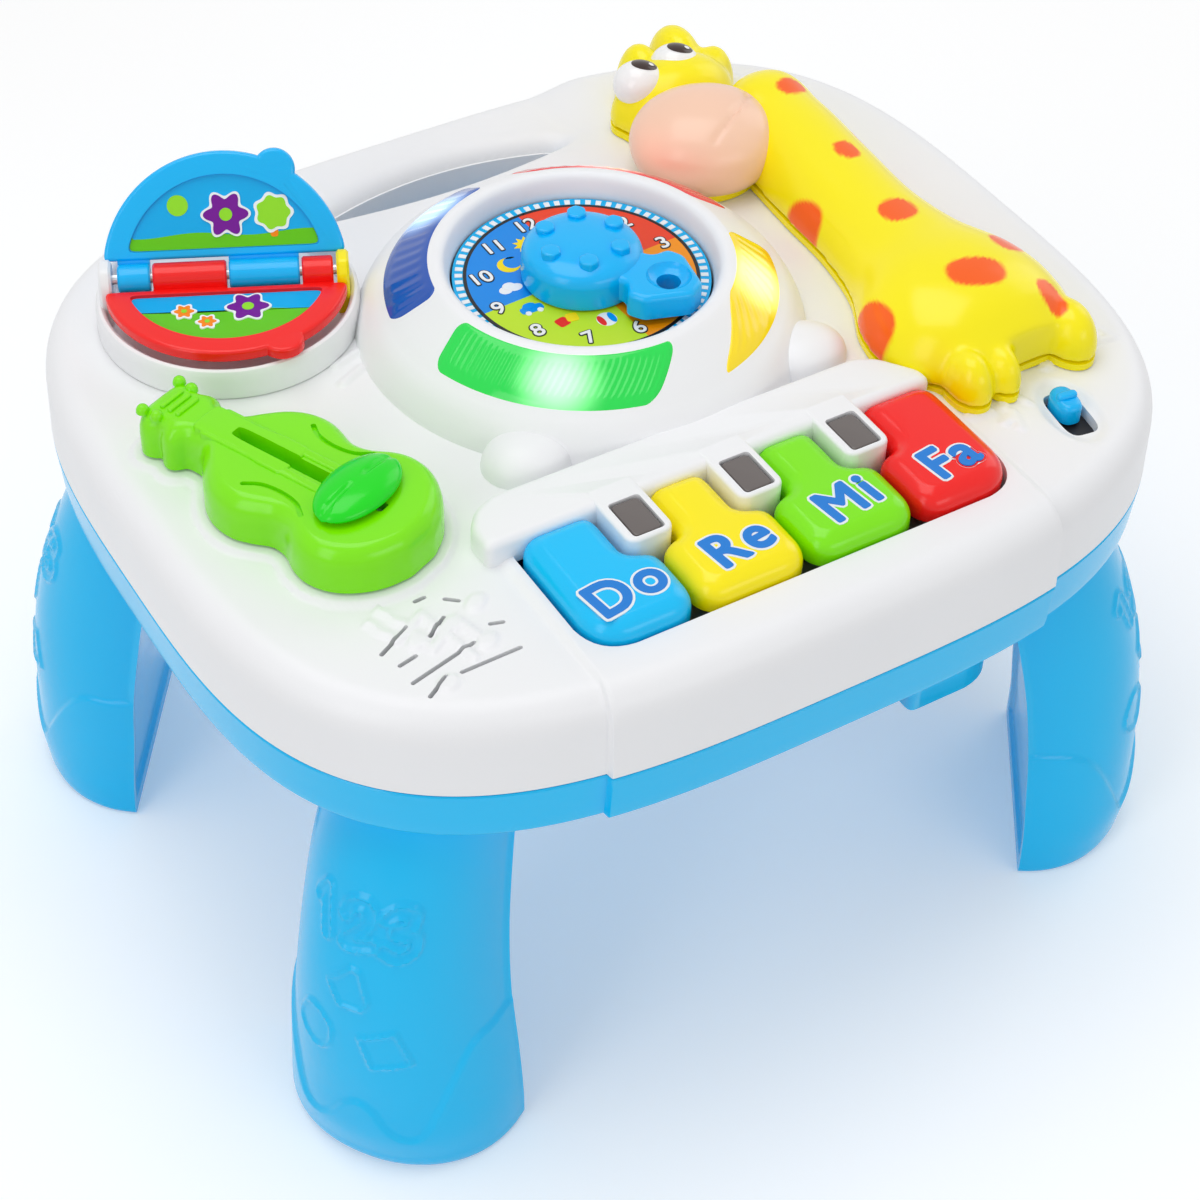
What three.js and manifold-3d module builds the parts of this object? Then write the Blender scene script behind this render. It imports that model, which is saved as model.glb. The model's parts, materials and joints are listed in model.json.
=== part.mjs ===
// Musical activity table for a baby, in millimetres, +Z up, front towards -Y.
// A white top on a blue base, four plug-in legs, and toys with moving parts on the top.

import * as THREE from 'three';
import { mergeVertices } from 'three/addons/utils/BufferGeometryUtils.js';
import Module from 'manifold-3d';

const wasm = await Module();
wasm.setup();

// Driving dimensions of the case
const HALF_WIDTH = 150;            // half of the table's width at the seam
const HALF_DEPTH = 129.3;          // half of its depth at the seam
const OUTLINE_POWER = 3.3;         // squareness of the rounded outline
const OUTLINE_POINTS = 56;
const SKIRT_BOTTOM = 130;          // underside of the blue skirt above the floor
const SEAM = 147;                  // joint between blue base and white top
const TOP = 174;                   // playing surface
const EDGE_ROUND = 8;              // rounding of the top's edge
const SIDE_DRAFT = 1;              // draft of the white side
const SKIRT_DRAFT = 1.2;
const WALL = 2.5;                  // moulded wall of case and toys
const FIT = 0.3;                   // gap between pieces that touch
const RUN = 0.5;                   // gap between pieces that move past each other
const OVERRUN = 1;                 // how far a cutting body passes its wall

// Piano block: stands proud of the case at the front
const PIANO_HALF = 72;
const PIANO_PROUD = 2.2;
const PIANO_RISE = 1.2;
const PIANO_BACK = 58;             // distance of its back edge in front of the centre
const LEDGE_TOP = 181.8;
const LEDGE_EDGE = 1.8;
const LEDGE = [                    // outline of the raised ledge behind the keys
  [-75, -68], [67.2, -68], [67.2, -63.5], [60, -53.5], [54, -50], [-64, -50], [-71, -53], [-75, -59],
];

// Handle: a lens-shaped hole in front of the back edge
const HANDLE_HALF = 42;
const HANDLE_NEAR = 87;
const HANDLE_FAR = 106;
const HANDLE_END = 95;
const HANDLE_END_ROUND = 3;

// Legs: D-shaped columns, given for a front corner with both signs taken as positive
const LEG_LEVELS = [               // height, x and y of the front wall's end, of the side wall's end, bulge
  [0, 91.6, 117.8, 133, 57.6, 32.5], [3, 91.7, 117.7, 132.8, 57.8, 34.6], [8, 91.7, 117.5, 132.5, 58, 35.8],
  [15, 91.8, 117, 131.8, 58.4, 37.2], [30, 91.9, 114.9, 130.2, 58.1, 38.2], [50, 92.1, 111.5, 128.4, 57.8, 38.4],
  [75, 90.3, 106.9, 124.4, 56.6, 38.2], [100, 86.1, 101.6, 119.8, 54.8, 35.9],
  [SKIRT_BOTTOM - FIT, 79.3, 94.5, 112.6, 53.8, 31],
];
const LEG_POWER = 2.14;
const LEG_BACK_SHIFT = [10.8, -11.6];   // the back pair stands further out and nearer the middle
const LEG_ARC_POINTS = 15;
const LEG_WALL = 2.6;
const LEG_SOLE = 8;
const LEG_PEG = 12;                // depth of the base's peg inside the leg

// Clock
const CLOCK_Y = 10.4;
const CLOCK_SEGMENTS = 40;
const CLOCK_BASE = 66;             // outer radius on the playing surface
const CLOCK_CREST = 42;            // radius of the rim's crest
const CLOCK_CREST_Z = 197;
const LENS_IN = 43.7;
const LENS_OUT = 56.5;
const DIAL_RADIUS = 37.4;
const DIAL_TOP = 190.5;
const DIAL_THICK = 1.3;
const CLOCK_FLOOR = 2.5;
const CLOCK_WALL = 2.4;
const CLOCK_FOOT_RADIUS = 13;
const CLOCK_FOOT_RISE = 9;
const CLOCK_ROOM = 60;
const CLOCK_FEET = [[-45, -47], [47, -46]];   // places of the two feet from the clock's centre
const CLOCK_SPIGOT = 52;
const SPIGOT_WALL = 2;
const SPIGOT_DEPTH = 5;
const LENS_BOSS = 2.2;
const LIGHT_RADIUS = 2.5;
const LIGHT_HEIGHT = 6.2;
const BOARD_THICK = 1.6;

// Clock knob
const KNOB_RADIUS = 17.6;
const KNOB_TOP = 203.8;
const KNOB_SHOULDER = 198.6;
const KNOB_ROUND = 4.2;
const KNOB_ARM_TOP = 200;
const KNOB_REACH = 37;
const KNOB_BARB = 22.5;
const KNOB_BARB_HALF = 12;
const KNOB_NECK_HALF = 7;
const KNOB_TURN = -59;             // where the arm points at rest, in degrees
const KNOB_HOLE = 3.5;
const KNOB_HOLE_AT = 27;
const KNOB_SHAFT = 4.2;
const KNOB_SHAFT_END = 186;
const KNOB_BORE = 7;
const KNOB_STUDS = 6;
const KNOB_STUD = 2.7;
const KNOB_STUD_RING = 11.5;
const KNOB_STUD_TURN = 7;
const KNOB_STUD_RISE = 0.9;

// Guitar, along its own axis from head to tail
const GUITAR_HEAD = [-125.3, 20];
const GUITAR_TURN = -66;
const GUITAR_BASE = TOP + 1.5;
const GUITAR_TOP = 190;
const GUITAR_NECK_TOP = 192;
const GUITAR_EDGE = 2.4;
const GUITAR_LEDGE = 1.8;
const SLOT_START = 25;
const SLOT_END = 76;
const SLOT_WIDTH = 4.4;
const SLIDER_AT = 67;
const SLIDER_LONG = 15;
const SLIDER_WIDE = 9;
const SLIDER_RISE = 6;
const SLIDER_TRAVEL = 35;
const SLIDER_STEM = 3.4;
const SLIDER_STEM_LONG = 9;
const SLIDER_PLAY = 1;
const SLIDER_CLIP = 2;
const CARRIAGE_HALF = 6.5;
const CARRIAGE_THICK = 3.2;

// Flip book
const BOOK_CENTRE = [-88.2, 61.9];
const BOOK_AXIS_Z = 189;
const BOOK_TURN = -24.8;
const PAGE_RADIUS = 35;
const BOOK_LENGTH = PAGE_RADIUS * 2 - 8;
const KNUCKLE = 4.15;
const KNUCKLE_SHARES = [0.16, 0.35, 0.335, 0.155];
const PAGE_THICK = 4;
const PAGE_START = 4.9;
const PAGE_OPEN = 60;              // how far the blue page is raised from lying back
const PAGE_TAB = 6;
const PAGE_TAB_TURN = 62;
const PAGE_PANEL = 27;
const PAGE_PANEL_DEPTH = 1;
const TRAY_RADIUS = PAGE_RADIUS + 3;
const TRAY_WALL = 4;
const TRAY_FLOOR = 1.6;
const POST_THICK = 3.6;
const POST_HALF = 5.4;
const POST_STEM = 3.2;
const AXLE_RADIUS = 1.5;

// Keys
const KEY_PITCH = 35;
const KEY_COUNT = 4;
const KEY_LEFT_END = 66.9;         // outer sides of the first and the last key
const KEY_RIGHT_END = 67.9;
const KEY_OUTER_CORNER = 11;
const KEY_FRONT = 111;
const KEY_STEP = 87;
const KEY_BACK = 67;
const KEY_TOP = 181;
const KEY_UNDER = 171.5;
const KEY_GAP = 0.9;
const KEY_CORNER = 7.5;
const KEY_EDGE = 3.4;
const KEY_NOTCH = 8;               // width taken from a key's side behind its step
const KEY_PIVOT_Y = 59;
const KEY_PIVOT_Z = 167.8;
const KEY_LUG = 3;
const KEY_ARM_HALF = 6.5;
const KEY_CLEAR = 1;
const KEY_PLUNGER = 3;
const KEY_PLUNGER_Y = 98;
const KEY_PRESS = 2.6;
const WINDOW_BLOCK_TOP = 182;
const WINDOW_HALF = 4.7;
const WINDOW_FRONT = 84;
const WINDOW_BACK = 70;
const PIVOT_ROD = 1.5;

// Giraffe handset
const GIRAFFE_BASE = TOP + FIT;
const GIRAFFE_SPINE = [            // y, centre x, half width, height
  [66, 97, 15, 20], [48, 96.5, 17, 21], [20, 95, 17.8, 20], [-6, 94, 18.2, 19.5], [-24, 93.8, 22, 20.5],
  [-40, 93.5, 29.5, 22.5], [-54, 93.5, 31, 22], [-66, 94.5, 27, 18.5],
];
const GIRAFFE_END = 8;
const GIRAFFE_FEET = [[77, -74, 6.5, 9.5, 13], [87.5, -75, 5.2, 8, 12], [115, -70, 8, 12, 14]];
const MUZZLE = [71, 54, 23.5, 19.5, 28];     // x, y, half length, half width, height
const MUZZLE_TURN = -18;
const HEAD = [79, 82, 22, 17, 21];
const HORNS = [[71, 95, 7.5, 10, 17], [89.5, 102, 8.5, 13.5, 18], [96.5, 92, 7, 8.5, 15]];
const EYES = [[66, 82, 8.5, 23.5], [80.5, 87, 8.5, 24.5]];
const HORN_LOW = 0.3;               // share of a horn's height below its widest level
const HANDSET_COVER = 2.2;

// Power switch
const SWITCH_AT = [100, -93];
const SWITCH_TURN = -8;
const SWITCH_SLOT = 18;
const SWITCH_WIDE = 9.5;
const SWITCH_KNOB = 10;
const SWITCH_TRAVEL = 6.5;
const SWITCH_RISE = 4;

// Speaker, boards and battery bay
const SPEAKER_AT = [-97, -80];
const SPEAKER_RADIUS = 19;
const SPEAKER_DEPTH = 11;
const GRILLE_SLOT = 2.2;
const GRILLE = [                   // slot places from the speaker's centre: x, y, length, turn
  [-11, -6, 13, 30], [-7.5, -1.5, 13, 30], [-4, 3, 13, 30], [-1, 7.5, 13, 30], [8, -10, 14, 22],
  [12.5, -5, 14, 22], [10, 2, 6, 110], [3, 12.5, 5, 100], [-3, -12, 6, 100],
];
const BOARD = [-58, 36, -38, 62];
const BOARD_Z = 150;
const BOSS = 4.2;
const SCREW = 1.2;
const SCREW_HEAD = 2.9;
const SCREW_PILOT = 1.55;
const SCREW_AT = [[122, 28], [-122, 28], [122, -38], [-122, -38]];
const BAY = [43.5, 77.5, -108, -39.5];   // outline of the battery housing under the base
const BAY_BOTTOM = 92;
const BAY_CORNER = 14;
const BAY_WALL = 2.2;
const CELL_RADIUS = 7.1;
const CELL_LENGTH = 50;
const CELL_COUNT = 2;
const CELL_PITCH = 14.6;
const CELL_MIDDLE_Y = -67.8;
const CELL_NUB = 2.6;
const CONTACT_THICK = 0.6;
const DOOR_THICK = 2;
const DOOR_SCREW = [50.5, -100.8];
const DOOR_SCREW_END = 104;

const root = new THREE.Group();
const table = new THREE.Group();
table.position.y = PIANO_PROUD / 2;   // the origin is below the middle of the whole outline
root.add(table);

// Colours as MeshStandardMaterial settings
const finishes = {
  white: { color: 0xf4f4f7, roughness: 0.3 },
  blue: { color: 0x12b4f5, roughness: 0.25 },
  page: { color: 0x0a9cf0, roughness: 0.25 },
  red: { color: 0xe8150c, roughness: 0.25 },
  yellow: { color: 0xffd800, roughness: 0.25 },
  lime: { color: 0x6fd60a, roughness: 0.25 },
  green: { color: 0x12b53a, roughness: 0.2 },
  navy: { color: 0x0f4f9f, roughness: 0.15 },
  peach: { color: 0xf2b08c, roughness: 0.15 },
  smoke: { color: 0x5a5450, roughness: 0.1 },
  board: { color: 0x2c6b3a, roughness: 0.6 },
  steel: { color: 0xb8bcc2, roughness: 0.3, metalness: 1 },
  black: { color: 0x202022, roughness: 0.6 },
  grey: { color: 0xb9bec6, roughness: 0.7 },
};

// Solids

const radians = (degrees) => THREE.MathUtils.degToRad(degrees);

function toSolid(geometry) {
  const bare = geometry.index ? geometry.toNonIndexed() : geometry;
  bare.deleteAttribute('normal');
  bare.deleteAttribute('uv');
  const merged = mergeVertices(bare, 1e-5);
  return new wasm.Manifold(new wasm.Mesh({
    numProp: 3,
    vertProperties: new Float32Array(merged.attributes.position.array),
    triVerts: new Uint32Array(merged.index.array),
  }));
}

function addPiece(name, solid, finish) {
  const data = solid.getMesh();
  const geometry = new THREE.BufferGeometry();
  geometry.setAttribute('position', new THREE.BufferAttribute(data.vertProperties, 3));
  geometry.setIndex(new THREE.BufferAttribute(data.triVerts, 1));
  geometry.computeVertexNormals();
  const mesh = new THREE.Mesh(geometry, new THREE.MeshStandardMaterial(finishes[finish]));
  mesh.name = name;
  table.add(mesh);
}

function box(x0, x1, y0, y1, z0, z1) {
  const geometry = new THREE.BoxGeometry(x1 - x0, y1 - y0, z1 - z0);
  geometry.translate((x0 + x1) / 2, (y0 + y1) / 2, (z0 + z1) / 2);
  return toSolid(geometry);
}

function post(x, y, radius, z0, z1, sides = 14) {
  const geometry = new THREE.CylinderGeometry(radius, radius, z1 - z0, sides);
  geometry.rotateX(Math.PI / 2);
  geometry.translate(x, y, (z0 + z1) / 2);
  return toSolid(geometry);
}

function ball(x, y, z, rx, ry, rz, around = 20, down = 12) {
  const geometry = new THREE.SphereGeometry(1, around, down);
  geometry.rotateX(Math.PI / 2);
  geometry.scale(rx, ry, rz);
  geometry.translate(x, y, z);
  return toSolid(geometry);
}

function turned(profile, x = 0, y = 0, sides = 32) {
  const points = profile.map(([r, z]) => new THREE.Vector2(r, z));
  const geometry = new THREE.LatheGeometry(points, sides);
  geometry.rotateX(Math.PI / 2);
  geometry.translate(x, y, 0);
  const solid = toSolid(geometry);
  return solid;
}

// A turned body given by a closed profile that keeps off the axis
function ringBody(profile, x, y, sides) {
  return turned([...profile, profile[0]], x, y, sides);
}

function plate(points, z0, z1) {
  const shape = new THREE.Shape(points.map(([x, y]) => new THREE.Vector2(x, y)));
  const geometry = new THREE.ExtrudeGeometry(shape, { depth: z1 - z0, bevelEnabled: false });
  geometry.translate(0, 0, z0);
  return toSolid(geometry);
}

// A plate whose upper edge is rounded off in two chamfers
function roundedPlate(shape, z0, z1, edge, curveSegments = 6) {
  const options = {
    depth: z1 - z0 - edge,
    bevelEnabled: true,
    bevelThickness: edge,
    bevelSize: edge,
    bevelOffset: -edge,
    bevelSegments: 2,
    curveSegments,
  };
  const geometry = new THREE.ExtrudeGeometry(shape, options);
  geometry.translate(0, 0, z0);
  const whole = toSolid(geometry);
  const cut = whole.boundingBox();
  return whole.subtract(box(cut.min[0] - OVERRUN, cut.max[0] + OVERRUN, cut.min[1] - OVERRUN,
    cut.max[1] + OVERRUN, cut.min[2] - OVERRUN, z0));
}

// A closed body through rings of equal point count, from the lowest to the highest
function loft(rings) {
  const count = rings[0].length;
  const positions = [];
  const index = [];
  rings.forEach((ring) => ring.forEach((p) => positions.push(...p)));
  for (let level = 0; level + 1 < rings.length; level += 1) {
    for (let i = 0; i < count; i += 1) {
      const j = (i + 1) % count;
      const a = level * count + i;
      const b = level * count + j;
      index.push(a, b, b + count, a, b + count, a + count);
    }
  }
  const last = (rings.length - 1) * count;
  const flat = (ring) => ring.map((p) => new THREE.Vector2(p[0], p[1]));
  THREE.ShapeUtils.triangulateShape(flat(rings[0]), []).forEach(([a, b, c]) => index.push(a, c, b));
  THREE.ShapeUtils.triangulateShape(flat(rings[rings.length - 1]), [])
    .forEach(([a, b, c]) => index.push(last + a, last + b, last + c));
  const geometry = new THREE.BufferGeometry();
  geometry.setAttribute('position', new THREE.Float32BufferAttribute(positions, 3));
  geometry.setIndex(index);
  return toSolid(geometry);
}

function outlineRing(inset, z) {
  const ring = [];
  for (let i = 0; i < OUTLINE_POINTS; i += 1) {
    const angle = (2 * Math.PI * i) / OUTLINE_POINTS;
    const c = Math.cos(angle);
    const s = Math.sin(angle);
    const x = (HALF_WIDTH - inset) * Math.sign(c) * Math.abs(c) ** (2 / OUTLINE_POWER);
    const y = (HALF_DEPTH - inset) * Math.sign(s) * Math.abs(s) ** (2 / OUTLINE_POWER);
    ring.push([x, y, z]);
  }
  return ring;
}

// Rings for a side that is rounded into a flat top
function roundedSide(inset, bottom, top, draft, round) {
  const rings = [outlineRing(inset, bottom)];
  [0, 30, 60, 90].forEach((degrees) => {
    const angle = radians(degrees);
    const away = inset + draft + round * (1 - Math.cos(angle));
    rings.push(outlineRing(away, top - round + round * Math.sin(angle)));
  });
  return loft(rings);
}

function union(solids) {
  return solids.reduce((sum, solid) => sum.add(solid));
}

function cutAll(solid, cutters) {
  return cutters.reduce((rest, cutter) => rest.subtract(cutter), solid);
}

function turnAbout(solid, degrees, x, y) {
  return solid.rotate([0, 0, degrees]).translate([x, y, 0]);
}

function roundSlot(length, width, z0, z1) {
  const radius = width / 2;
  const reach = length / 2 - radius;
  const middle = box(-reach, reach, -radius, radius, z0, z1);
  return union([middle, post(-reach, 0, radius, z0, z1, 12), post(reach, 0, radius, z0, z1, 12)]);
}

// Handle hole: two arcs that meet in rounded tips
function handleOutline(grow) {
  const points = [];
  const steps = 10;
  const half = HANDLE_HALF + grow;
  for (let i = 0; i <= steps; i += 1) {
    const t = -1 + (2 * i) / steps;
    points.push([half * t, HANDLE_NEAR - grow + (HANDLE_END - HANDLE_END_ROUND - HANDLE_NEAR) * t * t]);
  }
  for (let i = 0; i <= steps; i += 1) {
    const t = 1 - (2 * i) / steps;
    points.push([half * t, HANDLE_FAR + grow - (HANDLE_FAR - HANDLE_END - HANDLE_END_ROUND) * t * t]);
  }
  return points;
}

// Guitar outline: half widths along the axis, head first
const GUITAR_HALF_WIDTHS = [
  [-4, 5.5], [-2.6, 8.6], [0.5, 10.4], [3.6, 9.6], [5, 8.4], [6.6, 10], [9.6, 11], [12.2, 9.4], [13.4, 7.4],
  [19.5, 8], [23, 12], [28, 17.2], [34, 20.6], [41, 21.6], [47, 20], [52, 17.9], [57, 18.6], [62, 21.6],
  [68, 23.2], [75, 22], [81, 18], [85.5, 12.2], [88.3, 5],
];
const GUITAR_MIDDLE = -1;

function guitarOutline(grow) {
  const left = GUITAR_HALF_WIDTHS.map(([s, w]) => [s, GUITAR_MIDDLE - w - grow]);
  const right = GUITAR_HALF_WIDTHS.map(([s, w]) => [s, GUITAR_MIDDLE + w + grow]).reverse();
  left[0][0] -= grow;
  right[right.length - 1][0] -= grow;
  left[left.length - 1][0] += grow;
  right[0][0] += grow;
  return [...left, ...right];
}

function onGuitar(solid) {
  return turnAbout(solid, GUITAR_TURN, GUITAR_HEAD[0], GUITAR_HEAD[1]);
}

// Keys

const keyLeft = (i) => (i === 0 ? -KEY_LEFT_END : (i - KEY_COUNT / 2) * KEY_PITCH);
const keyRight = (i) => (i === KEY_COUNT - 1 ? KEY_RIGHT_END : (i + 1 - KEY_COUNT / 2) * KEY_PITCH);
const keyCentre = (i) => (keyLeft(i) + keyRight(i)) / 2;
const isFirst = (i) => i === 0;
const isLast = (i) => i === KEY_COUNT - 1;

function keyShape(i, grow) {
  const x0 = keyLeft(i) + KEY_GAP / 2 - grow;
  const x1 = keyRight(i) - KEY_GAP / 2 + grow;
  const front = -KEY_FRONT - grow;
  const step = -KEY_STEP + grow;
  const back = -KEY_BACK + grow;
  const lead = KEY_NOTCH / 2;
  const leftCorner = isFirst(i) ? KEY_OUTER_CORNER : KEY_CORNER;
  const rightCorner = isLast(i) ? KEY_OUTER_CORNER : KEY_CORNER;
  const shape = new THREE.Shape();
  if (isFirst(i)) {
    shape.moveTo(x0 + KEY_CORNER, back);
    shape.absarc(x0 + KEY_CORNER, back - KEY_CORNER, KEY_CORNER, Math.PI / 2, Math.PI, false);
  } else {
    shape.moveTo(x0 + KEY_NOTCH, back);
    shape.lineTo(x0 + KEY_NOTCH, step + lead);
    shape.quadraticCurveTo(x0 + KEY_NOTCH, step, x0 + lead, step - lead / 2);
    shape.quadraticCurveTo(x0, step - lead, x0, step - KEY_NOTCH);
  }
  shape.lineTo(x0, front + leftCorner);
  shape.absarc(x0 + leftCorner, front + leftCorner, leftCorner, Math.PI, Math.PI * 1.5, false);
  shape.lineTo(x1 - rightCorner, front);
  shape.absarc(x1 - rightCorner, front + rightCorner, rightCorner, Math.PI * 1.5, Math.PI * 2, false);
  if (isLast(i)) {
    shape.lineTo(x1, back - KEY_CORNER);
    shape.absarc(x1 - KEY_CORNER, back - KEY_CORNER, KEY_CORNER, 0, Math.PI / 2, false);
  } else {
    shape.lineTo(x1, step - KEY_NOTCH);
    shape.quadraticCurveTo(x1, step - lead, x1 - lead, step - lead / 2);
    shape.quadraticCurveTo(x1 - KEY_NOTCH, step, x1 - KEY_NOTCH, step + lead);
    shape.lineTo(x1 - KEY_NOTCH, back);
  }
  return shape;
}

// Middle of a key's narrow rear part
const keyRear = (i) => keyCentre(i) + (isFirst(i) ? -KEY_NOTCH / 2 : 0) + (isLast(i) ? KEY_NOTCH / 2 : 0);

function keySolid(i) {
  const c = keyCentre(i);
  const cap = roundedPlate(keyShape(i, 0), KEY_UNDER, KEY_TOP, KEY_EDGE, 4);
  const middle = keyRear(i);
  const armTop = TOP - WALL - RUN;
  const arm = box(middle - KEY_ARM_HALF, middle + KEY_ARM_HALF, -KEY_BACK - KEY_LUG, -KEY_PIVOT_Y,
    KEY_PIVOT_Z, armTop);
  const drop = box(middle - KEY_ARM_HALF, middle + KEY_ARM_HALF, -KEY_BACK - KEY_LUG, -KEY_BACK,
    KEY_PIVOT_Z, KEY_UNDER + OVERRUN);
  const lug = post(0, 0, KEY_LUG, -KEY_ARM_HALF, KEY_ARM_HALF, 16).rotate([0, 90, 0])
    .translate([middle, -KEY_PIVOT_Y, KEY_PIVOT_Z]);
  const bore = post(0, 0, PIVOT_ROD + FIT, -KEY_PITCH, KEY_PITCH, 12).rotate([0, 90, 0])
    .translate([middle, -KEY_PIVOT_Y, KEY_PIVOT_Z]);
  const plunger = post(c, -KEY_PLUNGER_Y, KEY_PLUNGER, KEY_UNDER - KEY_LUG, KEY_UNDER + OVERRUN, 12);
  return union([cap, arm, drop, lug, plunger]).subtract(bore);
}

const keyNames = ['blue', 'yellow', 'green', 'red'];
const keyFinishes = ['page', 'yellow', 'lime', 'red'];
keyNames.forEach((colour, i) => addPiece(`key_${colour}`, keySolid(i), keyFinishes[i]));

const rodHalf = (KEY_COUNT * KEY_PITCH) / 2 + KEY_LUG;
addPiece('key_pivot_rod', post(0, 0, PIVOT_ROD, -rodHalf, rodHalf, 12).rotate([0, 90, 0])
  .translate([0, -KEY_PIVOT_Y, KEY_PIVOT_Z]), 'steel');

// Window blocks between the narrow rear parts of the keys
function windowPlaces() {
  const places = [];
  for (let i = 0; i + 1 < KEY_COUNT; i += 1) places.push(keyRight(i));
  return places;
}

function windowPocket(x, grow, z0, z1) {
  return box(x - WINDOW_HALF - grow, x + WINDOW_HALF + grow, -WINDOW_FRONT - grow, -WINDOW_BACK + grow, z0, z1);
}

windowPlaces().forEach((x, i) => {
  addPiece(`key_window_${i + 1}`, windowPocket(x, -FIT, WINDOW_BLOCK_TOP - WALL - FIT, WINDOW_BLOCK_TOP - FIT), 'smoke');
});

function windowBlock(x) {
  const half = KEY_NOTCH - KEY_CLEAR + KEY_GAP / 2;
  const shape = new THREE.Shape();
  const front = -KEY_STEP + KEY_CLEAR;
  const back = -KEY_BACK;
  shape.moveTo(x - half, back);
  shape.lineTo(x - half, front + KEY_NOTCH / 2);
  shape.quadraticCurveTo(x - half, front, x - half / 2, front - OVERRUN);
  shape.lineTo(x + half / 2, front - OVERRUN);
  shape.quadraticCurveTo(x + half, front, x + half, front + KEY_NOTCH / 2);
  shape.lineTo(x + half, back);
  return roundedPlate(shape, TOP + PIANO_RISE - WALL, WINDOW_BLOCK_TOP, KEY_GAP, 3);
}

// Legs

function legLevel(z) {
  const last = LEG_LEVELS.length - 1;
  let i = 0;
  while (i < last - 1 && z > LEG_LEVELS[i + 1][0]) i += 1;
  const share = Math.min(1, (z - LEG_LEVELS[i][0]) / (LEG_LEVELS[i + 1][0] - LEG_LEVELS[i][0]));
  return LEG_LEVELS[i].map((value, k) => value + (LEG_LEVELS[i + 1][k] - value) * share);
}

// The D section at a height, drawn in by an inset, for a corner with positive x and y
function legSection(z, inset) {
  const [, frontX, frontY, sideX, sideY, bulge] = legLevel(z);
  const inner = new THREE.Vector2(frontX, frontY);
  const outer = new THREE.Vector2(sideX, sideY);
  const middle = inner.clone().add(outer).multiplyScalar(1 / 2);
  const along = outer.clone().sub(inner);
  const half = along.length() / 2 - inset;
  along.normalize();
  const out = new THREE.Vector2(-along.y, along.x);
  const depth = bulge - 2 * inset;
  const ring = [];
  for (let i = 0; i < LEG_ARC_POINTS; i += 1) {
    const angle = (Math.PI * i) / (LEG_ARC_POINTS - 1);
    const u = Math.sign(Math.cos(angle)) * Math.abs(Math.cos(angle)) ** (2 / LEG_POWER);
    const d = i === 0 || i === LEG_ARC_POINTS - 1 ? 0 : Math.sin(angle) ** (2 / LEG_POWER);
    const point = middle.clone().addScaledVector(along, u * half).addScaledVector(out, d * depth + inset);
    ring.push([point.x, point.y, z]);
  }
  return ring;
}

function legSolid() {
  const outer = loft(LEG_LEVELS.map(([z]) => legSection(z, 0)));
  const levels = [LEG_SOLE, ...LEG_LEVELS.map(([z]) => z).filter((z) => z > LEG_SOLE)];
  const rings = levels.map((z) => legSection(z, LEG_WALL));
  const lid = rings[rings.length - 1].map(([x, y, z]) => [x, y, z + OVERRUN]);
  return outer.subtract(loft([...rings, lid]));
}

function legPeg() {
  const low = SKIRT_BOTTOM - LEG_PEG;
  const prisms = [low, SKIRT_BOTTOM].map((level) => {
    const ring = legSection(level, LEG_WALL + FIT + 1);
    return loft([low, SKIRT_BOTTOM + OVERRUN].map((z) => ring.map(([x, y]) => [x, y, z])));
  });
  return prisms[0].intersect(prisms[1]);
}

const legCorners = { front_left: [-1, -1], front_right: [1, -1], back_left: [-1, 1], back_right: [1, 1] };

function toCorner(solid, [sx, sy]) {
  let turnedSolid = sy > 0 ? solid.translate([...LEG_BACK_SHIFT, 0]) : solid;
  if (sx < 0) turnedSolid = turnedSolid.mirror([1, 0, 0]);
  if (sy < 0) turnedSolid = turnedSolid.mirror([0, 1, 0]);
  return turnedSolid;
}

const oneLeg = legSolid();
Object.entries(legCorners).forEach(([corner, signs]) => {
  addPiece(`leg_${corner}`, toCorner(oneLeg, signs), 'blue');
});

// Base shell: skirt, floor, pegs for the legs, screw towers and the battery housing

function pianoRegion(inset, z0, z1) {
  const half = PIANO_HALF - inset;
  return box(-half, half, -HALF_DEPTH * 2, -PIANO_BACK - inset, z0, z1);
}

function bayShape(inset) {
  const [x0, x1, y0, y1] = BAY;
  const corner = BAY_CORNER - inset;
  const shape = new THREE.Shape();
  shape.moveTo(x0 + inset, y1 - inset);
  shape.lineTo(x0 + inset, y0 + inset);
  shape.lineTo(x1 - inset - corner, y0 + inset);
  shape.absarc(x1 - inset - corner, y0 + inset + corner, corner, Math.PI * 1.5, Math.PI * 2, false);
  shape.lineTo(x1 - inset, y1 - inset);
  return shape;
}

function prism(shape, z0, z1) {
  const geometry = new THREE.ExtrudeGeometry(shape, { depth: z1 - z0, bevelEnabled: false, curveSegments: 6 });
  geometry.translate(0, 0, z0);
  return toSolid(geometry);
}

const CELL_Z = BAY_BOTTOM + DOOR_THICK + FIT + CELL_RADIUS + 1;
const BAY_ROOF = CELL_Z + CELL_RADIUS + 1;
const cellMiddleX = (BAY[0] + BAY[1]) / 2;
const SCREW_SEAT = 141;
const TOWER_TOP = 150;

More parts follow.
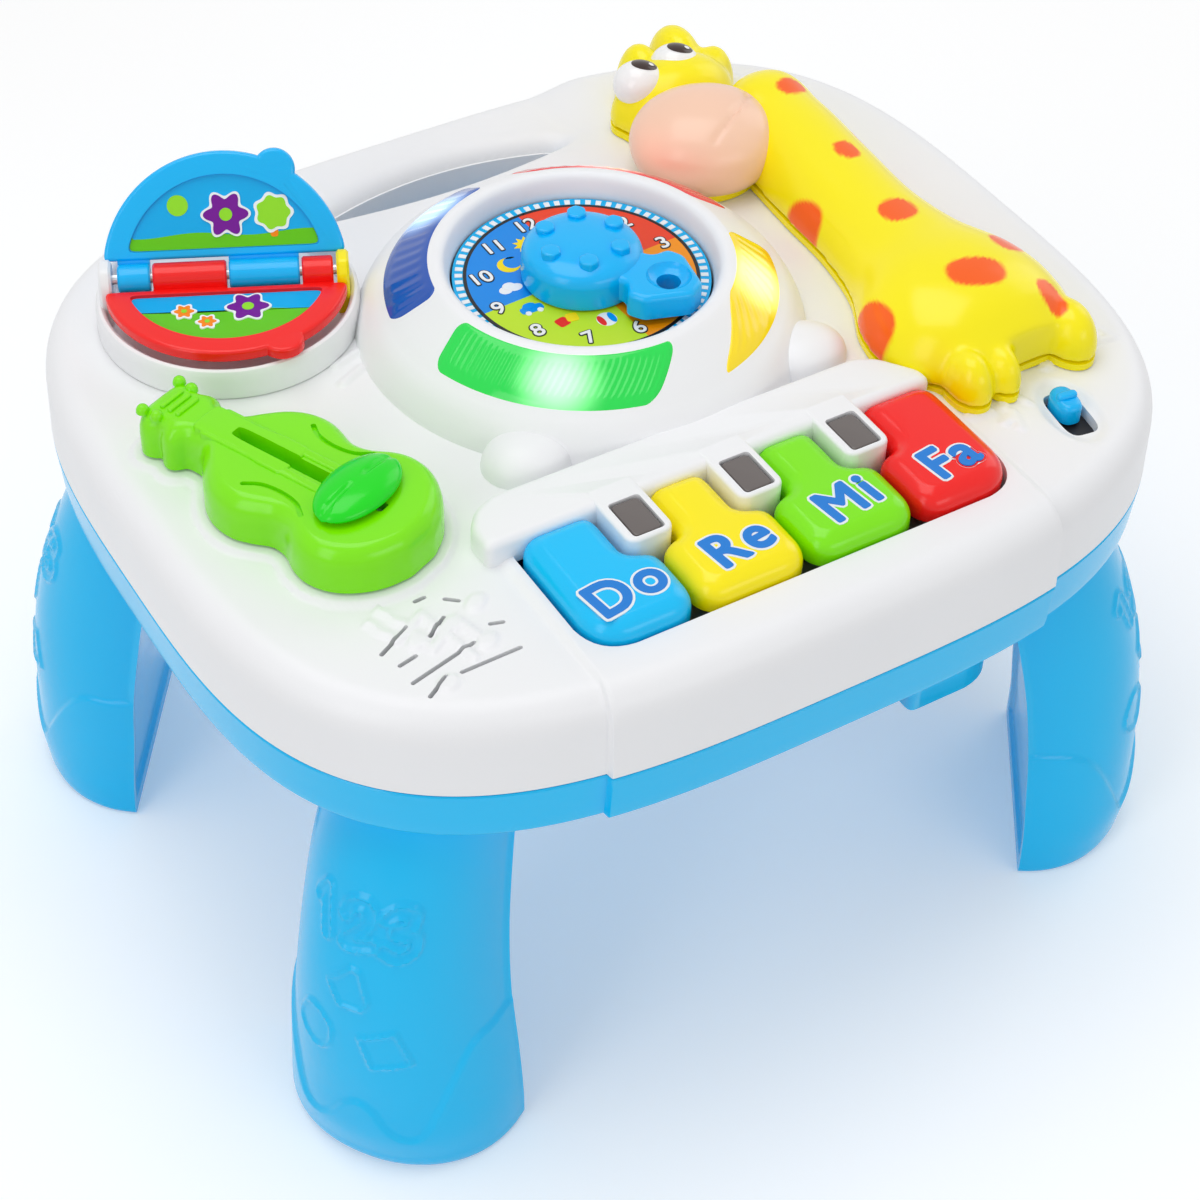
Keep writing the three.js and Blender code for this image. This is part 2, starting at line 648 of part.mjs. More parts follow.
function baseSolid() {
  const block = loft([outlineRing(SKIRT_DRAFT - PIANO_PROUD, SKIRT_BOTTOM), outlineRing(-PIANO_PROUD, SEAM - FIT)])
    .intersect(pianoRegion(0, SKIRT_BOTTOM, SEAM - FIT));
  const skirt = loft([outlineRing(SKIRT_DRAFT, SKIRT_BOTTOM), outlineRing(0, SEAM - FIT)]);
  const hollow = loft([outlineRing(SKIRT_DRAFT + WALL, SKIRT_BOTTOM + WALL), outlineRing(WALL, SEAM + OVERRUN)]);
  const bay = prism(bayShape(0), BAY_BOTTOM, SKIRT_BOTTOM + OVERRUN);
  const bayRoom = prism(bayShape(BAY_WALL), BAY_BOTTOM - OVERRUN, BAY_ROOF);
  const overBay = prism(bayShape(BAY_WALL), BAY_ROOF + BAY_WALL, SKIRT_BOTTOM + WALL + OVERRUN);
  const towers = SCREW_AT.map(([x, y]) => post(x, y, BOSS, SKIRT_BOTTOM, TOWER_TOP, 16));
  const wells = SCREW_AT.map(([x, y]) => post(x, y, SCREW_HEAD + FIT, SKIRT_BOTTOM - OVERRUN, SCREW_SEAT, 14));
  const bores = SCREW_AT.map(([x, y]) => post(x, y, SCREW_PILOT, SCREW_SEAT - OVERRUN, TOWER_TOP + OVERRUN, 12));
  const stands = boardCorners().map(([x, y]) => post(x, y, BOSS - 1, SKIRT_BOTTOM + 1, BOARD_Z - FIT, 12));
  const pegs = Object.values(legCorners).map((signs) => toCorner(legPeg(), signs));
  const handleTube = plate(handleOutline(WALL), SKIRT_BOTTOM, SEAM - FIT);
  const handleHole = plate(handleOutline(0), SKIRT_BOTTOM - OVERRUN, SEAM + OVERRUN);
  const shell = union([skirt, block]).subtract(hollow);
  const doorBoss = post(DOOR_SCREW[0], DOOR_SCREW[1], SCREW_HEAD, BAY_BOTTOM + DOOR_THICK + FIT, BAY_ROOF + 1, 14)
    .subtract(post(DOOR_SCREW[0], DOOR_SCREW[1], SCREW_PILOT, BAY_BOTTOM, DOOR_SCREW_END + 1, 12));
  const body = union([shell, bay, ...towers, ...stands, ...pegs, handleTube]);
  return cutAll(body, [bayRoom, overBay, ...wells, ...bores, handleHole]).add(doorBoss);
}

function boardCorners() {
  const inset = BOSS;
  const [x0, x1, y0, y1] = BOARD;
  return [[x0 + inset, y0 + inset], [x1 - inset, y0 + inset], [x0 + inset, y1 - inset], [x1 - inset, y1 - inset]];
}

addPiece('base_shell', baseSolid(), 'blue');
addPiece('main_board', box(BOARD[0], BOARD[1], BOARD[2], BOARD[3], BOARD_Z, BOARD_Z + BOARD_THICK), 'board');

SCREW_AT.forEach(([x, y], i) => {
  const head = post(x, y, SCREW_HEAD, SCREW_SEAT - FIT - 2, SCREW_SEAT - FIT, 12);
  const shank = post(x, y, SCREW, SCREW_SEAT - FIT - 1, TOWER_TOP + LEG_PEG, 10);
  addPiece(`case_screw_${i + 1}`, head.add(shank), 'steel');
});

// Battery cells, contacts and door
for (let i = 0; i < CELL_COUNT; i += 1) {
  const x = cellMiddleX + (i - (CELL_COUNT - 1) / 2) * CELL_PITCH;
  const way = i % 2 === 0 ? 1 : -1;
  const half = CELL_LENGTH / 2;
  const body = post(0, 0, CELL_RADIUS, -half, half - 1, 16);
  const nub = post(0, 0, CELL_NUB, half - 2, half, 8);
  addPiece(`cell_${i + 1}`, body.add(nub).rotate([-90 * way, 0, 0]).translate([x, CELL_MIDDLE_Y, CELL_Z]), 'navy');
}
[-1, 1].forEach((side) => {
  const y = CELL_MIDDLE_Y + side * (CELL_LENGTH / 2 + FIT + CONTACT_THICK / 2);
  const name = side < 0 ? 'contact_plate_front' : 'contact_plate_back';
  const half = CELL_PITCH * 0.94;
  addPiece(name, box(cellMiddleX - half, cellMiddleX + half, y - CONTACT_THICK / 2, y + CONTACT_THICK / 2,
    CELL_Z - CELL_RADIUS, CELL_Z + CELL_RADIUS), 'steel');
});
const door = prism(bayShape(BAY_WALL + FIT), BAY_BOTTOM, BAY_BOTTOM + DOOR_THICK);
addPiece('battery_door', door.subtract(post(DOOR_SCREW[0], DOOR_SCREW[1], SCREW + FIT, 0, TOP, 12)), 'blue');
addPiece('battery_door_screw', post(DOOR_SCREW[0], DOOR_SCREW[1], SCREW, BAY_BOTTOM - FIT - 1, DOOR_SCREW_END, 10)
  .add(post(DOOR_SCREW[0], DOOR_SCREW[1], SCREW_HEAD, BAY_BOTTOM - FIT - 2, BAY_BOTTOM - FIT, 12)), 'steel');

// Clock housing

function clockProfile() {
  const floorTop = DIAL_TOP - DIAL_THICK - FIT;
  return [
    [CLOCK_BASE, TOP + FIT], [64.8, 179.4], [61.6, 183.7], [57.9, 186.4], [50.5, 191.8],
    [45, 196], [CLOCK_CREST, CLOCK_CREST_Z], [39.6, 195.4], [38, 191.4], [38, floorTop],
    [KNOB_SHAFT + RUN, floorTop], [KNOB_SHAFT + RUN, floorTop - CLOCK_FLOOR],
    [39.8, floorTop - CLOCK_FLOOR], [41.6, 193.2], [46.4, 191], [55.4, 183.8], [60.4, 180], [62.6, TOP + FIT],
  ];
}

const clockAngles = {            // lens ends at the inner and the outer edge, in degrees
  blue: [[100, 173], [97, 170]],
  green: [[190, 275], [193, 260]],
  yellow: [[-53, -11], [-78, -13]],
  red: [[12, 80], [8, 83]],
};

// Moves a counter-clockwise outline outwards by the same distance on every side
function growOutline(points, distance) {
  const count = points.length;
  return points.map(([x, y], i) => {
    const [px, py] = points[(i + count - 1) % count];
    const [nx, ny] = points[(i + 1) % count];
    const before = new THREE.Vector2(y - py, px - x).normalize();
    const after = new THREE.Vector2(ny - y, x - nx).normalize();
    const mitre = before.clone().add(after).normalize();
    const length = distance / Math.max(mitre.dot(after), 1 / 2);
    return [x + mitre.x * length, y + mitre.y * length];
  });
}

function lensPrism([[in0, in1], [out0, out1]], grow) {
  const points = [];
  const steps = 6;
  for (let i = 0; i <= steps; i += 1) {
    const a = radians(in1 + ((in0 - in1) * i) / steps);
    points.push([LENS_IN * Math.cos(a), CLOCK_Y + LENS_IN * Math.sin(a)]);
  }
  for (let i = 0; i <= steps; i += 1) {
    const a = radians(out0 + ((out1 - out0) * i) / steps);
    points.push([LENS_OUT * Math.cos(a), CLOCK_Y + LENS_OUT * Math.sin(a)]);
  }
  return plate(grow ? growOutline(points, grow) : points, TOP, TOP * 2);
}

function clockFoot([x, y], grow) {
  const foot = ball(x, CLOCK_Y + y, TOP, CLOCK_FOOT_RADIUS + grow, CLOCK_FOOT_RADIUS - 1.5 + grow,
    CLOCK_FOOT_RISE + grow, 16, 8);
  const size = CLOCK_BASE * 2;
  return foot.intersect(box(-size, size, -size, size, TOP + FIT, TOP * 2))
    .subtract(post(0, CLOCK_Y, CLOCK_ROOM, TOP, TOP + CLOCK_FOOT_RISE, CLOCK_SEGMENTS));
}

const clockBlank = ringBody(clockProfile(), 0, CLOCK_Y, CLOCK_SEGMENTS);
const spigot = ringBody([
  [CLOCK_SPIGOT, TOP - SPIGOT_DEPTH], [CLOCK_SPIGOT, TOP + FIT + OVERRUN],
  [CLOCK_SPIGOT - SPIGOT_WALL, TOP + FIT + OVERRUN], [CLOCK_SPIGOT - SPIGOT_WALL, TOP - SPIGOT_DEPTH],
], 0, CLOCK_Y, CLOCK_SEGMENTS);
const spigotShelf = ringBody([
  [CLOCK_SPIGOT - SPIGOT_WALL, TOP + FIT], [CLOCK_BASE - OVERRUN, TOP + FIT],
  [CLOCK_BASE - OVERRUN, TOP + FIT + 2], [CLOCK_SPIGOT - SPIGOT_WALL, TOP + FIT + 2],
], 0, CLOCK_Y, CLOCK_SEGMENTS);
const clockCuts = Object.values(clockAngles).map((ends) => lensPrism(ends, FIT));
const clockFeet = CLOCK_FEET.map((place) => clockFoot(place, 0));
addPiece('clock_housing', cutAll(union([clockBlank, ...clockFeet]), clockCuts)
  .add(spigotShelf).add(spigot), 'white');

// Ring board with its lights, held under the lenses
const ringBoardZ = TOP + FIT + 2 + FIT;
const ringBoard = ringBody([
  [LENS_IN - 3, ringBoardZ], [LENS_OUT + 2, ringBoardZ], [LENS_OUT + 2, ringBoardZ + BOARD_THICK],
  [LENS_IN - 3, ringBoardZ + BOARD_THICK],
], 0, CLOCK_Y, 32);
addPiece('ring_board', ringBoard, 'board');

const lensFinish = { blue: 'navy', green: 'green', yellow: 'yellow', red: 'red' };
Object.entries(clockAngles).forEach(([colour, ends]) => {
  const radius = (LENS_IN + LENS_OUT) / 2;
  const bosses = [0.14, 0.86].map((endShare) => {
    const inner = ends[0][0] + (ends[0][1] - ends[0][0]) * endShare;
    const outer = ends[1][0] + (ends[1][1] - ends[1][0]) * endShare;
    const angle = radians((inner + outer) / 2);
    return post(radius * Math.cos(angle), CLOCK_Y + radius * Math.sin(angle), LENS_BOSS,
      ringBoardZ + BOARD_THICK + FIT, CLOCK_CREST_Z - 9, 10);
  });
  const lens = clockBlank.intersect(lensPrism(ends, 0));
  addPiece(`lens_${colour}`, union([lens, ...bosses]), lensFinish[colour]);
  const at = radians((ends[0][0] + ends[0][1] + ends[1][0] + ends[1][1]) / 4);
  const x = radius * Math.cos(at);
  const y = CLOCK_Y + radius * Math.sin(at);
  const low = ringBoardZ + BOARD_THICK + FIT;
  const bulb = post(x, y, LIGHT_RADIUS, low, low + LIGHT_HEIGHT - LIGHT_RADIUS, 10)
    .add(ball(x, y, low + LIGHT_HEIGHT - LIGHT_RADIUS, LIGHT_RADIUS, LIGHT_RADIUS, LIGHT_RADIUS, 10, 6));
  addPiece(`light_${colour}`, bulb, 'white');
});

// Dial, knob and what turns with it
const dialBlank = ringBody([
  [KNOB_SHAFT + RUN, DIAL_TOP - DIAL_THICK], [DIAL_RADIUS, DIAL_TOP - DIAL_THICK],
  [DIAL_RADIUS, DIAL_TOP], [KNOB_SHAFT + RUN, DIAL_TOP],
], 0, CLOCK_Y, 36);
addPiece('clock_dial', dialBlank, 'navy');

const KNOB_BOTTOM = DIAL_TOP + RUN;

function knobSolid() {
  const dome = turned([
    [0, KNOB_BOTTOM], [KNOB_RADIUS, KNOB_BOTTOM], [KNOB_RADIUS, KNOB_SHOULDER],
    [KNOB_RADIUS - KNOB_ROUND * 0.3, KNOB_SHOULDER + KNOB_ROUND * 0.7],
    [KNOB_RADIUS - KNOB_ROUND, KNOB_SHOULDER + KNOB_ROUND], [KNOB_RADIUS / 2, KNOB_TOP - 0.3], [0, KNOB_TOP],
  ], 0, 0, 28);
  const arm = new THREE.Shape();
  arm.moveTo(0, -KNOB_NECK_HALF);
  arm.lineTo(KNOB_BARB - 4, -KNOB_NECK_HALF);
  arm.lineTo(KNOB_BARB - 2, -KNOB_BARB_HALF);
  arm.quadraticCurveTo(KNOB_BARB, -KNOB_BARB_HALF - 1, KNOB_BARB + 2, -KNOB_BARB_HALF);
  arm.lineTo(KNOB_REACH - 3, -4);
  arm.quadraticCurveTo(KNOB_REACH + 1, 0, KNOB_REACH - 3, 4);
  arm.lineTo(KNOB_BARB + 2, KNOB_BARB_HALF);
  arm.quadraticCurveTo(KNOB_BARB, KNOB_BARB_HALF + 1, KNOB_BARB - 2, KNOB_BARB_HALF);
  arm.lineTo(KNOB_BARB - 4, KNOB_NECK_HALF);
  arm.lineTo(0, KNOB_NECK_HALF);
  const armBody = roundedPlate(arm, KNOB_BOTTOM, KNOB_ARM_TOP, 1.2, 5);
  const hole = post(KNOB_HOLE_AT, 0, KNOB_HOLE, KNOB_BOTTOM - OVERRUN, KNOB_TOP, 16);
  const dish = ball(KNOB_HOLE_AT, 0, KNOB_ARM_TOP + 2.4, 7, 7, 4.6, 16, 8);
  const studs = [];
  for (let i = 0; i < KNOB_STUDS; i += 1) {
    const angle = radians((360 * i) / KNOB_STUDS + KNOB_STUD_TURN);
    studs.push(post(KNOB_STUD_RING * Math.cos(angle), KNOB_STUD_RING * Math.sin(angle), KNOB_STUD, KNOB_SHOULDER,
      KNOB_TOP + KNOB_STUD_RISE, 6));
  }
  const shaft = post(0, 0, KNOB_SHAFT, KNOB_SHAFT_END, KNOB_SHOULDER, 20);
  const bore = post(0, 0, SCREW_PILOT, KNOB_SHAFT_END - OVERRUN, KNOB_SHAFT_END + KNOB_BORE, 10);
  const body = union([dome, armBody, ...studs]);
  return cutAll(body, [hole, dish]).add(shaft).subtract(bore);
}

addPiece('clock_knob', turnAbout(knobSolid(), KNOB_TURN, 0, CLOCK_Y), 'page');
addPiece('knob_contact_wheel', turned([
  [0, KNOB_SHAFT_END - FIT - 2], [14, KNOB_SHAFT_END - FIT - 2], [14, KNOB_SHAFT_END - FIT],
  [0, KNOB_SHAFT_END - FIT],
], 0, CLOCK_Y, 24).subtract(post(0, CLOCK_Y, SCREW + FIT, 0, TOP * 2, 10)), 'black');
const knobPilot = KNOB_SHAFT_END - FIT - 2;
addPiece('knob_screw', post(0, CLOCK_Y, SCREW_HEAD, knobPilot - FIT - 2, knobPilot - FIT, 12)
  .add(post(0, CLOCK_Y, SCREW, knobPilot - FIT - 1, KNOB_SHAFT_END + KNOB_BORE - 1, 10)), 'steel');

// Guitar and slider

function guitarSolid() {
  const outline = new THREE.Shape(guitarOutline(0).map(([x, y]) => new THREE.Vector2(x, y)));
  const body = roundedPlate(outline, GUITAR_BASE + FIT, GUITAR_TOP, GUITAR_EDGE, 2);
  const headEnd = GUITAR_HALF_WIDTHS[8][0];
  const headOutline = [
    ...GUITAR_HALF_WIDTHS.slice(0, 9).map(([s, w]) => [s, GUITAR_MIDDLE - w]),
    ...GUITAR_HALF_WIDTHS.slice(0, 9).map(([s, w]) => [s, GUITAR_MIDDLE + w]).reverse(),
  ];
  const head = plate(headOutline, GUITAR_BASE + FIT, GUITAR_NECK_TOP);
  const neckHalf = GUITAR_HALF_WIDTHS[8][1];
  const neck = box(headEnd - 1, headEnd + 34, GUITAR_MIDDLE - neckHalf, GUITAR_MIDDLE + neckHalf,
    GUITAR_TOP - GUITAR_EDGE * 2, GUITAR_NECK_TOP);
  const hollow = plate(guitarOutline(-WALL - 0.5), TOP, GUITAR_TOP - WALL - 0.5);
  const headRoom = box(-4, headEnd + 6, -GUITAR_HALF_WIDTHS[3][1], GUITAR_HALF_WIDTHS[3][1] - 2, TOP, GUITAR_BASE + 1);
  const slot = roundSlot(SLOT_END - SLOT_START, SLOT_WIDTH, TOP, TOP * 2)
    .translate([(SLOT_START + SLOT_END) / 2, GUITAR_MIDDLE, 0]);
  return onGuitar(cutAll(union([body, head, neck]), [hollow, headRoom, slot]));
}

addPiece('guitar_body', guitarSolid(), 'lime');

const sliderBottom = GUITAR_TOP + FIT;
const stemEnd = GUITAR_TOP - WALL - SLIDER_PLAY - SLIDER_CLIP;

function sliderSolid() {
  const cap = ball(SLIDER_AT, GUITAR_MIDDLE, sliderBottom, SLIDER_WIDE, SLIDER_LONG, SLIDER_RISE, 18, 8);
  const keep = box(0, SLOT_END * 2, -SLIDER_LONG * 2, SLIDER_LONG * 2, sliderBottom, TOP * 2);
  const half = SLIDER_STEM / 2;
  const stem = box(SLIDER_AT - SLIDER_STEM_LONG / 2, SLIDER_AT + SLIDER_STEM_LONG / 2, GUITAR_MIDDLE - half,
    GUITAR_MIDDLE + half, stemEnd, GUITAR_NECK_TOP + 1);
  const neckHalf = GUITAR_HALF_WIDTHS[8][1] + RUN;
  const channel = box(0, SLOT_END * 2, GUITAR_MIDDLE - neckHalf, GUITAR_MIDDLE + neckHalf, TOP, GUITAR_NECK_TOP + RUN);
  return onGuitar(cap.intersect(keep).subtract(channel).add(stem));
}

addPiece('guitar_slider', sliderSolid(), 'green');
const carriageTop = GUITAR_TOP - WALL - SLIDER_PLAY;
const stemRoom = box(SLIDER_AT - SLIDER_STEM_LONG / 2 - FIT, SLIDER_AT + SLIDER_STEM_LONG / 2 + FIT,
  GUITAR_MIDDLE - SLIDER_STEM / 2 - FIT, GUITAR_MIDDLE + SLIDER_STEM / 2 + FIT, stemEnd - FIT, GUITAR_TOP);
const carriage = box(SLIDER_AT - CARRIAGE_HALF, SLIDER_AT + CARRIAGE_HALF, GUITAR_MIDDLE - CARRIAGE_HALF,
  GUITAR_MIDDLE + CARRIAGE_HALF, carriageTop - CARRIAGE_THICK, carriageTop);
addPiece('slider_carriage', onGuitar(carriage.subtract(stemRoom)), 'white');

// Flip book: modelled along x, the front page towards -Y, then turned into place

function onBook(solid) {
  return turnAbout(solid, BOOK_TURN, BOOK_CENTRE[0], BOOK_CENTRE[1]);
}

function along(x0, x1, radius, sides) {
  return post(0, 0, radius, x0, x1, sides).rotate([0, 90, 0]);
}

function knuckleEnds() {
  const ends = [-BOOK_LENGTH / 2];
  KNUCKLE_SHARES.forEach((share) => ends.push(ends[ends.length - 1] + share * BOOK_LENGTH));
  return ends;
}

// A page lying flat towards -Y, with the hinge axis on the x axis and its face upwards
function pageSolid(owned) {
  const ends = knuckleEnds();
  const start = Math.asin(PAGE_START / PAGE_RADIUS);
  const points = [];
  const steps = 22;
  for (let i = 0; i <= steps; i += 1) {
    const angle = Math.PI + start + ((Math.PI - 2 * start) * i) / steps;
    points.push([PAGE_RADIUS * Math.cos(angle), PAGE_RADIUS * Math.sin(angle)]);
  }
  const top = -RUN;
  const leaf = plate(points, top - PAGE_THICK, top);
  const tabTurn = radians(-PAGE_TAB_TURN);
  const tab = post((PAGE_RADIUS - 2) * Math.cos(tabTurn), (PAGE_RADIUS - 2) * Math.sin(tabTurn), PAGE_TAB,
    top - PAGE_THICK, top, 16);
  const panelPoints = points.map(([x, y]) => [(x * PAGE_PANEL) / PAGE_RADIUS, (y * PAGE_PANEL) / PAGE_RADIUS - 1.5]);
  const panel = plate(panelPoints, top - PAGE_PANEL_DEPTH, top + OVERRUN);
  const parts = [leaf, tab];
  const holes = [panel];
  owned.forEach((k) => {
    const x0 = ends[k] + FIT;
    const x1 = ends[k + 1] - FIT;
    parts.push(along(x0, x1, KNUCKLE, 18));
    parts.push(box(x0, x1, -PAGE_START - 3, 0, -KNUCKLE, top - PAGE_PANEL_DEPTH));
  });
  holes.push(along(-PAGE_RADIUS, PAGE_RADIUS, AXLE_RADIUS + FIT, 12));
  holes.push(along(-PAGE_RADIUS - OVERRUN, -BOOK_LENGTH / 2, POST_HALF + RUN, 20));
  holes.push(along(BOOK_LENGTH / 2, PAGE_RADIUS + OVERRUN, POST_HALF + RUN, 20));
  return cutAll(union(parts), holes);
}

addPiece('page_red', onBook(pageSolid([1, 3]).translate([0, 0, BOOK_AXIS_Z])), 'red');
const bluePage = pageSolid([0, 2]).mirror([0, 1, 0]).rotate([PAGE_OPEN, 0, 0]).translate([0, 0, BOOK_AXIS_Z]);
addPiece('page_blue', onBook(bluePage), 'page');

const postIn = BOOK_LENGTH / 2 + RUN;
const trayTop = BOOK_AXIS_Z - RUN - PAGE_THICK - FIT;

function bookPost(side) {
  const x0 = side < 0 ? -postIn - POST_THICK : postIn;
  const round = along(x0, x0 + POST_THICK, POST_HALF, 20).translate([0, 0, BOOK_AXIS_Z]);
  const stem = box(x0, x0 + POST_THICK, -POST_STEM, POST_STEM, TOP + FIT, BOOK_AXIS_Z);
  const pocket = along(side < 0 ? -postIn - POST_THICK / 2 : postIn - OVERRUN,
    side < 0 ? -postIn + OVERRUN : postIn + POST_THICK / 2, AXLE_RADIUS + FIT, 12).translate([0, 0, BOOK_AXIS_Z]);
  return round.add(stem).subtract(pocket);
}

function traySolid() {
  const wall = ringBody([
    [TRAY_RADIUS - TRAY_WALL, TOP + FIT], [TRAY_RADIUS, TOP + FIT], [TRAY_RADIUS, trayTop - 1.2],
    [TRAY_RADIUS - 1.2, trayTop], [TRAY_RADIUS - TRAY_WALL, trayTop],
  ], 0, 0, 36);
  const floor = post(0, 0, TRAY_RADIUS - 1, TOP + FIT, TOP + FIT + TRAY_FLOOR, 36);
  const gap = (side) => {
    const x0 = side < 0 ? -postIn - POST_THICK : postIn;
    return box(x0 - FIT, x0 + POST_THICK + FIT, -POST_HALF - FIT, POST_HALF + FIT, TOP, TOP * 2);
  };
  const pageRoom = box(-TRAY_RADIUS * 2, TRAY_RADIUS * 2, -KNUCKLE - 2, KNUCKLE + 2, trayTop - KNUCKLE, TOP * 2);
  const ring = cutAll(wall.add(floor), [pageRoom, gap(1)]);
  const besideClock = post(0, CLOCK_Y, CLOCK_BASE + RUN, TOP, TOP * 2, 48);
  return onBook(ring.add(bookPost(-1))).subtract(besideClock);
}

addPiece('book_tray', traySolid(), 'white');
addPiece('book_end_post', onBook(bookPost(1)), 'yellow');
addPiece('book_axle', onBook(along(-postIn - POST_THICK / 2 + FIT, postIn + POST_THICK / 2 - FIT, AXLE_RADIUS, 12)
  .translate([0, 0, BOOK_AXIS_Z])), 'steel');

// Giraffe handset

function giraffeRing(y, x, half, height) {
  const ring = [];
  const steps = 12;
  for (let i = 0; i <= steps; i += 1) {
    const angle = (Math.PI * i) / steps;
    const c = Math.cos(angle);
    const u = Math.sign(c) * Math.abs(c) ** 0.85;
    ring.push([x + half * u, y, GIRAFFE_BASE + height * Math.sin(angle) ** 0.8]);
  }
  return ring;
}

// Rings stand upright along y, so the end caps are fans about a middle point
function giraffeTrunk(grow, lift) {
  const first = GIRAFFE_SPINE[0];
  const last = GIRAFFE_SPINE[GIRAFFE_SPINE.length - 1];
  const headEnd = [first[0] + GIRAFFE_END + grow, first[1], first[2] * 0.55, first[3] * 0.6];
  const tailEnd = [last[0] - GIRAFFE_END - grow, last[1], last[2] * 0.72, last[3] * 0.55];
  const rings = [headEnd, ...GIRAFFE_SPINE, tailEnd].map(([y, x, half, height]) => giraffeRing(y, x, half + grow, height + lift));
  const count = rings[0].length;
  const positions = [];
  const index = [];
  rings.forEach((ring) => ring.forEach((p) => positions.push(...p)));
  for (let level = 0; level + 1 < rings.length; level += 1) {
    for (let i = 0; i < count; i += 1) {
      const j = (i + 1) % count;
      const a = level * count + i;
      const b = level * count + j;
      index.push(a, b, b + count, a, b + count, a + count);
    }
  }
  const lastRing = (rings.length - 1) * count;
  for (let i = 1; i + 1 < count; i += 1) {
    index.push(0, i + 1, i);
    index.push(lastRing, lastRing + i, lastRing + i + 1);
  }
  const geometry = new THREE.BufferGeometry();
  geometry.setAttribute('position', new THREE.Float32BufferAttribute(positions, 3));
  geometry.setIndex(index);
  return toSolid(geometry);
}

function muzzleBall(grow) {
  const [x, y, rx, ry, height] = MUZZLE;
  return ball(0, 0, 0, rx + grow, ry + grow, height / 2 + grow, 20, 12)
    .rotate([0, 0, MUZZLE_TURN]).translate([x, y, GIRAFFE_BASE + height / 2 - 1]);
}

function giraffeWhole(grow) {
  const [hx, hy, hrx, hry, hh] = HEAD;
  const head = ball(hx, hy, GIRAFFE_BASE, hrx + grow, hry + grow, hh, 18, 12);
  const horns = HORNS.map(([x, y, rx, ry, h]) => ball(x, y, GIRAFFE_BASE + h * HORN_LOW, rx + grow, ry + grow,
    h - h * HORN_LOW, 12, 8));
  const eyes = EYES.map(([x, y, r, h]) => ball(x, y, GIRAFFE_BASE + h * HORN_LOW, r + grow, r + grow,
    h - h * HORN_LOW, 14, 10));
  const feet = GIRAFFE_FEET.map(([x, y, rx, ry, h]) => ball(x, y, GIRAFFE_BASE, rx + grow, ry + grow, h, 12, 8));
  return union([giraffeTrunk(grow, 0), head, ...horns, ...eyes, ...feet]);
}

function levels(z0, z1) {
  const size = HALF_WIDTH * 2;
  return box(-size, size, -size, size, z0, z1);
}

function giraffeRoom() {
  const [hx, hy, hrx, hry, hh] = HEAD;
  const head = ball(hx, hy, GIRAFFE_BASE, hrx - WALL, hry - WALL, hh - WALL, 16, 10);
  return giraffeTrunk(-WALL, -WALL).add(head);
}

function giraffeSolids() {
  const whole = giraffeWhole(0);
  const above = levels(GIRAFFE_BASE + HANDSET_COVER + FIT, TOP * 2);
  const coverBand = levels(GIRAFFE_BASE, GIRAFFE_BASE + HANDSET_COVER);
  return {
    shell: cutAll(whole.intersect(above), [giraffeRoom(), muzzleBall(FIT)]),
    muzzle: muzzleBall(0).intersect(above).subtract(muzzleBall(-WALL)),
    cover: union([whole, muzzleBall(0)]).intersect(coverBand),
  };
}

// Room for the handset in whatever rises above the playing surface
function giraffeSeat() {
  const around = union([giraffeWhole(RUN), muzzleBall(RUN)]);
  return around.intersect(levels(GIRAFFE_BASE, TOP * 2)).add(around.intersect(levels(GIRAFFE_BASE, GIRAFFE_BASE + FIT))
    .translate([0, 0, TOP - GIRAFFE_BASE]));
}

const giraffe = giraffeSolids();
addPiece('giraffe_shell', giraffe.shell, 'yellow');
addPiece('giraffe_muzzle', giraffe.muzzle, 'peach');
addPiece('giraffe_cover', giraffe.cover, 'yellow');

// Power switch
function onSwitch(solid) {
  return turnAbout(solid, SWITCH_TURN + 90, SWITCH_AT[0], SWITCH_AT[1]);
}
const switchRest = SWITCH_TRAVEL / 2;
const knobHalf = SWITCH_KNOB / 2;
const switchCap = roundSlot(SWITCH_KNOB, SWITCH_WIDE - 2.4, TOP - WALL - 1, TOP + SWITCH_RISE);
const switchFlange = box(-knobHalf - 2, knobHalf + 2, -SWITCH_WIDE / 2 - 1, SWITCH_WIDE / 2 + 1,
  TOP - WALL - FIT - 1.6, TOP - WALL - FIT);
addPiece('switch_knob', onSwitch(switchCap.add(switchFlange).translate([switchRest, 0, 0])), 'page');
const switchTop = TOP - WALL - FIT - 1.6 - FIT;
addPiece('slide_switch', onSwitch(box(-9, 9, -5, 5, switchTop - 6, switchTop)), 'black');

// Speaker under the grille
addPiece('speaker', turned([
  [0, TOP - WALL - FIT - SPEAKER_DEPTH], [9, TOP - WALL - FIT - SPEAKER_DEPTH], [10, TOP - WALL - FIT - 5],
  [SPEAKER_RADIUS - 1.5, TOP - WALL - FIT - 2.5], [SPEAKER_RADIUS, TOP - WALL - FIT - 2.5],
  [SPEAKER_RADIUS, TOP - WALL - FIT], [0, TOP - WALL - FIT],
], SPEAKER_AT[0], SPEAKER_AT[1], 20), 'black');

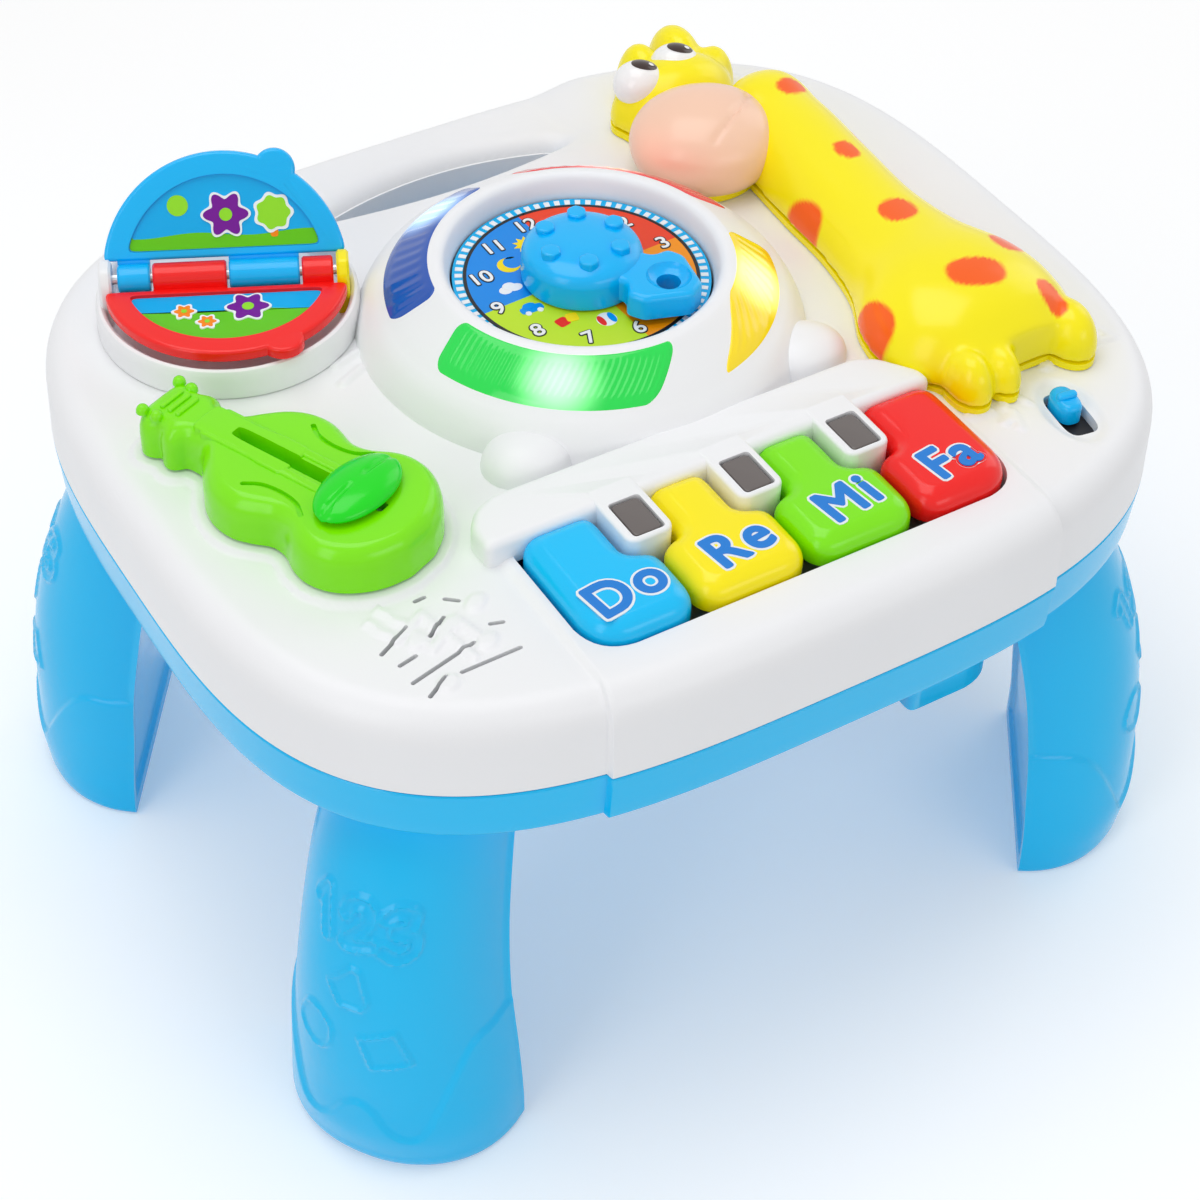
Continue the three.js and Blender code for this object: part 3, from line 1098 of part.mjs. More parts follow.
// Key board and contact mat
const KEY_BOARD_HALF = PIANO_HALF + 8;
const MAT_TOP = KEY_UNDER - KEY_LUG - KEY_PRESS - RUN;
const MAT_THICK = 1.4;
const DOME_RISE = 1.8;
const keyBoardZ = MAT_TOP - DOME_RISE - MAT_THICK - FIT - BOARD_THICK;
const KEY_POSTS = [[-1, KEY_STEP], [1, KEY_STEP], [-1, KEY_FRONT - 4], [1, KEY_FRONT - 4]]
  .map(([side, y]) => [side * (KEY_BOARD_HALF - 4), -y]);
addPiece('key_board', box(-KEY_BOARD_HALF, KEY_BOARD_HALF, -KEY_FRONT, -KEY_STEP + 8, keyBoardZ,
  keyBoardZ + BOARD_THICK), 'board');
const matLow = keyBoardZ + BOARD_THICK + FIT;
const matBody = box(-PIANO_HALF + 4, PIANO_HALF - 4, -KEY_FRONT + 4, -KEY_STEP - 2, matLow, matLow + MAT_THICK);
const matDomes = keyNames.map((colour, i) => post(keyCentre(i), -KEY_PLUNGER_Y, 4.5, matLow,
  matLow + MAT_THICK + DOME_RISE, 14));
addPiece('key_contact_mat', union([matBody, ...matDomes]), 'grey');

// Top shell

function keyOpening() {
  return union(keyNames.map((colour, i) => prism(keyShape(i, KEY_CLEAR), TOP - WALL * 3, TOP * 2)));
}

function grilleSlots() {
  return GRILLE.map(([x, y, length, turn]) => turnAbout(
    roundSlot(length, GRILLE_SLOT, TOP - WALL * 2, TOP + OVERRUN), turn,
    SPEAKER_AT[0] + x, SPEAKER_AT[1] + y));
}

function topShell() {
  const shell = roundedSide(0, SEAM, TOP, SIDE_DRAFT, EDGE_ROUND);
  const block = roundedSide(-PIANO_PROUD, SEAM, TOP + PIANO_RISE, SIDE_DRAFT, EDGE_ROUND)
    .intersect(pianoRegion(0, SEAM, TOP * 2));
  const hollow = roundedSide(WALL, SEAM - OVERRUN, TOP - WALL, SIDE_DRAFT, EDGE_ROUND - WALL);
  const blockHollow = roundedSide(WALL - PIANO_PROUD, SEAM - OVERRUN, TOP + PIANO_RISE - WALL, SIDE_DRAFT,
    EDGE_ROUND - WALL).intersect(pianoRegion(WALL, SEAM - OVERRUN, TOP * 2));
  const handleTube = plate(handleOutline(WALL), SEAM, TOP - OVERRUN);
  const keyLedge = roundedPlate(new THREE.Shape(LEDGE.map(([x, y]) => new THREE.Vector2(x, y))), TOP - OVERRUN,
    LEDGE_TOP, LEDGE_EDGE);
  const ledge = onGuitar(plate(guitarOutline(GUITAR_LEDGE), TOP - WALL, GUITAR_BASE));
  const bosses = SCREW_AT.map(([x, y]) => post(x, y, BOSS, TOWER_TOP + FIT, TOP - OVERRUN, 16));
  const pilots = SCREW_AT.map(([x, y]) => post(x, y, SCREW_PILOT, TOWER_TOP - OVERRUN, TOWER_TOP + LEG_PEG + 1, 12));
  const keyPosts = KEY_POSTS.map(([x, y]) => post(x, y, 3, keyBoardZ + BOARD_THICK + FIT, TOP - OVERRUN, 12));
  const rodEnds = [-1, 1].map((side) => box(side * rodHalf - 2.5, side * rodHalf + 2.5, -KEY_PIVOT_Y - 4,
    -KEY_PIVOT_Y + 4, KEY_PIVOT_Z - 4, TOP));
  const rodBore = post(0, 0, PIVOT_ROD + FIT, -rodHalf - FIT, rodHalf + FIT, 12).rotate([0, 90, 0])
    .translate([0, -KEY_PIVOT_Y, KEY_PIVOT_Z]);
  const windows = windowPlaces();
  const solid = union([cutAll(union([shell, block]), [hollow, blockHollow]), handleTube, ledge, keyLedge,
    ...bosses, ...keyPosts, ...rodEnds]);
  const switchSlot = onSwitch(roundSlot(SWITCH_SLOT, SWITCH_WIDE, TOP - WALL * 2, TOP + OVERRUN));
  const holes = [
    keyOpening(), ...grilleSlots(), switchSlot, ...pilots, rodBore,
    plate(handleOutline(0), SEAM - OVERRUN, TOP + OVERRUN),
    post(0, CLOCK_Y, CLOCK_SPIGOT + FIT, TOP - WALL * 3, TOP + PIANO_RISE + OVERRUN, CLOCK_SEGMENTS),
    post(0, CLOCK_Y, CLOCK_BASE + FIT, TOP, TOP * 2, CLOCK_SEGMENTS),
    ...CLOCK_FEET.map((place) => clockFoot(place, FIT)),
    giraffeSeat(),
  ];
  const cut = cutAll(solid, holes);
  const blocks = windows.map((x) => windowBlock(x).subtract(windowPocket(x, 0, WINDOW_BLOCK_TOP - WALL - FIT * 2, TOP * 2)));
  return union([cut, ...blocks]);
}

addPiece('top_shell', topShell(), 'white');

export default root;
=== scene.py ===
# %% [markdown]
# # A musical activity table, dressed for the camera
#
# The real object is a baby's play table: a white top and a blue base clipped together, four
# hollow legs pushed on from below, and a set of toys that turn, press, slide or flip. The CAD
# model already carries every piece, its joints and its mass. This lesson gives each visible
# piece its moulded shape and finish, and leaves the hidden pieces as the CAD made them.
#
# Everything is drawn in millimetres about the middle of the case, as a toy maker would draw it,
# and is turned into metres only when a mesh is made.

import json
import math

import bmesh
import bpy
import numpy as np
from mathutils import Matrix, Vector

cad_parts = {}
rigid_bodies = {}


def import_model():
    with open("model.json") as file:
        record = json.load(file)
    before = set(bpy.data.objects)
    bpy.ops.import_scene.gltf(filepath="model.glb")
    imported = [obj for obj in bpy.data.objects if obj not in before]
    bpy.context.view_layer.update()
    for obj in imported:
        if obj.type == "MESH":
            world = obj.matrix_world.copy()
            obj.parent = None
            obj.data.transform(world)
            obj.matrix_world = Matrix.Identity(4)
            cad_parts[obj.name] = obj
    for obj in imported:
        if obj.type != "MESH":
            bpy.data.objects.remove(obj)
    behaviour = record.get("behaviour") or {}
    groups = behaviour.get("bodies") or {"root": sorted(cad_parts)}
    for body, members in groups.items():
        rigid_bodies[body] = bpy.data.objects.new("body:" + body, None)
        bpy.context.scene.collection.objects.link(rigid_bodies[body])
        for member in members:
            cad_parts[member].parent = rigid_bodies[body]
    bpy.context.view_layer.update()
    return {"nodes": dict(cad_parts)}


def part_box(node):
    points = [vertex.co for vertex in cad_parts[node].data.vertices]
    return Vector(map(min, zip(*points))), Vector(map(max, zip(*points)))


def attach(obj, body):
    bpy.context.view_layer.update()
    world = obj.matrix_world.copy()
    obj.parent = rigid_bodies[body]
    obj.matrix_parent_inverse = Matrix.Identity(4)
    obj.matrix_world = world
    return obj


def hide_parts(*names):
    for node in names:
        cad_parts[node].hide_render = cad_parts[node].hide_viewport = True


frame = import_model()
print("nodes in the frame:", len(frame["nodes"]))

# %% [markdown]
# ## Millimetres, and where the case stands
#
# The piano block stands a little proud of the front, so the middle of the whole outline, which is
# the frame's origin, lies slightly in front of the middle of the case. One shift carries every
# drawing into the frame. Doing it in one helper keeps that number out of all the later cells.

# %% From drawing to frame
MILLIMETRE = 0.001
PIANO_PROUD = 2.2
CASE_SHIFT = np.array([0, PIANO_PROUD / 2, 0])


def to_frame(points):
    return (np.asarray(points, float).reshape(-1, 3) + CASE_SHIFT) * MILLIMETRE


def node_box(node):
    low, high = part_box(node)
    return (np.array(low) / MILLIMETRE - CASE_SHIFT, np.array(high) / MILLIMETRE - CASE_SHIFT)


case_low, case_high = node_box("top_shell")
HALF_WIDTH = (case_high[0] - case_low[0]) / 2
print("the case is", round(2 * HALF_WIDTH, 1), "mm wide")

# %% [markdown]
# ## Camera
#
# The picture looks down on the table from its front left corner, about 44 degrees above the
# horizon. The table's own edges gave the camera: the seam, the legs and the keys line up with the
# picture from this one place only. A long lens keeps the verticals nearly parallel.

# %% The photographer's place
CAMERA_AT = [-314.25, -501.03, 647.18]
CAMERA_TURN = -32.3665
CAMERA_HEIGHT_ANGLE = 44.3962
CAMERA_ROLL = 1.9038
LENS = 78
SENSOR = 36
SIGHT_LIMIT = 20


def camera_axes(turn, rise, roll):
    a, e, r = (math.radians(value) for value in (turn, rise, roll))
    back = Vector((math.sin(a) * math.cos(e), -math.cos(a) * math.cos(e), math.sin(e)))
    level = Vector((math.cos(a), math.sin(a), 0))
    upright = back.cross(level)
    right = level * math.cos(r) + upright * math.sin(r)
    up = upright * math.cos(r) - level * math.sin(r)
    return right, up, back


camera_data = bpy.data.cameras.new("camera")
camera_data.lens = LENS
camera_data.sensor_width = SENSOR
camera_data.clip_end = SIGHT_LIMIT
camera = bpy.data.objects.new("camera", camera_data)
bpy.context.scene.collection.objects.link(camera)
axes = Matrix(camera_axes(CAMERA_TURN, CAMERA_HEIGHT_ANGLE, CAMERA_ROLL)).transposed()
camera.matrix_world = Matrix.Translation(Vector(to_frame(CAMERA_AT)[0])) @ axes.to_4x4()
bpy.context.scene.camera = camera
bpy.context.scene.view_settings.view_transform = "Standard"
print("camera at", [round(value, 3) for value in camera.location])

# %% [markdown]
# ## Light, floor and background
#
# A toy like this is photographed in a white tent: broad soft boxes above and beside it, and paper
# below. The world gives an even pale light and shows white to the camera, so the paper runs out of
# sight without an edge. Three soft boxes give the gloss its long bright shapes. The levels are set
# so that a plain colour comes out about as it is written.

# %% White tent
WORLD_LEVEL = 0.5
FLOOR_SIZE = 6000
SOFT_BOXES = [
    ("soft_box_top", [-150, 150, 1300], [0, 0, 150], [900, 900], 5.6),
    ("soft_box_left", [-1150, -450, 750], [0, 0, 120], [500, 1000], 3.0),
    ("soft_box_front", [250, -1350, 650], [0, 0, 120], [900, 420], 2.2),
    ("soft_box_right", [1250, 250, 800], [0, 0, 150], [700, 900], 2.0),
]


def seen_directly(tree):
    path = tree.nodes.new("ShaderNodeLightPath")
    seen = path.outputs["Is Camera Ray"]
    for kind in ("Is Glossy Ray", "Is Transmission Ray"):
        either = tree.nodes.new("ShaderNodeMath")
        either.operation = "MAXIMUM"
        tree.links.new(seen, either.inputs[0])
        tree.links.new(path.outputs[kind], either.inputs[1])
        seen = either.outputs[0]
    return seen


def build_world():
    world = bpy.data.worlds.new("white_tent")
    world.use_nodes = True
    tree = world.node_tree
    tree.nodes.clear()
    even = tree.nodes.new("ShaderNodeBackground")
    even.inputs["Strength"].default_value = WORLD_LEVEL
    even.inputs["Color"].default_value = (1, 1, 1, 1)
    white = tree.nodes.new("ShaderNodeBackground")
    white.inputs["Color"].default_value = (1, 1, 1, 1)
    white.inputs["Strength"].default_value = 1
    mix = tree.nodes.new("ShaderNodeMixShader")
    out = tree.nodes.new("ShaderNodeOutputWorld")
    tree.links.new(seen_directly(tree), mix.inputs["Fac"])
    tree.links.new(even.outputs[0], mix.inputs[1])
    tree.links.new(white.outputs[0], mix.inputs[2])
    tree.links.new(mix.outputs[0], out.inputs["Surface"])
    bpy.context.scene.world = world


def soft_box(name, at, aim, size, power):
    data = bpy.data.lights.new(name, "AREA")
    data.shape = "RECTANGLE"
    data.size = size[0] * MILLIMETRE
    data.size_y = size[1] * MILLIMETRE
    data.energy = power
    lamp = bpy.data.objects.new(name, data)
    bpy.context.scene.collection.objects.link(lamp)
    spot, target = (Vector(point) * MILLIMETRE for point in (at, aim))
    lamp.location = spot
    lamp.rotation_euler = (target - spot).to_track_quat("-Z", "Y").to_euler()


build_world()
for box in SOFT_BOXES:
    soft_box(*box)
print("soft boxes:", len(SOFT_BOXES))

# %% [markdown]
# ## Finishes
#
# Nearly everything here is injection moulded plastic, so one effect is shared by all of it: the
# skin that the mould leaves. It is a very shallow unevenness that bends reflections, a slight
# drift in colour and a gloss that varies a little where hands have been. It is built once as a
# node group with named inputs, and every material places it with its own values. The shader
# itself stays in the material, so that plain numbers such as the coat sit on its own sockets.

# %% The moulded skin, a shared effect
def add_group_socket(group, name, kind, value=None, way="INPUT"):
    socket = group.interface.new_socket(name=name, in_out=way, socket_type=kind)
    if value is not None:
        socket.default_value = value
    return socket


def noise_at(tree, coordinates, scale_socket, detail):
    noise = tree.nodes.new("ShaderNodeTexNoise")
    noise.inputs["Detail"].default_value = detail
    tree.links.new(coordinates, noise.inputs["Vector"])
    tree.links.new(scale_socket, noise.inputs["Scale"])
    return noise.outputs["Fac"]


def spread_about(tree, value_socket, middle_socket, spread_socket):
    centred = tree.nodes.new("ShaderNodeMath")
    centred.operation = "SUBTRACT"
    centred.inputs[1].default_value = 0.5
    tree.links.new(value_socket, centred.inputs[0])
    scaled = tree.nodes.new("ShaderNodeMath")
    scaled.operation = "MULTIPLY_ADD"
    tree.links.new(centred.outputs[0], scaled.inputs[0])
    tree.links.new(spread_socket, scaled.inputs[1])
    tree.links.new(middle_socket, scaled.inputs[2])
    return scaled.outputs[0]


def build_moulded_skin():
    group = bpy.data.node_groups.new("moulded_skin", "ShaderNodeTree")
    add_group_socket(group, "Colour", "NodeSocketColor", (0.8, 0.8, 0.8, 1))
    add_group_socket(group, "Colour drift", "NodeSocketFloat", 0.03)
    add_group_socket(group, "Drift scale", "NodeSocketFloat", 28.0)
    add_group_socket(group, "Gloss", "NodeSocketFloat", 0.25)
    add_group_socket(group, "Gloss spread", "NodeSocketFloat", 0.1)
    add_group_socket(group, "Handling scale", "NodeSocketFloat", 90.0)
    add_group_socket(group, "Peel scale", "NodeSocketFloat", 420.0)
    add_group_socket(group, "Peel depth", "NodeSocketFloat", 0.00002)
    add_group_socket(group, "Colour", "NodeSocketColor", way="OUTPUT")
    add_group_socket(group, "Roughness", "NodeSocketFloat", way="OUTPUT")
    add_group_socket(group, "Normal", "NodeSocketVector", way="OUTPUT")
    tree = group
    start = tree.nodes.new("NodeGroupInput")
    end = tree.nodes.new("NodeGroupOutput")
    surface = tree.nodes.new("ShaderNodeTexCoord").outputs["Object"]
    drift = noise_at(tree, surface, start.outputs["Drift scale"], 2)
    shade = tree.nodes.new("ShaderNodeHueSaturation")
    one = tree.nodes.new("ShaderNodeValue")
    one.outputs[0].default_value = 1
    value = spread_about(tree, drift, one.outputs[0], start.outputs["Colour drift"])
    tree.links.new(value, shade.inputs["Value"])
    tree.links.new(start.outputs["Colour"], shade.inputs["Color"])
    tree.links.new(shade.outputs["Color"], end.inputs["Colour"])
    hands = noise_at(tree, surface, start.outputs["Handling scale"], 4)
    gloss = spread_about(tree, hands, start.outputs["Gloss"], start.outputs["Gloss spread"])
    tree.links.new(gloss, end.inputs["Roughness"])
    bump = tree.nodes.new("ShaderNodeBump")
    tree.links.new(noise_at(tree, surface, start.outputs["Peel scale"], 2), bump.inputs["Height"])
    tree.links.new(start.outputs["Peel depth"], bump.inputs["Distance"])
    tree.links.new(bump.outputs["Normal"], end.inputs["Normal"])
    return group


moulded_skin = build_moulded_skin()
print("shared effect:", moulded_skin.name)

# %% [markdown]
# ## One helper for every moulded finish
#
# A finish is a Principled shader fed by the skin group. Gloss toys carry a thin clear coat look,
# rubber and boards do not. Clear lenses let light through. Giving the helper a table of named
# finishes keeps each colour in one readable line.

# %% The finishes
COAT_ROUGHNESS = 0.06


def skin_nodes(tree, colour, gloss, spread, peel):
    skin = tree.nodes.new("ShaderNodeGroup")
    skin.node_tree = moulded_skin
    skin.inputs["Colour"].default_value = (*colour, 1)
    skin.inputs["Gloss"].default_value = gloss
    skin.inputs["Gloss spread"].default_value = spread
    skin.inputs["Peel depth"].default_value = peel
    return skin


def finish(name, colour, gloss=0.3, spread=0.12, peel=0.00002, coat=0.0, metal=0.0, clear=0.0, glow=None,
           shine=0.32):
    material = bpy.data.materials.new(name)
    material.use_nodes = True
    tree = material.node_tree
    shader = tree.nodes["Principled BSDF"]
    skin = skin_nodes(tree, colour, gloss, spread, peel)
    tree.links.new(skin.outputs["Colour"], shader.inputs["Base Color"])
    tree.links.new(skin.outputs["Roughness"], shader.inputs["Roughness"])
    tree.links.new(skin.outputs["Normal"], shader.inputs["Normal"])
    shader.inputs["Metallic"].default_value = metal
    shader.inputs["Specular IOR Level"].default_value = shine
    shader.inputs["Coat Weight"].default_value = coat
    shader.inputs["Coat Roughness"].default_value = COAT_ROUGHNESS
    shader.inputs["Transmission Weight"].default_value = clear
    if glow:
        shader.inputs["Emission Color"].default_value = (*glow[0], 1)
        shader.inputs["Emission Strength"].default_value = glow[1]
    return material


white_shell = finish("white_shell_plastic", (0.88, 0.885, 0.905), gloss=0.36, peel=0.00003)
sky_blue = finish("sky_blue_plastic", (0.0, 0.54, 0.97), gloss=0.2, coat=0.12)
azure = finish("azure_plastic", (0.0, 0.47, 0.95), gloss=0.2, coat=0.12)
toy_red = finish("toy_red_plastic", (0.93, 0.01, 0.008), gloss=0.2, coat=0.12)
toy_yellow = finish("toy_yellow_plastic", (1.0, 0.84, 0.0), gloss=0.2, coat=0.12)
giraffe_yellow = finish("giraffe_yellow_plastic", (0.99, 0.86, 0.0), gloss=0.24, coat=0.12)
lime = finish("lime_plastic", (0.22, 0.82, 0.0), gloss=0.2, coat=0.12)
leaf_green = finish("leaf_green_plastic", (0.003, 0.72, 0.006), gloss=0.2, coat=0.12)
peach = finish("peach_plastic", (0.95, 0.62, 0.46), gloss=0.24, coat=0.12)
lens_blue = finish("clear_blue_lens", (0.01, 0.12, 0.62), gloss=0.08, spread=0.04, coat=0.3, clear=0.55)
lens_green = finish("clear_green_lens", (0.0, 0.72, 0.09), gloss=0.08, spread=0.04, coat=0.3, clear=0.55)
lens_yellow = finish("clear_yellow_lens", (1.0, 0.76, 0.01), gloss=0.08, spread=0.04, coat=0.3, clear=0.55)
lens_red = finish("clear_red_lens", (0.88, 0.0, 0.02), gloss=0.08, spread=0.04, coat=0.3, clear=0.55)
smoke = finish("smoked_window", (0.13, 0.11, 0.105), gloss=0.12, coat=0.5)
lamp_body = finish("lamp_body", (0.95, 0.95, 0.9), gloss=0.2, glow=((1.0, 1.0, 0.9), 6.0))
board_green = finish("circuit_board", (0.02, 0.14, 0.04), gloss=0.4)
steel = finish("plain_steel", (0.6, 0.61, 0.63), gloss=0.28, spread=0.15, metal=1.0, shine=0.5)
dark_plastic = finish("dark_plastic", (0.02, 0.02, 0.024), gloss=0.45)
grey_rubber = finish("grey_rubber", (0.35, 0.37, 0.4), gloss=0.7)
cell_jacket = finish("cell_jacket", (0.03, 0.09, 0.3), gloss=0.3, metal=0.6)
print("finishes:", len(bpy.data.materials))

# %% [markdown]
# ## What each CAD piece is made of
#
# Pieces that keep their CAD mesh, mostly those inside, get their finish here by putting a material
# into the mesh's slot. A few of the same finishes are used again on the drawn pieces.

# %% Finishes for the CAD pieces
NODES_OF = [
    (white_shell, "top_shell clock_housing book_tray slider_carriage"),
    (sky_blue, "base_shell leg_front_left leg_front_right leg_back_left leg_back_right battery_door"),
    (azure, "clock_knob page_blue key_blue switch_knob clock_dial"),
    (toy_red, "page_red key_red"), (toy_yellow, "key_yellow book_end_post"),
    (giraffe_yellow, "giraffe_shell giraffe_cover"), (lime, "key_green guitar_body"),
    (leaf_green, "guitar_slider"), (peach, "giraffe_muzzle"), (lens_blue, "lens_blue"),
    (lens_green, "lens_green"), (lens_yellow, "lens_yellow"), (lens_red, "lens_red"),
    (lamp_body, "light_blue light_green light_yellow light_red"),
    (smoke, "key_window_1 key_window_2 key_window_3"), (board_green, "ring_board main_board key_board"),
    (steel, "book_axle key_pivot_rod contact_plate_front contact_plate_back battery_door_screw"),
    (steel, "case_screw_1 case_screw_2 case_screw_3 case_screw_4 knob_screw"),
    (dark_plastic, "slide_switch speaker knob_contact_wheel"), (grey_rubber, "key_contact_mat"),
    (cell_jacket, "cell_1 cell_2")]
finished = [(node, material) for material, nodes in NODES_OF for node in nodes.split()]
for node, material in finished:
    mesh = frame["nodes"][node].data
    mesh.materials.clear()
    mesh.materials.append(material)
print("CAD pieces with a finish:", len(finished), "of", len(frame["nodes"]))

# %% [markdown]
# ## The floor
#
# White paper under the table. It takes the table's soft shadow, and a little white is added for
# rays that come straight from the camera, so that lit paper reads as white.

# %% Paper floor
PAPER_WHITE = 0.93
PAPER_GLOW = 0.2
PAPER_ROUGHNESS = 0.9


def build_floor():
    half = FLOOR_SIZE / 2
    mesh = bpy.data.meshes.new("paper_floor")
    corners = ((-half, -half, 0), (half, -half, 0), (half, half, 0), (-half, half, 0))
    mesh.from_pydata([Vector(corner) * MILLIMETRE for corner in corners], [], [(0, 1, 2, 3)])
    paper = bpy.data.materials.new("white_paper")
    paper.use_nodes = True
    tree = paper.node_tree
    shader = tree.nodes["Principled BSDF"]
    shader.inputs["Base Color"].default_value = (PAPER_WHITE, PAPER_WHITE, PAPER_WHITE, 1)
    shader.inputs["Roughness"].default_value = PAPER_ROUGHNESS
    shader.inputs["Specular IOR Level"].default_value = 0
    glow = tree.nodes.new("ShaderNodeMath")
    glow.operation = "MULTIPLY"
    glow.inputs[1].default_value = PAPER_GLOW
    tree.links.new(seen_directly(tree), glow.inputs[0])
    shader.inputs["Emission Color"].default_value = (1, 1, 1, 1)
    tree.links.new(glow.outputs[0], shader.inputs["Emission Strength"])
    mesh.materials.append(paper)
    floor = bpy.data.objects.new("paper_floor", mesh)
    bpy.context.scene.collection.objects.link(floor)
    return floor


floor = build_floor()
print("floor", FLOOR_SIZE, "mm wide")

# %% [markdown]
# ## Drawing helpers
#
# Moulded toys are made of a few kinds of form: a flat outline with rounded edges, a turned form,
# and a skin stretched over a row of sections. Modifiers could make them, but rings of points
# written with NumPy are exact, quick, and give even faces for gloss. Each helper returns points
# and faces, and one more turns them into a piece that rides on its body.

# %% From points to a piece
SHARP_ANGLE = 40


def add_object(name, points, faces, *materials, sharp=SHARP_ANGLE):
    mesh = bpy.data.meshes.new(name)
    mesh.from_pydata(to_frame(points).tolist(), [], [tuple(int(i) for i in face) for face in faces])
    for material in materials:
        mesh.materials.append(material)
    mesh.shade_smooth()
    mesh.set_sharp_from_angle(angle=math.radians(sharp))
    piece = bpy.data.objects.new(name, mesh)
    bpy.context.scene.collection.objects.link(piece)
    return piece


def place(piece, body, slot=None, *nodes):
    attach(piece, body)
    if nodes:
        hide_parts(*nodes)
    return piece


def merge(*parts):
    points, faces, start = [], [], 0
    for part_points, part_faces in parts:
        part_points = np.asarray(part_points, float).reshape(-1, 3)
        points.append(part_points)
        faces += [tuple(i + start for i in face) for face in part_faces]
        start += len(part_points)
    return np.vstack(points), faces


# %% Rings, lofts and turned forms
def ring_faces(rings, count, closed=False):
    faces = []
    for r in range(rings if closed else rings - 1):
        low = r * count
        high = ((r + 1) % rings) * count
        for i in range(count):
            j = (i + 1) % count
            faces.append((low + i, low + j, high + j, high + i))
    return faces


def loft(rings):
    rings = [np.asarray(ring, float) for ring in rings]
    count = len(rings[0])
    faces = ring_faces(len(rings), count)
    faces.append(tuple(range(count))[::-1])
    faces.append(tuple((len(rings) - 1) * count + i for i in range(count)))
    return np.vstack(rings), faces


def turned(profile, centre=(0, 0), steps=96, closed=False):
    angles = np.linspace(0, 2 * np.pi, steps, endpoint=False)
    rings = [np.column_stack([centre[0] + r * np.cos(angles), centre[1] + r * np.sin(angles),
                              np.full(steps, z)]) for r, z in profile]
    if closed:
        return np.vstack(rings), ring_faces(len(rings), steps, closed=True)
    return loft(rings)


# %% Evenly spaced outlines
LEAST_POINTS = 8


def walked(path):
    """How far along a path each of its points lies."""
    return np.concatenate([[0], np.cumsum(np.linalg.norm(np.diff(path, axis=0), axis=1))])


def points_at(path, length, at):
    return np.column_stack([np.interp(at, length, path[:, k]) for k in range(2)])


def evenly(outline, count):
    closed = np.vstack([outline, outline[:1]])
    length = walked(closed)
    return points_at(closed, length, np.linspace(0, length[-1], count, endpoint=False))


def softened(ring):
    return (np.roll(ring, 1, 0) + 2 * ring + np.roll(ring, -1, 0)) / 4


def resample(outline, step, smooth=0):
    outline = np.asarray(outline, float)
    around = walked(np.vstack([outline, outline[:1]]))[-1]
    even = evenly(outline, max(LEAST_POINTS, int(around / step)))
    for turn in range(smooth):
        even = softened(even)
    return even


# %% Flat outlines, moved and lifted
PULL_STEP = 0.35


def outward(outline):
    edge = np.roll(outline, -1, 0) - outline
    edge /= np.linalg.norm(edge, axis=1)[:, None] + 1e-12
    normal = np.column_stack([edge[:, 1], -edge[:, 0]])
    mean = normal + np.roll(normal, 1, 0)
    return mean / (np.linalg.norm(mean, axis=1)[:, None] + 1e-12)


def offset(outline, distance):
    return outline + outward(outline) * distance


def at_height(outline, z):
    return np.column_stack([outline, np.full(len(outline), z)])


def pull_in(ring, inset):
    """Move a ring inward in small steps, and even it out after each, so that it doesn't tangle."""
    if not inset:
        return ring
    parts = max(1, int(math.ceil(inset / PULL_STEP)))
    moved = np.array(ring)
    for part in range(parts):
        moved = evenly(softened(offset(moved, -inset / parts)), len(ring))
    return moved


# %% Plates, ovals and rounded corners
EDGE_STEPS = 6
CORNER_POINTS = 9
CORNER_PULL = 0.82
CORNER_EASE = 0.09


def rounded_edge(radius):
    angles = np.linspace(0, np.pi / 2, EDGE_STEPS + 1)
    return [(radius * (1 - np.cos(a)), -radius * (1 - np.sin(a))) for a in angles]


def moulded_plate(outline, low, top, radius, foot=0.4):
    rings = [at_height(offset(outline, -foot), low), at_height(outline, low + foot)]
    rings += [at_height(pull_in(outline, inset), top + drop) for inset, drop in rounded_edge(radius)]
    return loft(rings)


def powered(wave, power):
    """A sine or cosine for a squarer oval: 2 is a true ellipse, more is nearer to a box."""
    return np.sign(wave) * np.abs(wave) ** (2 / power)


def ellipse(centre, half_x, half_y, turn=0, steps=40, power=2.0):
    t = np.linspace(0, 2 * np.pi, steps, endpoint=False)
    x = half_x * powered(np.cos(t), power)
    y = half_y * powered(np.sin(t), power)
    c, s = math.cos(math.radians(turn)), math.sin(math.radians(turn))
    return np.column_stack([centre[0] + c * x - s * y, centre[1] + s * x + c * y])


def rounded_corners(corners, radii, step=0.8):
    corners = np.asarray(corners, float)
    radii = np.broadcast_to(radii, len(corners))
    ring = []
    for i, corner in enumerate(corners):
        before = corners[i - 1] - corner
        after = corners[(i + 1) % len(corners)] - corner
        before, after = before / np.linalg.norm(before), after / np.linalg.norm(after)
        half = math.acos(float(np.clip(before @ after, -1, 1))) / 2
        reach = radii[i] / math.tan(half)
        a, b = corner + before * reach, corner + after * reach
        peak = corner * CORNER_PULL + (a + b) * CORNER_EASE
        for t in np.linspace(0, 1, CORNER_POINTS):
            ring.append((1 - t) ** 2 * a + 2 * t * (1 - t) * peak + t ** 2 * b)
    return resample(ring, step)


# %% Turns and soft curves
def turn_about(points, degrees, centre=(0, 0)):
    points = np.array(points, float)
    c, s = math.cos(math.radians(degrees)), math.sin(math.radians(degrees))
    x, y = points[:, 0].copy(), points[:, 1].copy()
    points[:, 0] = centre[0] + c * x - s * y
    points[:, 1] = centre[1] + s * x + c * y
    return points


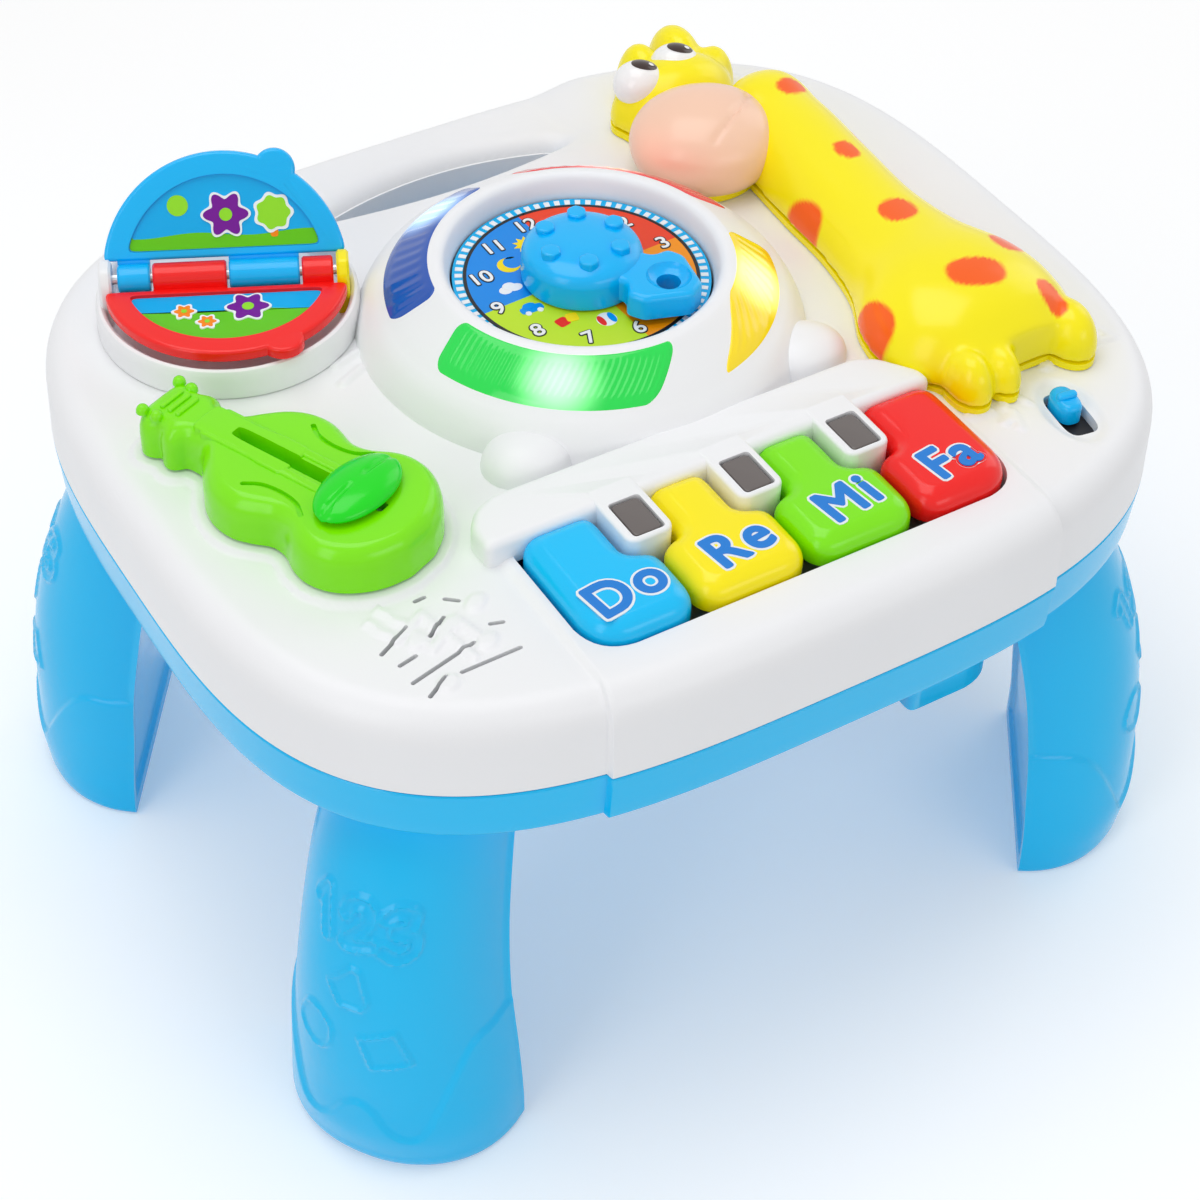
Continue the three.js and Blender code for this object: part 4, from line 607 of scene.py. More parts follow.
def spline(table, at):
    table = np.asarray(table, float)
    x, y = table[:, 0], table[:, 1:]
    slope = np.gradient(y, x, axis=0)
    at = np.clip(at, x[0], x[-1])
    i = np.clip(np.searchsorted(x, at) - 1, 0, len(x) - 2)
    h = (x[i + 1] - x[i])[:, None]
    t = ((at - x[i])[:, None]) / h
    return ((2 * t ** 3 - 3 * t ** 2 + 1) * y[i] + (t ** 3 - 2 * t ** 2 + t) * h * slope[i]
            + (3 * t ** 2 - 2 * t ** 3) * y[i + 1] + (t ** 3 - t ** 2) * h * slope[i + 1])


def smooth_path(path, points):
    """A soft curve through the points of a path."""
    path = np.array(path, float)
    order = np.arange(len(path))
    return spline(np.column_stack([order, path]), np.linspace(0, len(path) - 1, points))


def smooth_step(value, low, high):
    t = np.clip((value - low) / (high - low), 0, 1)
    return t * t * (3 - 2 * t)


# %% Distances, for soft reliefs
TINY = 1e-12
PAIRS_AT_ONCE = 400000


def distance_to_path(points, path, closed=False):
    path = np.asarray(path, float)
    starts = path if closed else path[:-1]
    along = (np.roll(path, -1, 0) if closed else path[1:]) - starts
    square = np.maximum((along ** 2).sum(axis=1), TINY)
    best = np.zeros(len(points))
    blocks = max(1, len(points) * len(starts) // PAIRS_AT_ONCE)
    for block in np.array_split(np.arange(len(points)), blocks):
        gap_x = points[block, 0, None] - starts[None, :, 0]
        gap_y = points[block, 1, None] - starts[None, :, 1]
        t = np.clip((gap_x * along[:, 0] + gap_y * along[:, 1]) / square, 0, 1)
        square_away = (gap_x - t * along[:, 0]) ** 2 + (gap_y - t * along[:, 1]) ** 2
        best[block] = np.sqrt(square_away.min(axis=1))
    return best


def inside(points, outline):
    x, y = points[:, 0], points[:, 1]
    result = np.zeros(len(points), bool)
    for (ax, ay), (bx, by) in zip(outline, np.roll(outline, -1, 0)):
        crosses = (ay > y) != (by > y)
        reach = (bx - ax) * (y - ay) / np.where(by == ay, TINY, by - ay) + ax
        result ^= crosses & (x < reach)
    return result


def signed_distance(points, outline):
    away = distance_to_path(points, outline, closed=True)
    return np.where(inside(points, outline), -away, away)


# %% Cutting and joining
def solid_combine(base, operation, tools):
    graph = bpy.context.evaluated_depsgraph_get
    for tool in tools:
        step = base.modifiers.new("combine", "BOOLEAN")
        step.operation = operation
        step.solver = "MANIFOLD"
        step.object = tool
        made = bpy.data.meshes.new_from_object(base.evaluated_get(graph()))
        base.modifiers.clear()
        old = base.data
        base.data = made
        bpy.data.meshes.remove(old)
        bpy.data.objects.remove(tool)
    base.data.shade_smooth()
    base.data.set_sharp_from_angle(angle=math.radians(SHARP_ANGLE))
    return base


def tool_from(part):
    return add_object("tool", *part)


print("drawing helpers ready")

# %% [markdown]
# ## The white top
#
# The top is one deep moulding with a soft rounded rim. Its surface swells over the keys, drops to
# a rounded carrying bar at the back, rises in a low step round the guitar's foot and carries faint
# reliefs. A box with a bevel has none of that. So the skin is a net of rings that follow the
# outline, and a height function shapes the net. Openings are cut afterwards, so that their edges
# stay crisp.

# %% The case outline
OUTLINE_POWER = 3.3
HALF_DEPTH = 129.3
SKIRT_BOTTOM = 130
SEAM = 147
TOP = 174
WALL = 2.5
PIANO_HALF = 72
CLOCK_MIDDLE = (0, 10.4)
NET_COLUMNS = 1200
PIANO_STEP = 0.9
FINE_POINTS = 8000
STEP_REACH = 3
STEP_CROWDING = 5


def case_outline():
    """The case's outline, with its points closer together where the piano block steps out."""
    t = np.linspace(0, 2 * np.pi, FINE_POINTS, endpoint=False)
    fine = np.column_stack([HALF_WIDTH * powered(np.cos(t), OUTLINE_POWER),
                            HALF_DEPTH * powered(np.sin(t), OUTLINE_POWER)])
    closed = np.vstack([fine, fine[:1]])
    middle = (closed[1:] + closed[:-1]) / 2
    step = np.linalg.norm(np.diff(closed, axis=0), axis=1)
    near_step = (np.abs(np.abs(middle[:, 0]) - PIANO_HALF) < STEP_REACH) & (middle[:, 1] < 0)
    length = np.concatenate([[0], np.cumsum(step * np.where(near_step, STEP_CROWDING, 1))])
    return points_at(closed, length, np.linspace(0, length[-1], NET_COLUMNS, endpoint=False))


rim = case_outline()
rim_out = outward(rim)
proud_share = (smooth_step(PIANO_HALF + PIANO_STEP / 2 - np.abs(rim[:, 0]), 0, PIANO_STEP)
               * (rim[:, 1] < 0))


def rim_ring(inset, z, proud=1.0):
    shift = proud_share * PIANO_PROUD * proud - inset
    return np.column_stack([rim + rim_out * shift[:, None], np.broadcast_to(z, len(rim))])


print("rim points:", len(rim))

# %% Where things stand on the top
HANDLE_HALF = 42
HANDLE_NEAR = (87, 5)
HANDLE_FAR = (106, 8)
HANDLE_TIP = (2.4, 94.6)
HANDLE_STEP = 0.8
HANDLE_SOFTENING = 14
HANDLE_BAR_DROP = 4.2
GUITAR_HEAD = (-125.3, 20)
GUITAR_TURN = -66
GUITAR_MIDDLE = -1
GUITAR_HALF_WIDTHS = [  # along the guitar, and half its width there
    [-4, 5.5], [-2.6, 8.6], [0.5, 10.4], [3.6, 9.6], [5, 8.4], [6.6, 10], [9.6, 11], [12.2, 9.4],
    [13.4, 7.6], [19.5, 8], [23, 12], [28, 17.2], [34, 20.6], [41, 21.6], [47, 20], [52, 17.9],
    [57, 18.6], [62, 21.6], [68, 23.2], [75, 22], [81, 18], [85.5, 12.2], [88.3, 5]]
GUITAR_SIDE_POINTS = 160
GUITAR_STEP = 0.7
GUITAR_SOFTENING = 3


def handle_opening():
    """Two shallow arcs and a point at each end, softened into one rounded slot."""
    t = np.linspace(-1, 1, 41)
    near = np.column_stack([HANDLE_HALF * t, HANDLE_NEAR[0] + HANDLE_NEAR[1] * t ** 2])
    far = np.column_stack([HANDLE_HALF * t, HANDLE_FAR[0] - HANDLE_FAR[1] * t ** 2])[::-1]
    tip_x, tip_y = HANDLE_HALF + HANDLE_TIP[0], HANDLE_TIP[1]
    ring = np.vstack([near, [[tip_x, tip_y]], far, [[-tip_x, tip_y]]])
    return resample(ring, HANDLE_STEP, HANDLE_SOFTENING)


def guitar_outline():
    table = np.array(GUITAR_HALF_WIDTHS)
    left = np.column_stack([table[:, 0], GUITAR_MIDDLE - table[:, 1]])
    right = np.column_stack([table[:, 0], GUITAR_MIDDLE + table[:, 1]])[::-1]
    fine = np.vstack([smooth_path(side, GUITAR_SIDE_POINTS) for side in (left, right)])
    return resample(fine[::-1], GUITAR_STEP, GUITAR_SOFTENING)[::-1]


def counter_clockwise(ring):
    x, y = ring[:, 0], ring[:, 1]
    area = np.sum(x * np.roll(y, -1) - np.roll(x, -1) * y)
    return ring if area > 0 else ring[::-1]


guitar_ring = counter_clockwise(guitar_outline())
guitar_on_top = turn_about(guitar_ring, GUITAR_TURN, GUITAR_HEAD)
handle_ring = counter_clockwise(handle_opening())
print("guitar outline:", len(guitar_ring), "points; handle opening:", len(handle_ring))

# %% [markdown]
# ## Height of the top
#
# Each feature adds its share to the height at a point. Distances to outlines, taken through a soft
# step, give the rounded edges that a mould has. The small reliefs are toy shapes: zigzags, leaves,
# triangles and notes, standing a little under a millimetre above the surface.

# %% Small shapes on the top
RELIEF_RISE = 0.85
RELIEF_LINES = [
    [(-107.5, -68), (-103.5, -77.5), (-98.5, -74.5), (-97, -84.5), (-91.5, -80.5), (-88.5, -92)],
    [(-112, -71), (-108.5, -80), (-103.5, -78), (-102, -87.5), (-96.5, -84), (-94, -95)],
    [(83.5, -83.5), (88, -77), (91, -84)], [(80, -88.5), (85, -85.5), (82.5, -92)],
    [(72, -82), (77, -76), (79.5, -82.5), (72, -82)],
    [(112, -60), (118, -55), (121, -61)], [(124, -72), (129, -66), (131, -73), (124, -72)],
    [(102, 96), (108, 101), (110, 94), (102, 96)], [(118, 82), (123, 88), (126, 81)],
    [(114, 62), (121, 66), (121, 59), (114, 62)], [(-127, 33), (-121, 37), (-119, 31)],
    [(-74, 18), (-66, 22)], [(-72, 26), (-64, 29)], [(-62, 6), (-60, 14)],
]
RELIEF_BLOBS = [  # middle, half sizes and turn
    ((-60, 47), 3.4, 2.6, 20), ((-52, 52), 3.4, 2.6, 70), ((-66, -60), 3, 2.3, 35),
    ((-58, -64), 3, 2.3, -20), ((88, -67), 3.6, 2.2, 40), ((96, -70), 3.4, 2.2, -30),
    ((106, -74), 3, 2, 15), ((-104.1, -82.9), 3.6, 2.8, 30), ((-93.3, -81.8), 3.6, 2.8, 30),
    ((-88.2, -91.5), 3.6, 2.8, 30), ((-104.0, -99.8), 3.6, 2.8, 30), ((-84.0, -77.7), 3.6, 2.8, 30),
    ((-113, -30), 2.8, 2, 15), ((-56, -96), 2.6, 2, 30)]
RELIEF_HALF_WIDTH = 1.1
RELIEF_MARGIN = 4
RELIEF_EDGE = (-0.3, 0.6)
BLOB_EDGE = (0.7, 1.1)


def relief_height(xy):
    lift = np.zeros(len(xy))
    for line in RELIEF_LINES:
        low, high = np.min(line, 0) - RELIEF_MARGIN, np.max(line, 0) + RELIEF_MARGIN
        near = np.all((xy > low) & (xy < high), axis=1)
        if near.any():
            d = distance_to_path(xy[near], line)
            edge = [RELIEF_HALF_WIDTH + side for side in RELIEF_EDGE]
            lift[near] = np.maximum(lift[near], 1 - smooth_step(d, *edge))
    for centre, a, b, turn in RELIEF_BLOBS:
        local = turn_about(xy - centre, -turn)
        d = np.hypot(local[:, 0] / a, local[:, 1] / b)
        lift = np.maximum(lift, 1 - smooth_step(d, *BLOB_EDGE))
    return lift * RELIEF_RISE


print("relief lines:", len(RELIEF_LINES), "and blobs:", len(RELIEF_BLOBS))

# %% Height function
PIANO_RISE = 1.2
PIANO_BACK = -58
PIANO_SIDE_EDGE = (-0.4, 2.6)
PIANO_BACK_EDGE = (-2, 2)
BAR_NEAR_EDGE = (84, 101)
BAR_LEFT_EDGE = (-66, -50)
BAR_RIGHT_EDGE = (47, 66)
HANDLE_EDGE = 7.5
HANDLE_EDGE_SHARES = (0.45, 0.55)
HANDLE_EDGE_TURN = (90, 98)
HANDLE_ZONE = (-62, 62, 70, 200)
GUITAR_LEDGE = 2.2
GUITAR_LEDGE_EDGE = 1.6
GUITAR_LEDGE_RISE = 1.3
GUITAR_ZONE = (-200, -60, -80, 45)
FAR_AWAY = 99.0
SWITCH_AT = (100, -93)
SWITCH_TURN = 82
DISH = (14.5, 8.6)
DISH_DEPTH = 1.3
DISH_EDGE = (0.72, 1.08)


def distance_in_zone(xy, ring, zone):
    """Signed distance to a ring, worked out only for the points near it."""
    left, right, low, high = zone
    near = (xy[:, 0] > left) & (xy[:, 0] < right) & (xy[:, 1] > low) & (xy[:, 1] < high)
    d = np.full(len(xy), FAR_AWAY)
    d[near] = signed_distance(xy[near], ring)
    return d


def switch_dish(xy):
    local = turn_about(xy - SWITCH_AT, -SWITCH_TURN)
    d = np.hypot(local[:, 0] / DISH[0], local[:, 1] / DISH[1])
    return DISH_DEPTH * (1 - smooth_step(d, *DISH_EDGE))


def case_height(xy):
    x, y = xy[:, 0], xy[:, 1]
    h = np.full(len(xy), float(TOP))
    across = smooth_step(PIANO_HALF - np.abs(x), *PIANO_SIDE_EDGE)
    h += PIANO_RISE * (across * smooth_step(PIANO_BACK - y, *PIANO_BACK_EDGE))
    bar = smooth_step(y, *BAR_NEAR_EDGE) * smooth_step(x, *BAR_LEFT_EDGE)
    h -= HANDLE_BAR_DROP * (bar * (1 - smooth_step(x, *BAR_RIGHT_EDGE)))
    d = distance_in_zone(xy, handle_ring, HANDLE_ZONE)
    least, more = HANDLE_EDGE_SHARES
    r = HANDLE_EDGE * (least + more * smooth_step(y, *HANDLE_EDGE_TURN))
    inner = np.clip(r - d, 0, r)
    h -= r - np.sqrt(np.maximum(r ** 2 - inner ** 2, 0))
    d = distance_in_zone(xy, guitar_on_top, GUITAR_ZONE)
    h += GUITAR_LEDGE_RISE * (1 - smooth_step(d, GUITAR_LEDGE, GUITAR_LEDGE + GUITAR_LEDGE_EDGE))
    return h + (relief_height(xy) - switch_dish(xy))


print("the top is at", TOP, "mm, and the piano block", PIANO_RISE, "mm above it")

# %% Skin of the top
SIDE_DRAFT = 1.0
SEAM_BEVEL = 0.5
WALL_START = 3
WALL_RINGS = 6
RIM_ROUND = 9.5
RIM_DROP = 11.5
RIM_STEPS = 14
RIM_POWER = 2.2
PROUD_LOST = 0.3
PROUD_ON_TOP = 0.7
BAND = 26
BAND_RINGS = 20
FIELD_RINGS = 68
CLOCK_WELL = 52.8
SKIN_FLOOR = 163
SKIN_UNDER = [(14, 0, 0), (5, 2, 0.5), (WALL, 6, 1.0)]  # inset, drop, share of the piano's step


def round_the_clock(angle, radius):
    return np.column_stack([CLOCK_MIDDLE[0] + radius * np.cos(angle),
                            CLOCK_MIDDLE[1] + radius * np.sin(angle)])


def outer_wall():
    rings = [rim_ring(WALL, SEAM), rim_ring(SEAM_BEVEL, SEAM), rim_ring(0, SEAM + SEAM_BEVEL)]
    wall_top = TOP - RIM_DROP
    for z in np.linspace(SEAM + WALL_START, wall_top, WALL_RINGS):
        rings.append(rim_ring(SIDE_DRAFT * (z - SEAM) / (TOP - SEAM), z))
    for angle in np.linspace(0, np.pi / 2, RIM_STEPS + 1)[1:]:
        across = 1 - np.cos(angle) ** (2 / RIM_POWER)
        up = np.sin(angle) ** (2 / RIM_POWER)
        inset = SIDE_DRAFT * (wall_top - SEAM) / (TOP - SEAM) + RIM_ROUND * across
        ring = rim_ring(inset, 0, 1 - PROUD_LOST * across)
        ring[:, 2] = wall_top + up * (case_height(ring[:, :2]) - wall_top)
        rings.append(ring)
    return rings


def top_skin():
    rings = outer_wall()
    inset = SIDE_DRAFT + RIM_ROUND
    for share in np.linspace(0, 1, BAND_RINGS + 1)[1:]:
        ring = rim_ring(inset + share * (BAND - inset), 0, PROUD_ON_TOP * (1 - share))
        ring[:, 2] = case_height(ring[:, :2])
        rings.append(ring)
    last = rings[-1][:, :2]
    angle = np.arctan2(last[:, 1] - CLOCK_MIDDLE[1], last[:, 0] - CLOCK_MIDDLE[0])
    circle = round_the_clock(angle, CLOCK_WELL)
    for share in np.linspace(0, 1, FIELD_RINGS + 1)[1:]:
        xy = last + (circle - last) * share
        rings.append(np.column_stack([xy, case_height(xy)]))
    rings.append(at_height(circle, SKIN_FLOOR))
    rings += [rim_ring(inset, SKIN_FLOOR - drop, proud) for inset, drop, proud in SKIN_UNDER]
    return np.vstack(rings), ring_faces(len(rings), len(rim), closed=True)


top_shell = add_object("white_top", *top_skin(), white_shell)
print("top skin faces:", len(top_shell.data.polygons))

# %% [markdown]
# ## Openings and the key ledge
#
# The key well, the carrying opening, the sound slots and the switch slot are cut with boolean
# modifiers, whose manifold solver is quick and keeps a closed solid closed. The ledge behind the
# keys and the window blocks are joined on, as they are one moulding with the top on the real toy.
# The tube round the carrying opening is a thin sleeve of its own.

# %% Tube, ledge and window blocks
LEDGE_TOP = 181.8
LEDGE_LOW = 172.6
LEDGE_ROUND = 2.6
LEDGE = [(-75.5, -68.6), (67.8, -68.6), (67.4, -63.5), (60, -53.5), (54, -50), (-64, -50), (-71, -53),
         (-75.5, -59)]
LEDGE_CORNERS = [2.2, 1.5, 2.2, 4, 4, 6, 6, 6]
WINDOW_PLACES = (-35, 0, 35)
WINDOW_BLOCK = (7.2, -85.6, -62)  # half width, front and back
WINDOW_BLOCK_CORNERS = [3.2, 3.2, 0.6, 0.6]
WINDOW_BLOCK_LOW = 170
WINDOW_BLOCK_TOP = 182
WINDOW_BLOCK_ROUND = 1.1
WINDOW_POCKET = (4.9, -84.2, -69.8)
WINDOW_CORNER = 1.2
POCKET_FLOOR = 178.8
SLEEVE_TOP = TOP - HANDLE_EDGE - 1.4
CLEAR_ABOVE = 3
FINE_STEP = 0.5
FINEST_STEP = 0.4


def handle_sleeve(low, high):
    outer = offset(handle_ring, WALL)
    rings = [at_height(handle_ring, low), at_height(outer, low), at_height(outer, high),
             at_height(handle_ring, high)]
    return np.vstack(rings), ring_faces(len(rings), len(handle_ring), closed=True)


def rectangle(x_low, x_high, y_low, y_high):
    return [(x_low, y_low), (x_high, y_low), (x_high, y_high), (x_low, y_high)]


def key_ledge():
    ring = rounded_corners(LEDGE, LEDGE_CORNERS)
    return moulded_plate(ring, LEDGE_LOW, LEDGE_TOP, LEDGE_ROUND)


def window_block(x):
    half, front, back = WINDOW_BLOCK
    ring = rounded_corners(rectangle(x - half, x + half, front, back), WINDOW_BLOCK_CORNERS, FINE_STEP)
    return moulded_plate(ring, WINDOW_BLOCK_LOW, WINDOW_BLOCK_TOP, WINDOW_BLOCK_ROUND)


def window_pocket(x):
    half, front, back = WINDOW_POCKET
    ring = rounded_corners(rectangle(x - half, x + half, front, back), WINDOW_CORNER, FINEST_STEP)
    return loft([at_height(ring, POCKET_FLOOR), at_height(ring, WINDOW_BLOCK_TOP + CLEAR_ABOVE)])


sleeve = add_object("handle_sleeve_white", *handle_sleeve(SEAM, SLEEVE_TOP), white_shell)
place(sleeve, "table", "white_shell")
print("handle sleeve:", len(sleeve.data.polygons), "faces")

# %% Cutting the openings
KEY_CLEAR = 0.9
KEY_FRONT = -111
KEY_ENDS = (-66.9, 67.9)
WELL_BACK = -53.5
WELL_MIDDLE = -66.5
WELL_CORNERS = [12, 12, 3, 3]
UNDER_LEDGE_FRONT = -69.5
UNDER_LEDGE_LEAN = (6, 8)
UNDER_LEDGE_CORNER = 1.5
WELL_LOW = 140
CUT_HIGH = 200


def key_well():
    left, right = KEY_ENDS[0] - KEY_CLEAR, KEY_ENDS[1] + KEY_CLEAR
    ring = rounded_corners(rectangle(left, right, KEY_FRONT - KEY_CLEAR, WELL_MIDDLE), WELL_CORNERS)
    return loft([at_height(ring, WELL_LOW), at_height(ring, CUT_HIGH)])


def under_ledge():
    left, right = KEY_ENDS[0] - KEY_CLEAR, KEY_ENDS[1] + KEY_CLEAR
    corners = [(left, UNDER_LEDGE_FRONT), (right, UNDER_LEDGE_FRONT),
               (right - UNDER_LEDGE_LEAN[1], WELL_BACK), (left + UNDER_LEDGE_LEAN[0], WELL_BACK)]
    ring = rounded_corners(corners, UNDER_LEDGE_CORNER)
    return loft([at_height(ring, WELL_LOW), at_height(ring, CUT_HIGH)])


print("key well:", KEY_ENDS[1] - KEY_ENDS[0] + 2 * KEY_CLEAR, "mm long")

# %% Sound slots, switch slot and the carrying opening
SLOT_WIDTH = 1.3
SLOT_CAP_POINTS = 11
GRILLE_AT = (-97, -80)
GRILLE = [  # ends of each slot
    (-17, -2.4, -7.4, 2.7), (-3.2, -2.7, 3.1, 1.6), (-14.8, -8.2, -9.7, -7.1),
    (-14.8, -15.2, 5.4, -10.2), (-2.2, -17.9, 14.9, -17.6), (-13.2, -21.4, -6.6, -17.4),
    (-0.6, 10.4, 2.2, 10.6), (6.6, 7.4, 9.4, 5.1), (12.4, -6.4, 15.6, -7.4)]
SWITCH_SLOT = (9.4, 5.1)
SWITCH_SLOT_POWER = 4
HANDLE_CUT_STEP = 2.0
HANDLE_CUT_LOW = SEAM - 5.3
CUT_SHIFT = 0.013


def round_slot(x0, y0, x1, y1):
    a = np.linspace(-np.pi / 2, np.pi / 2, SLOT_CAP_POINTS)
    cap = SLOT_WIDTH / 2 * np.column_stack([np.cos(a), np.sin(a)])
    reach = math.hypot(x1 - x0, y1 - y0) / 2
    ring = np.vstack([cap + (reach, 0), -cap - (reach, 0)])
    middle = ((x0 + x1) / 2, (y0 + y1) / 2)
    return turn_about(ring, math.degrees(math.atan2(y1 - y0, x1 - x0))) + middle


def hole(ring, low=WELL_LOW):
    ring = counter_clockwise(np.asarray(ring))
    return loft([at_height(ring, low), at_height(ring, CUT_HIGH)])


grille_holes = [hole(round_slot(*ends) + GRILLE_AT) for ends in GRILLE]
switch_hole = hole(ellipse(SWITCH_AT, *SWITCH_SLOT, SWITCH_TURN, 48, SWITCH_SLOT_POWER))
handle_cut = resample(handle_ring, HANDLE_CUT_STEP) + CUT_SHIFT
cuts = [hole(handle_cut, HANDLE_CUT_LOW), key_well(), under_ledge(), switch_hole, *grille_holes]
blocks = [key_ledge(), *map(window_block, WINDOW_PLACES)]
solid_combine(top_shell, "DIFFERENCE", [tool_from(part) for part in cuts])
solid_combine(top_shell, "UNION", [tool_from(part) for part in blocks])
solid_combine(top_shell, "DIFFERENCE", [tool_from(window_pocket(x)) for x in WINDOW_PLACES])
place(top_shell, "table", "white_shell", "top_shell")
print("white top:", len(top_shell.data.polygons), "faces")

# %% [markdown]
# ## The blue base
#
# Under the white top runs a blue skirt that leans in a little towards the floor. A plain loft of
# the same outline makes it, with the piano block's step carried down the front. The carrying
# opening passes through it, and a rounded battery housing hangs below at the front right.

# %% Skirt and battery housing
SEAM_GAP = 0.3
SKIRT_LEAN = 1.2
SKIRT_ROUND = 1.6
BAY = (43.5, 77.5, -108, -39.5)
BAY_BOTTOM = 92
BAY_CORNERS = [2.5, 14, 2.5, 2.5]
BAY_STEP = 1.0
BAY_FOOT = (0.6, 0.8)
BAY_OVERLAP = 2
DOOR_INSET = 2.2
DOOR_ROOM = (-1, 17)
CASE_SCREWS = [(122, 28), (-122, 28), (122, -38), (-122, -38)]
SCREW_WELL = 3.2
SCREW_WELL_TOP = 141
SKIRT_EDGE = 0.4
SKIRT_RINGS = 6
CLEAR_BELOW = 2
HANDLE_CLEAR_BELOW = 5


def skirt():
    top = SEAM - SEAM_GAP
    rings = [rim_ring(SKIRT_LEAN + SKIRT_ROUND * (1 - math.sin(a)),
                      SKIRT_BOTTOM + SKIRT_ROUND * (1 - math.cos(a)))
             for a in np.linspace(0, math.pi / 2, SKIRT_RINGS)]
    for z in np.linspace(SKIRT_BOTTOM + WALL_START, top - SKIRT_EDGE, SKIRT_RINGS):
        rings.append(rim_ring(SKIRT_LEAN * (top - z) / (top - SKIRT_BOTTOM), z))
    rings.append(rim_ring(SKIRT_EDGE, top))
    return loft(rings)


def bay_ring(inset=0.0):
    return offset(rounded_corners(rectangle(*BAY), BAY_CORNERS, BAY_STEP), -inset)


base = add_object("blue_base", *skirt(), sky_blue)
foot_inset, foot_high = BAY_FOOT
bay_walls = loft([at_height(bay_ring(foot_inset), BAY_BOTTOM), at_height(bay_ring(), BAY_BOTTOM + foot_high),
                  at_height(bay_ring(), SKIRT_BOTTOM + BAY_OVERLAP)])
solid_combine(base, "UNION", [tool_from(bay_walls)])
well_rings = [counter_clockwise(ellipse(at, SCREW_WELL, SCREW_WELL, 0, 24)) for at in CASE_SCREWS]
wells = [loft([at_height(ring, SKIRT_BOTTOM - CLEAR_BELOW), at_height(ring, SCREW_WELL_TOP)])
         for ring in well_rings]
door_room = loft([at_height(bay_ring(DOOR_INSET), BAY_BOTTOM + z) for z in DOOR_ROOM])
cuts = [hole(handle_cut, SKIRT_BOTTOM - HANDLE_CLEAR_BELOW), door_room, *wells]
solid_combine(base, "DIFFERENCE", [tool_from(part) for part in cuts])
place(base, "table", "sky_blue", "base_shell")
print("blue base:", len(base.data.polygons), "faces")

# %% [markdown]
# ## Legs
#
# Four hollow legs with a D section, round outside and flat towards the middle, widen towards the
# foot. A raised boot line, toy shapes and counting numbers stand on the round side. One function
# gives the leg's surface as a place along the round and a height, so the reliefs are drawn in that
# unrolled sheet as thin paths, and lift the surface along its normal. The legs come from one
# mould: the two that face the other way carry the same sheet turned over.

# %% Leg sections
LEG_LEVELS = np.array([  # height, front corner, side corner and bulge
    [0, 91.6, 117.8, 133, 57.6, 32.5], [3, 91.7, 117.7, 132.8, 57.8, 34.6],
    [8, 91.7, 117.5, 132.5, 58, 35.8], [15, 91.8, 117, 131.8, 58.4, 37.2],
    [30, 91.9, 114.9, 130.2, 58.1, 38.2], [50, 92.1, 111.5, 128.4, 57.8, 38.4],
    [75, 90.3, 106.9, 124.4, 56.6, 38.2], [100, 86.1, 101.6, 119.8, 54.8, 35.9],
    [129.7, 79.3, 94.5, 112.6, 53.8, 31]])
LEG_POWER = 2.14
LEG_BACK_SHIFT = np.array([10.8, -11.6])
LEG_ROUND_POINTS = 150
LEG_FLAT_POINTS = 40
LEG_FINE_POINTS = 400
LEG_ROWS = 165
LEG_FOOT_ROUND = 2.4


def leg_ring(z, shrink=0.0):
    row = spline(LEG_LEVELS, np.array([z]))[0]
    front, side, bulge = row[:2], row[2:4], row[4]
    middle, along = (front + side) / 2, side - front
    half = np.linalg.norm(along) / 2
    along = along / np.linalg.norm(along)
    out = np.array([-along[1], along[0]])
    t = np.linspace(0, np.pi, LEG_FINE_POINTS)
    sideways = -powered(np.cos(t), LEG_POWER) * (half - shrink)
    bulging = np.sin(t) ** (2 / LEG_POWER) * (bulge - shrink)
    fine = middle + np.outer(sideways, along) + np.outer(bulging, out)
    length = walked(fine)
    at = np.linspace(0, length[-1], LEG_ROUND_POINTS)
    curve = points_at(fine, length, at)
    flat = curve[-1] + (curve[0] - curve[-1]) * np.linspace(0, 1, LEG_FLAT_POINTS + 2)[1:-1, None]
    place_along = at - length[-1] / 2
    return curve, flat, place_along, out


print("leg rows:", LEG_ROWS)

# %% Reliefs on the unrolled leg
BOOT_LINE = [(-62, 50), (-50, 49), (-40, 47), (-34, 42), (-30.5, 36), (-26, 27), (-20, 16.5), (-15, 16),
             (-9, 20), (-3, 28), (2, 30.5), (6, 28), (10, 21), (15, 17), (20, 18), (25, 27), (30.5, 37.5),
             (36, 46), (48, 49), (62, 50)]
BOOT_POINTS = 120
BOOT_EDGE = 0.8
BOOT_RISE = 1.1
LINE_RISE = 0.75
LINE_HALF = 0.65
LINE_EDGE = (-0.35, 0.45)
RELIEF_SUNK = 0.3
LEG_SHAPES = {
    "one": [(-15.3, 96.8), (-12.4, 100.6), (-10, 88.2)],
    "two": [(-4.6, 97), (-3, 100.2), (0.6, 101), (2.8, 98.3), (1.5, 94.5), (-3.4, 88.4), (4.4, 89.6)],
    "three": [(7.8, 98.6), (11, 100.8), (15.2, 99.2), (14.4, 95.6), (11, 94.8), (16, 93), (16.6, 88.8),
              (12.6, 86.9), (8.2, 88.8)],
    "square": [(-7.5, 73.5), (-0.4, 80.8), (2.2, 80.2), (5.5, 70.5), (3.8, 67.6), (-3.4, 67.2),
               (-7.5, 73.5)],
    "wheel": [(-19.4, 54.8), (-15.5, 60.2), (-10.7, 60.4), (-6.4, 56.2), (-7.5, 49.5), (-12, 46),
              (-17.5, 47.5), (-20.2, 51), (-19.4, 54.8)],
    "diamond": [(3.0, 57.0), (13.7, 60.8), (18.8, 48.8), (6.7, 46.5), (3.0, 57.0)],
}
ROUND_SHAPES = ("two", "three", "wheel")
COUNTING = ("one", "two", "three")
SHAPE_REACH = 18
CURVE_POINTS = 6
GLYPH_OUTLINE = 1.9


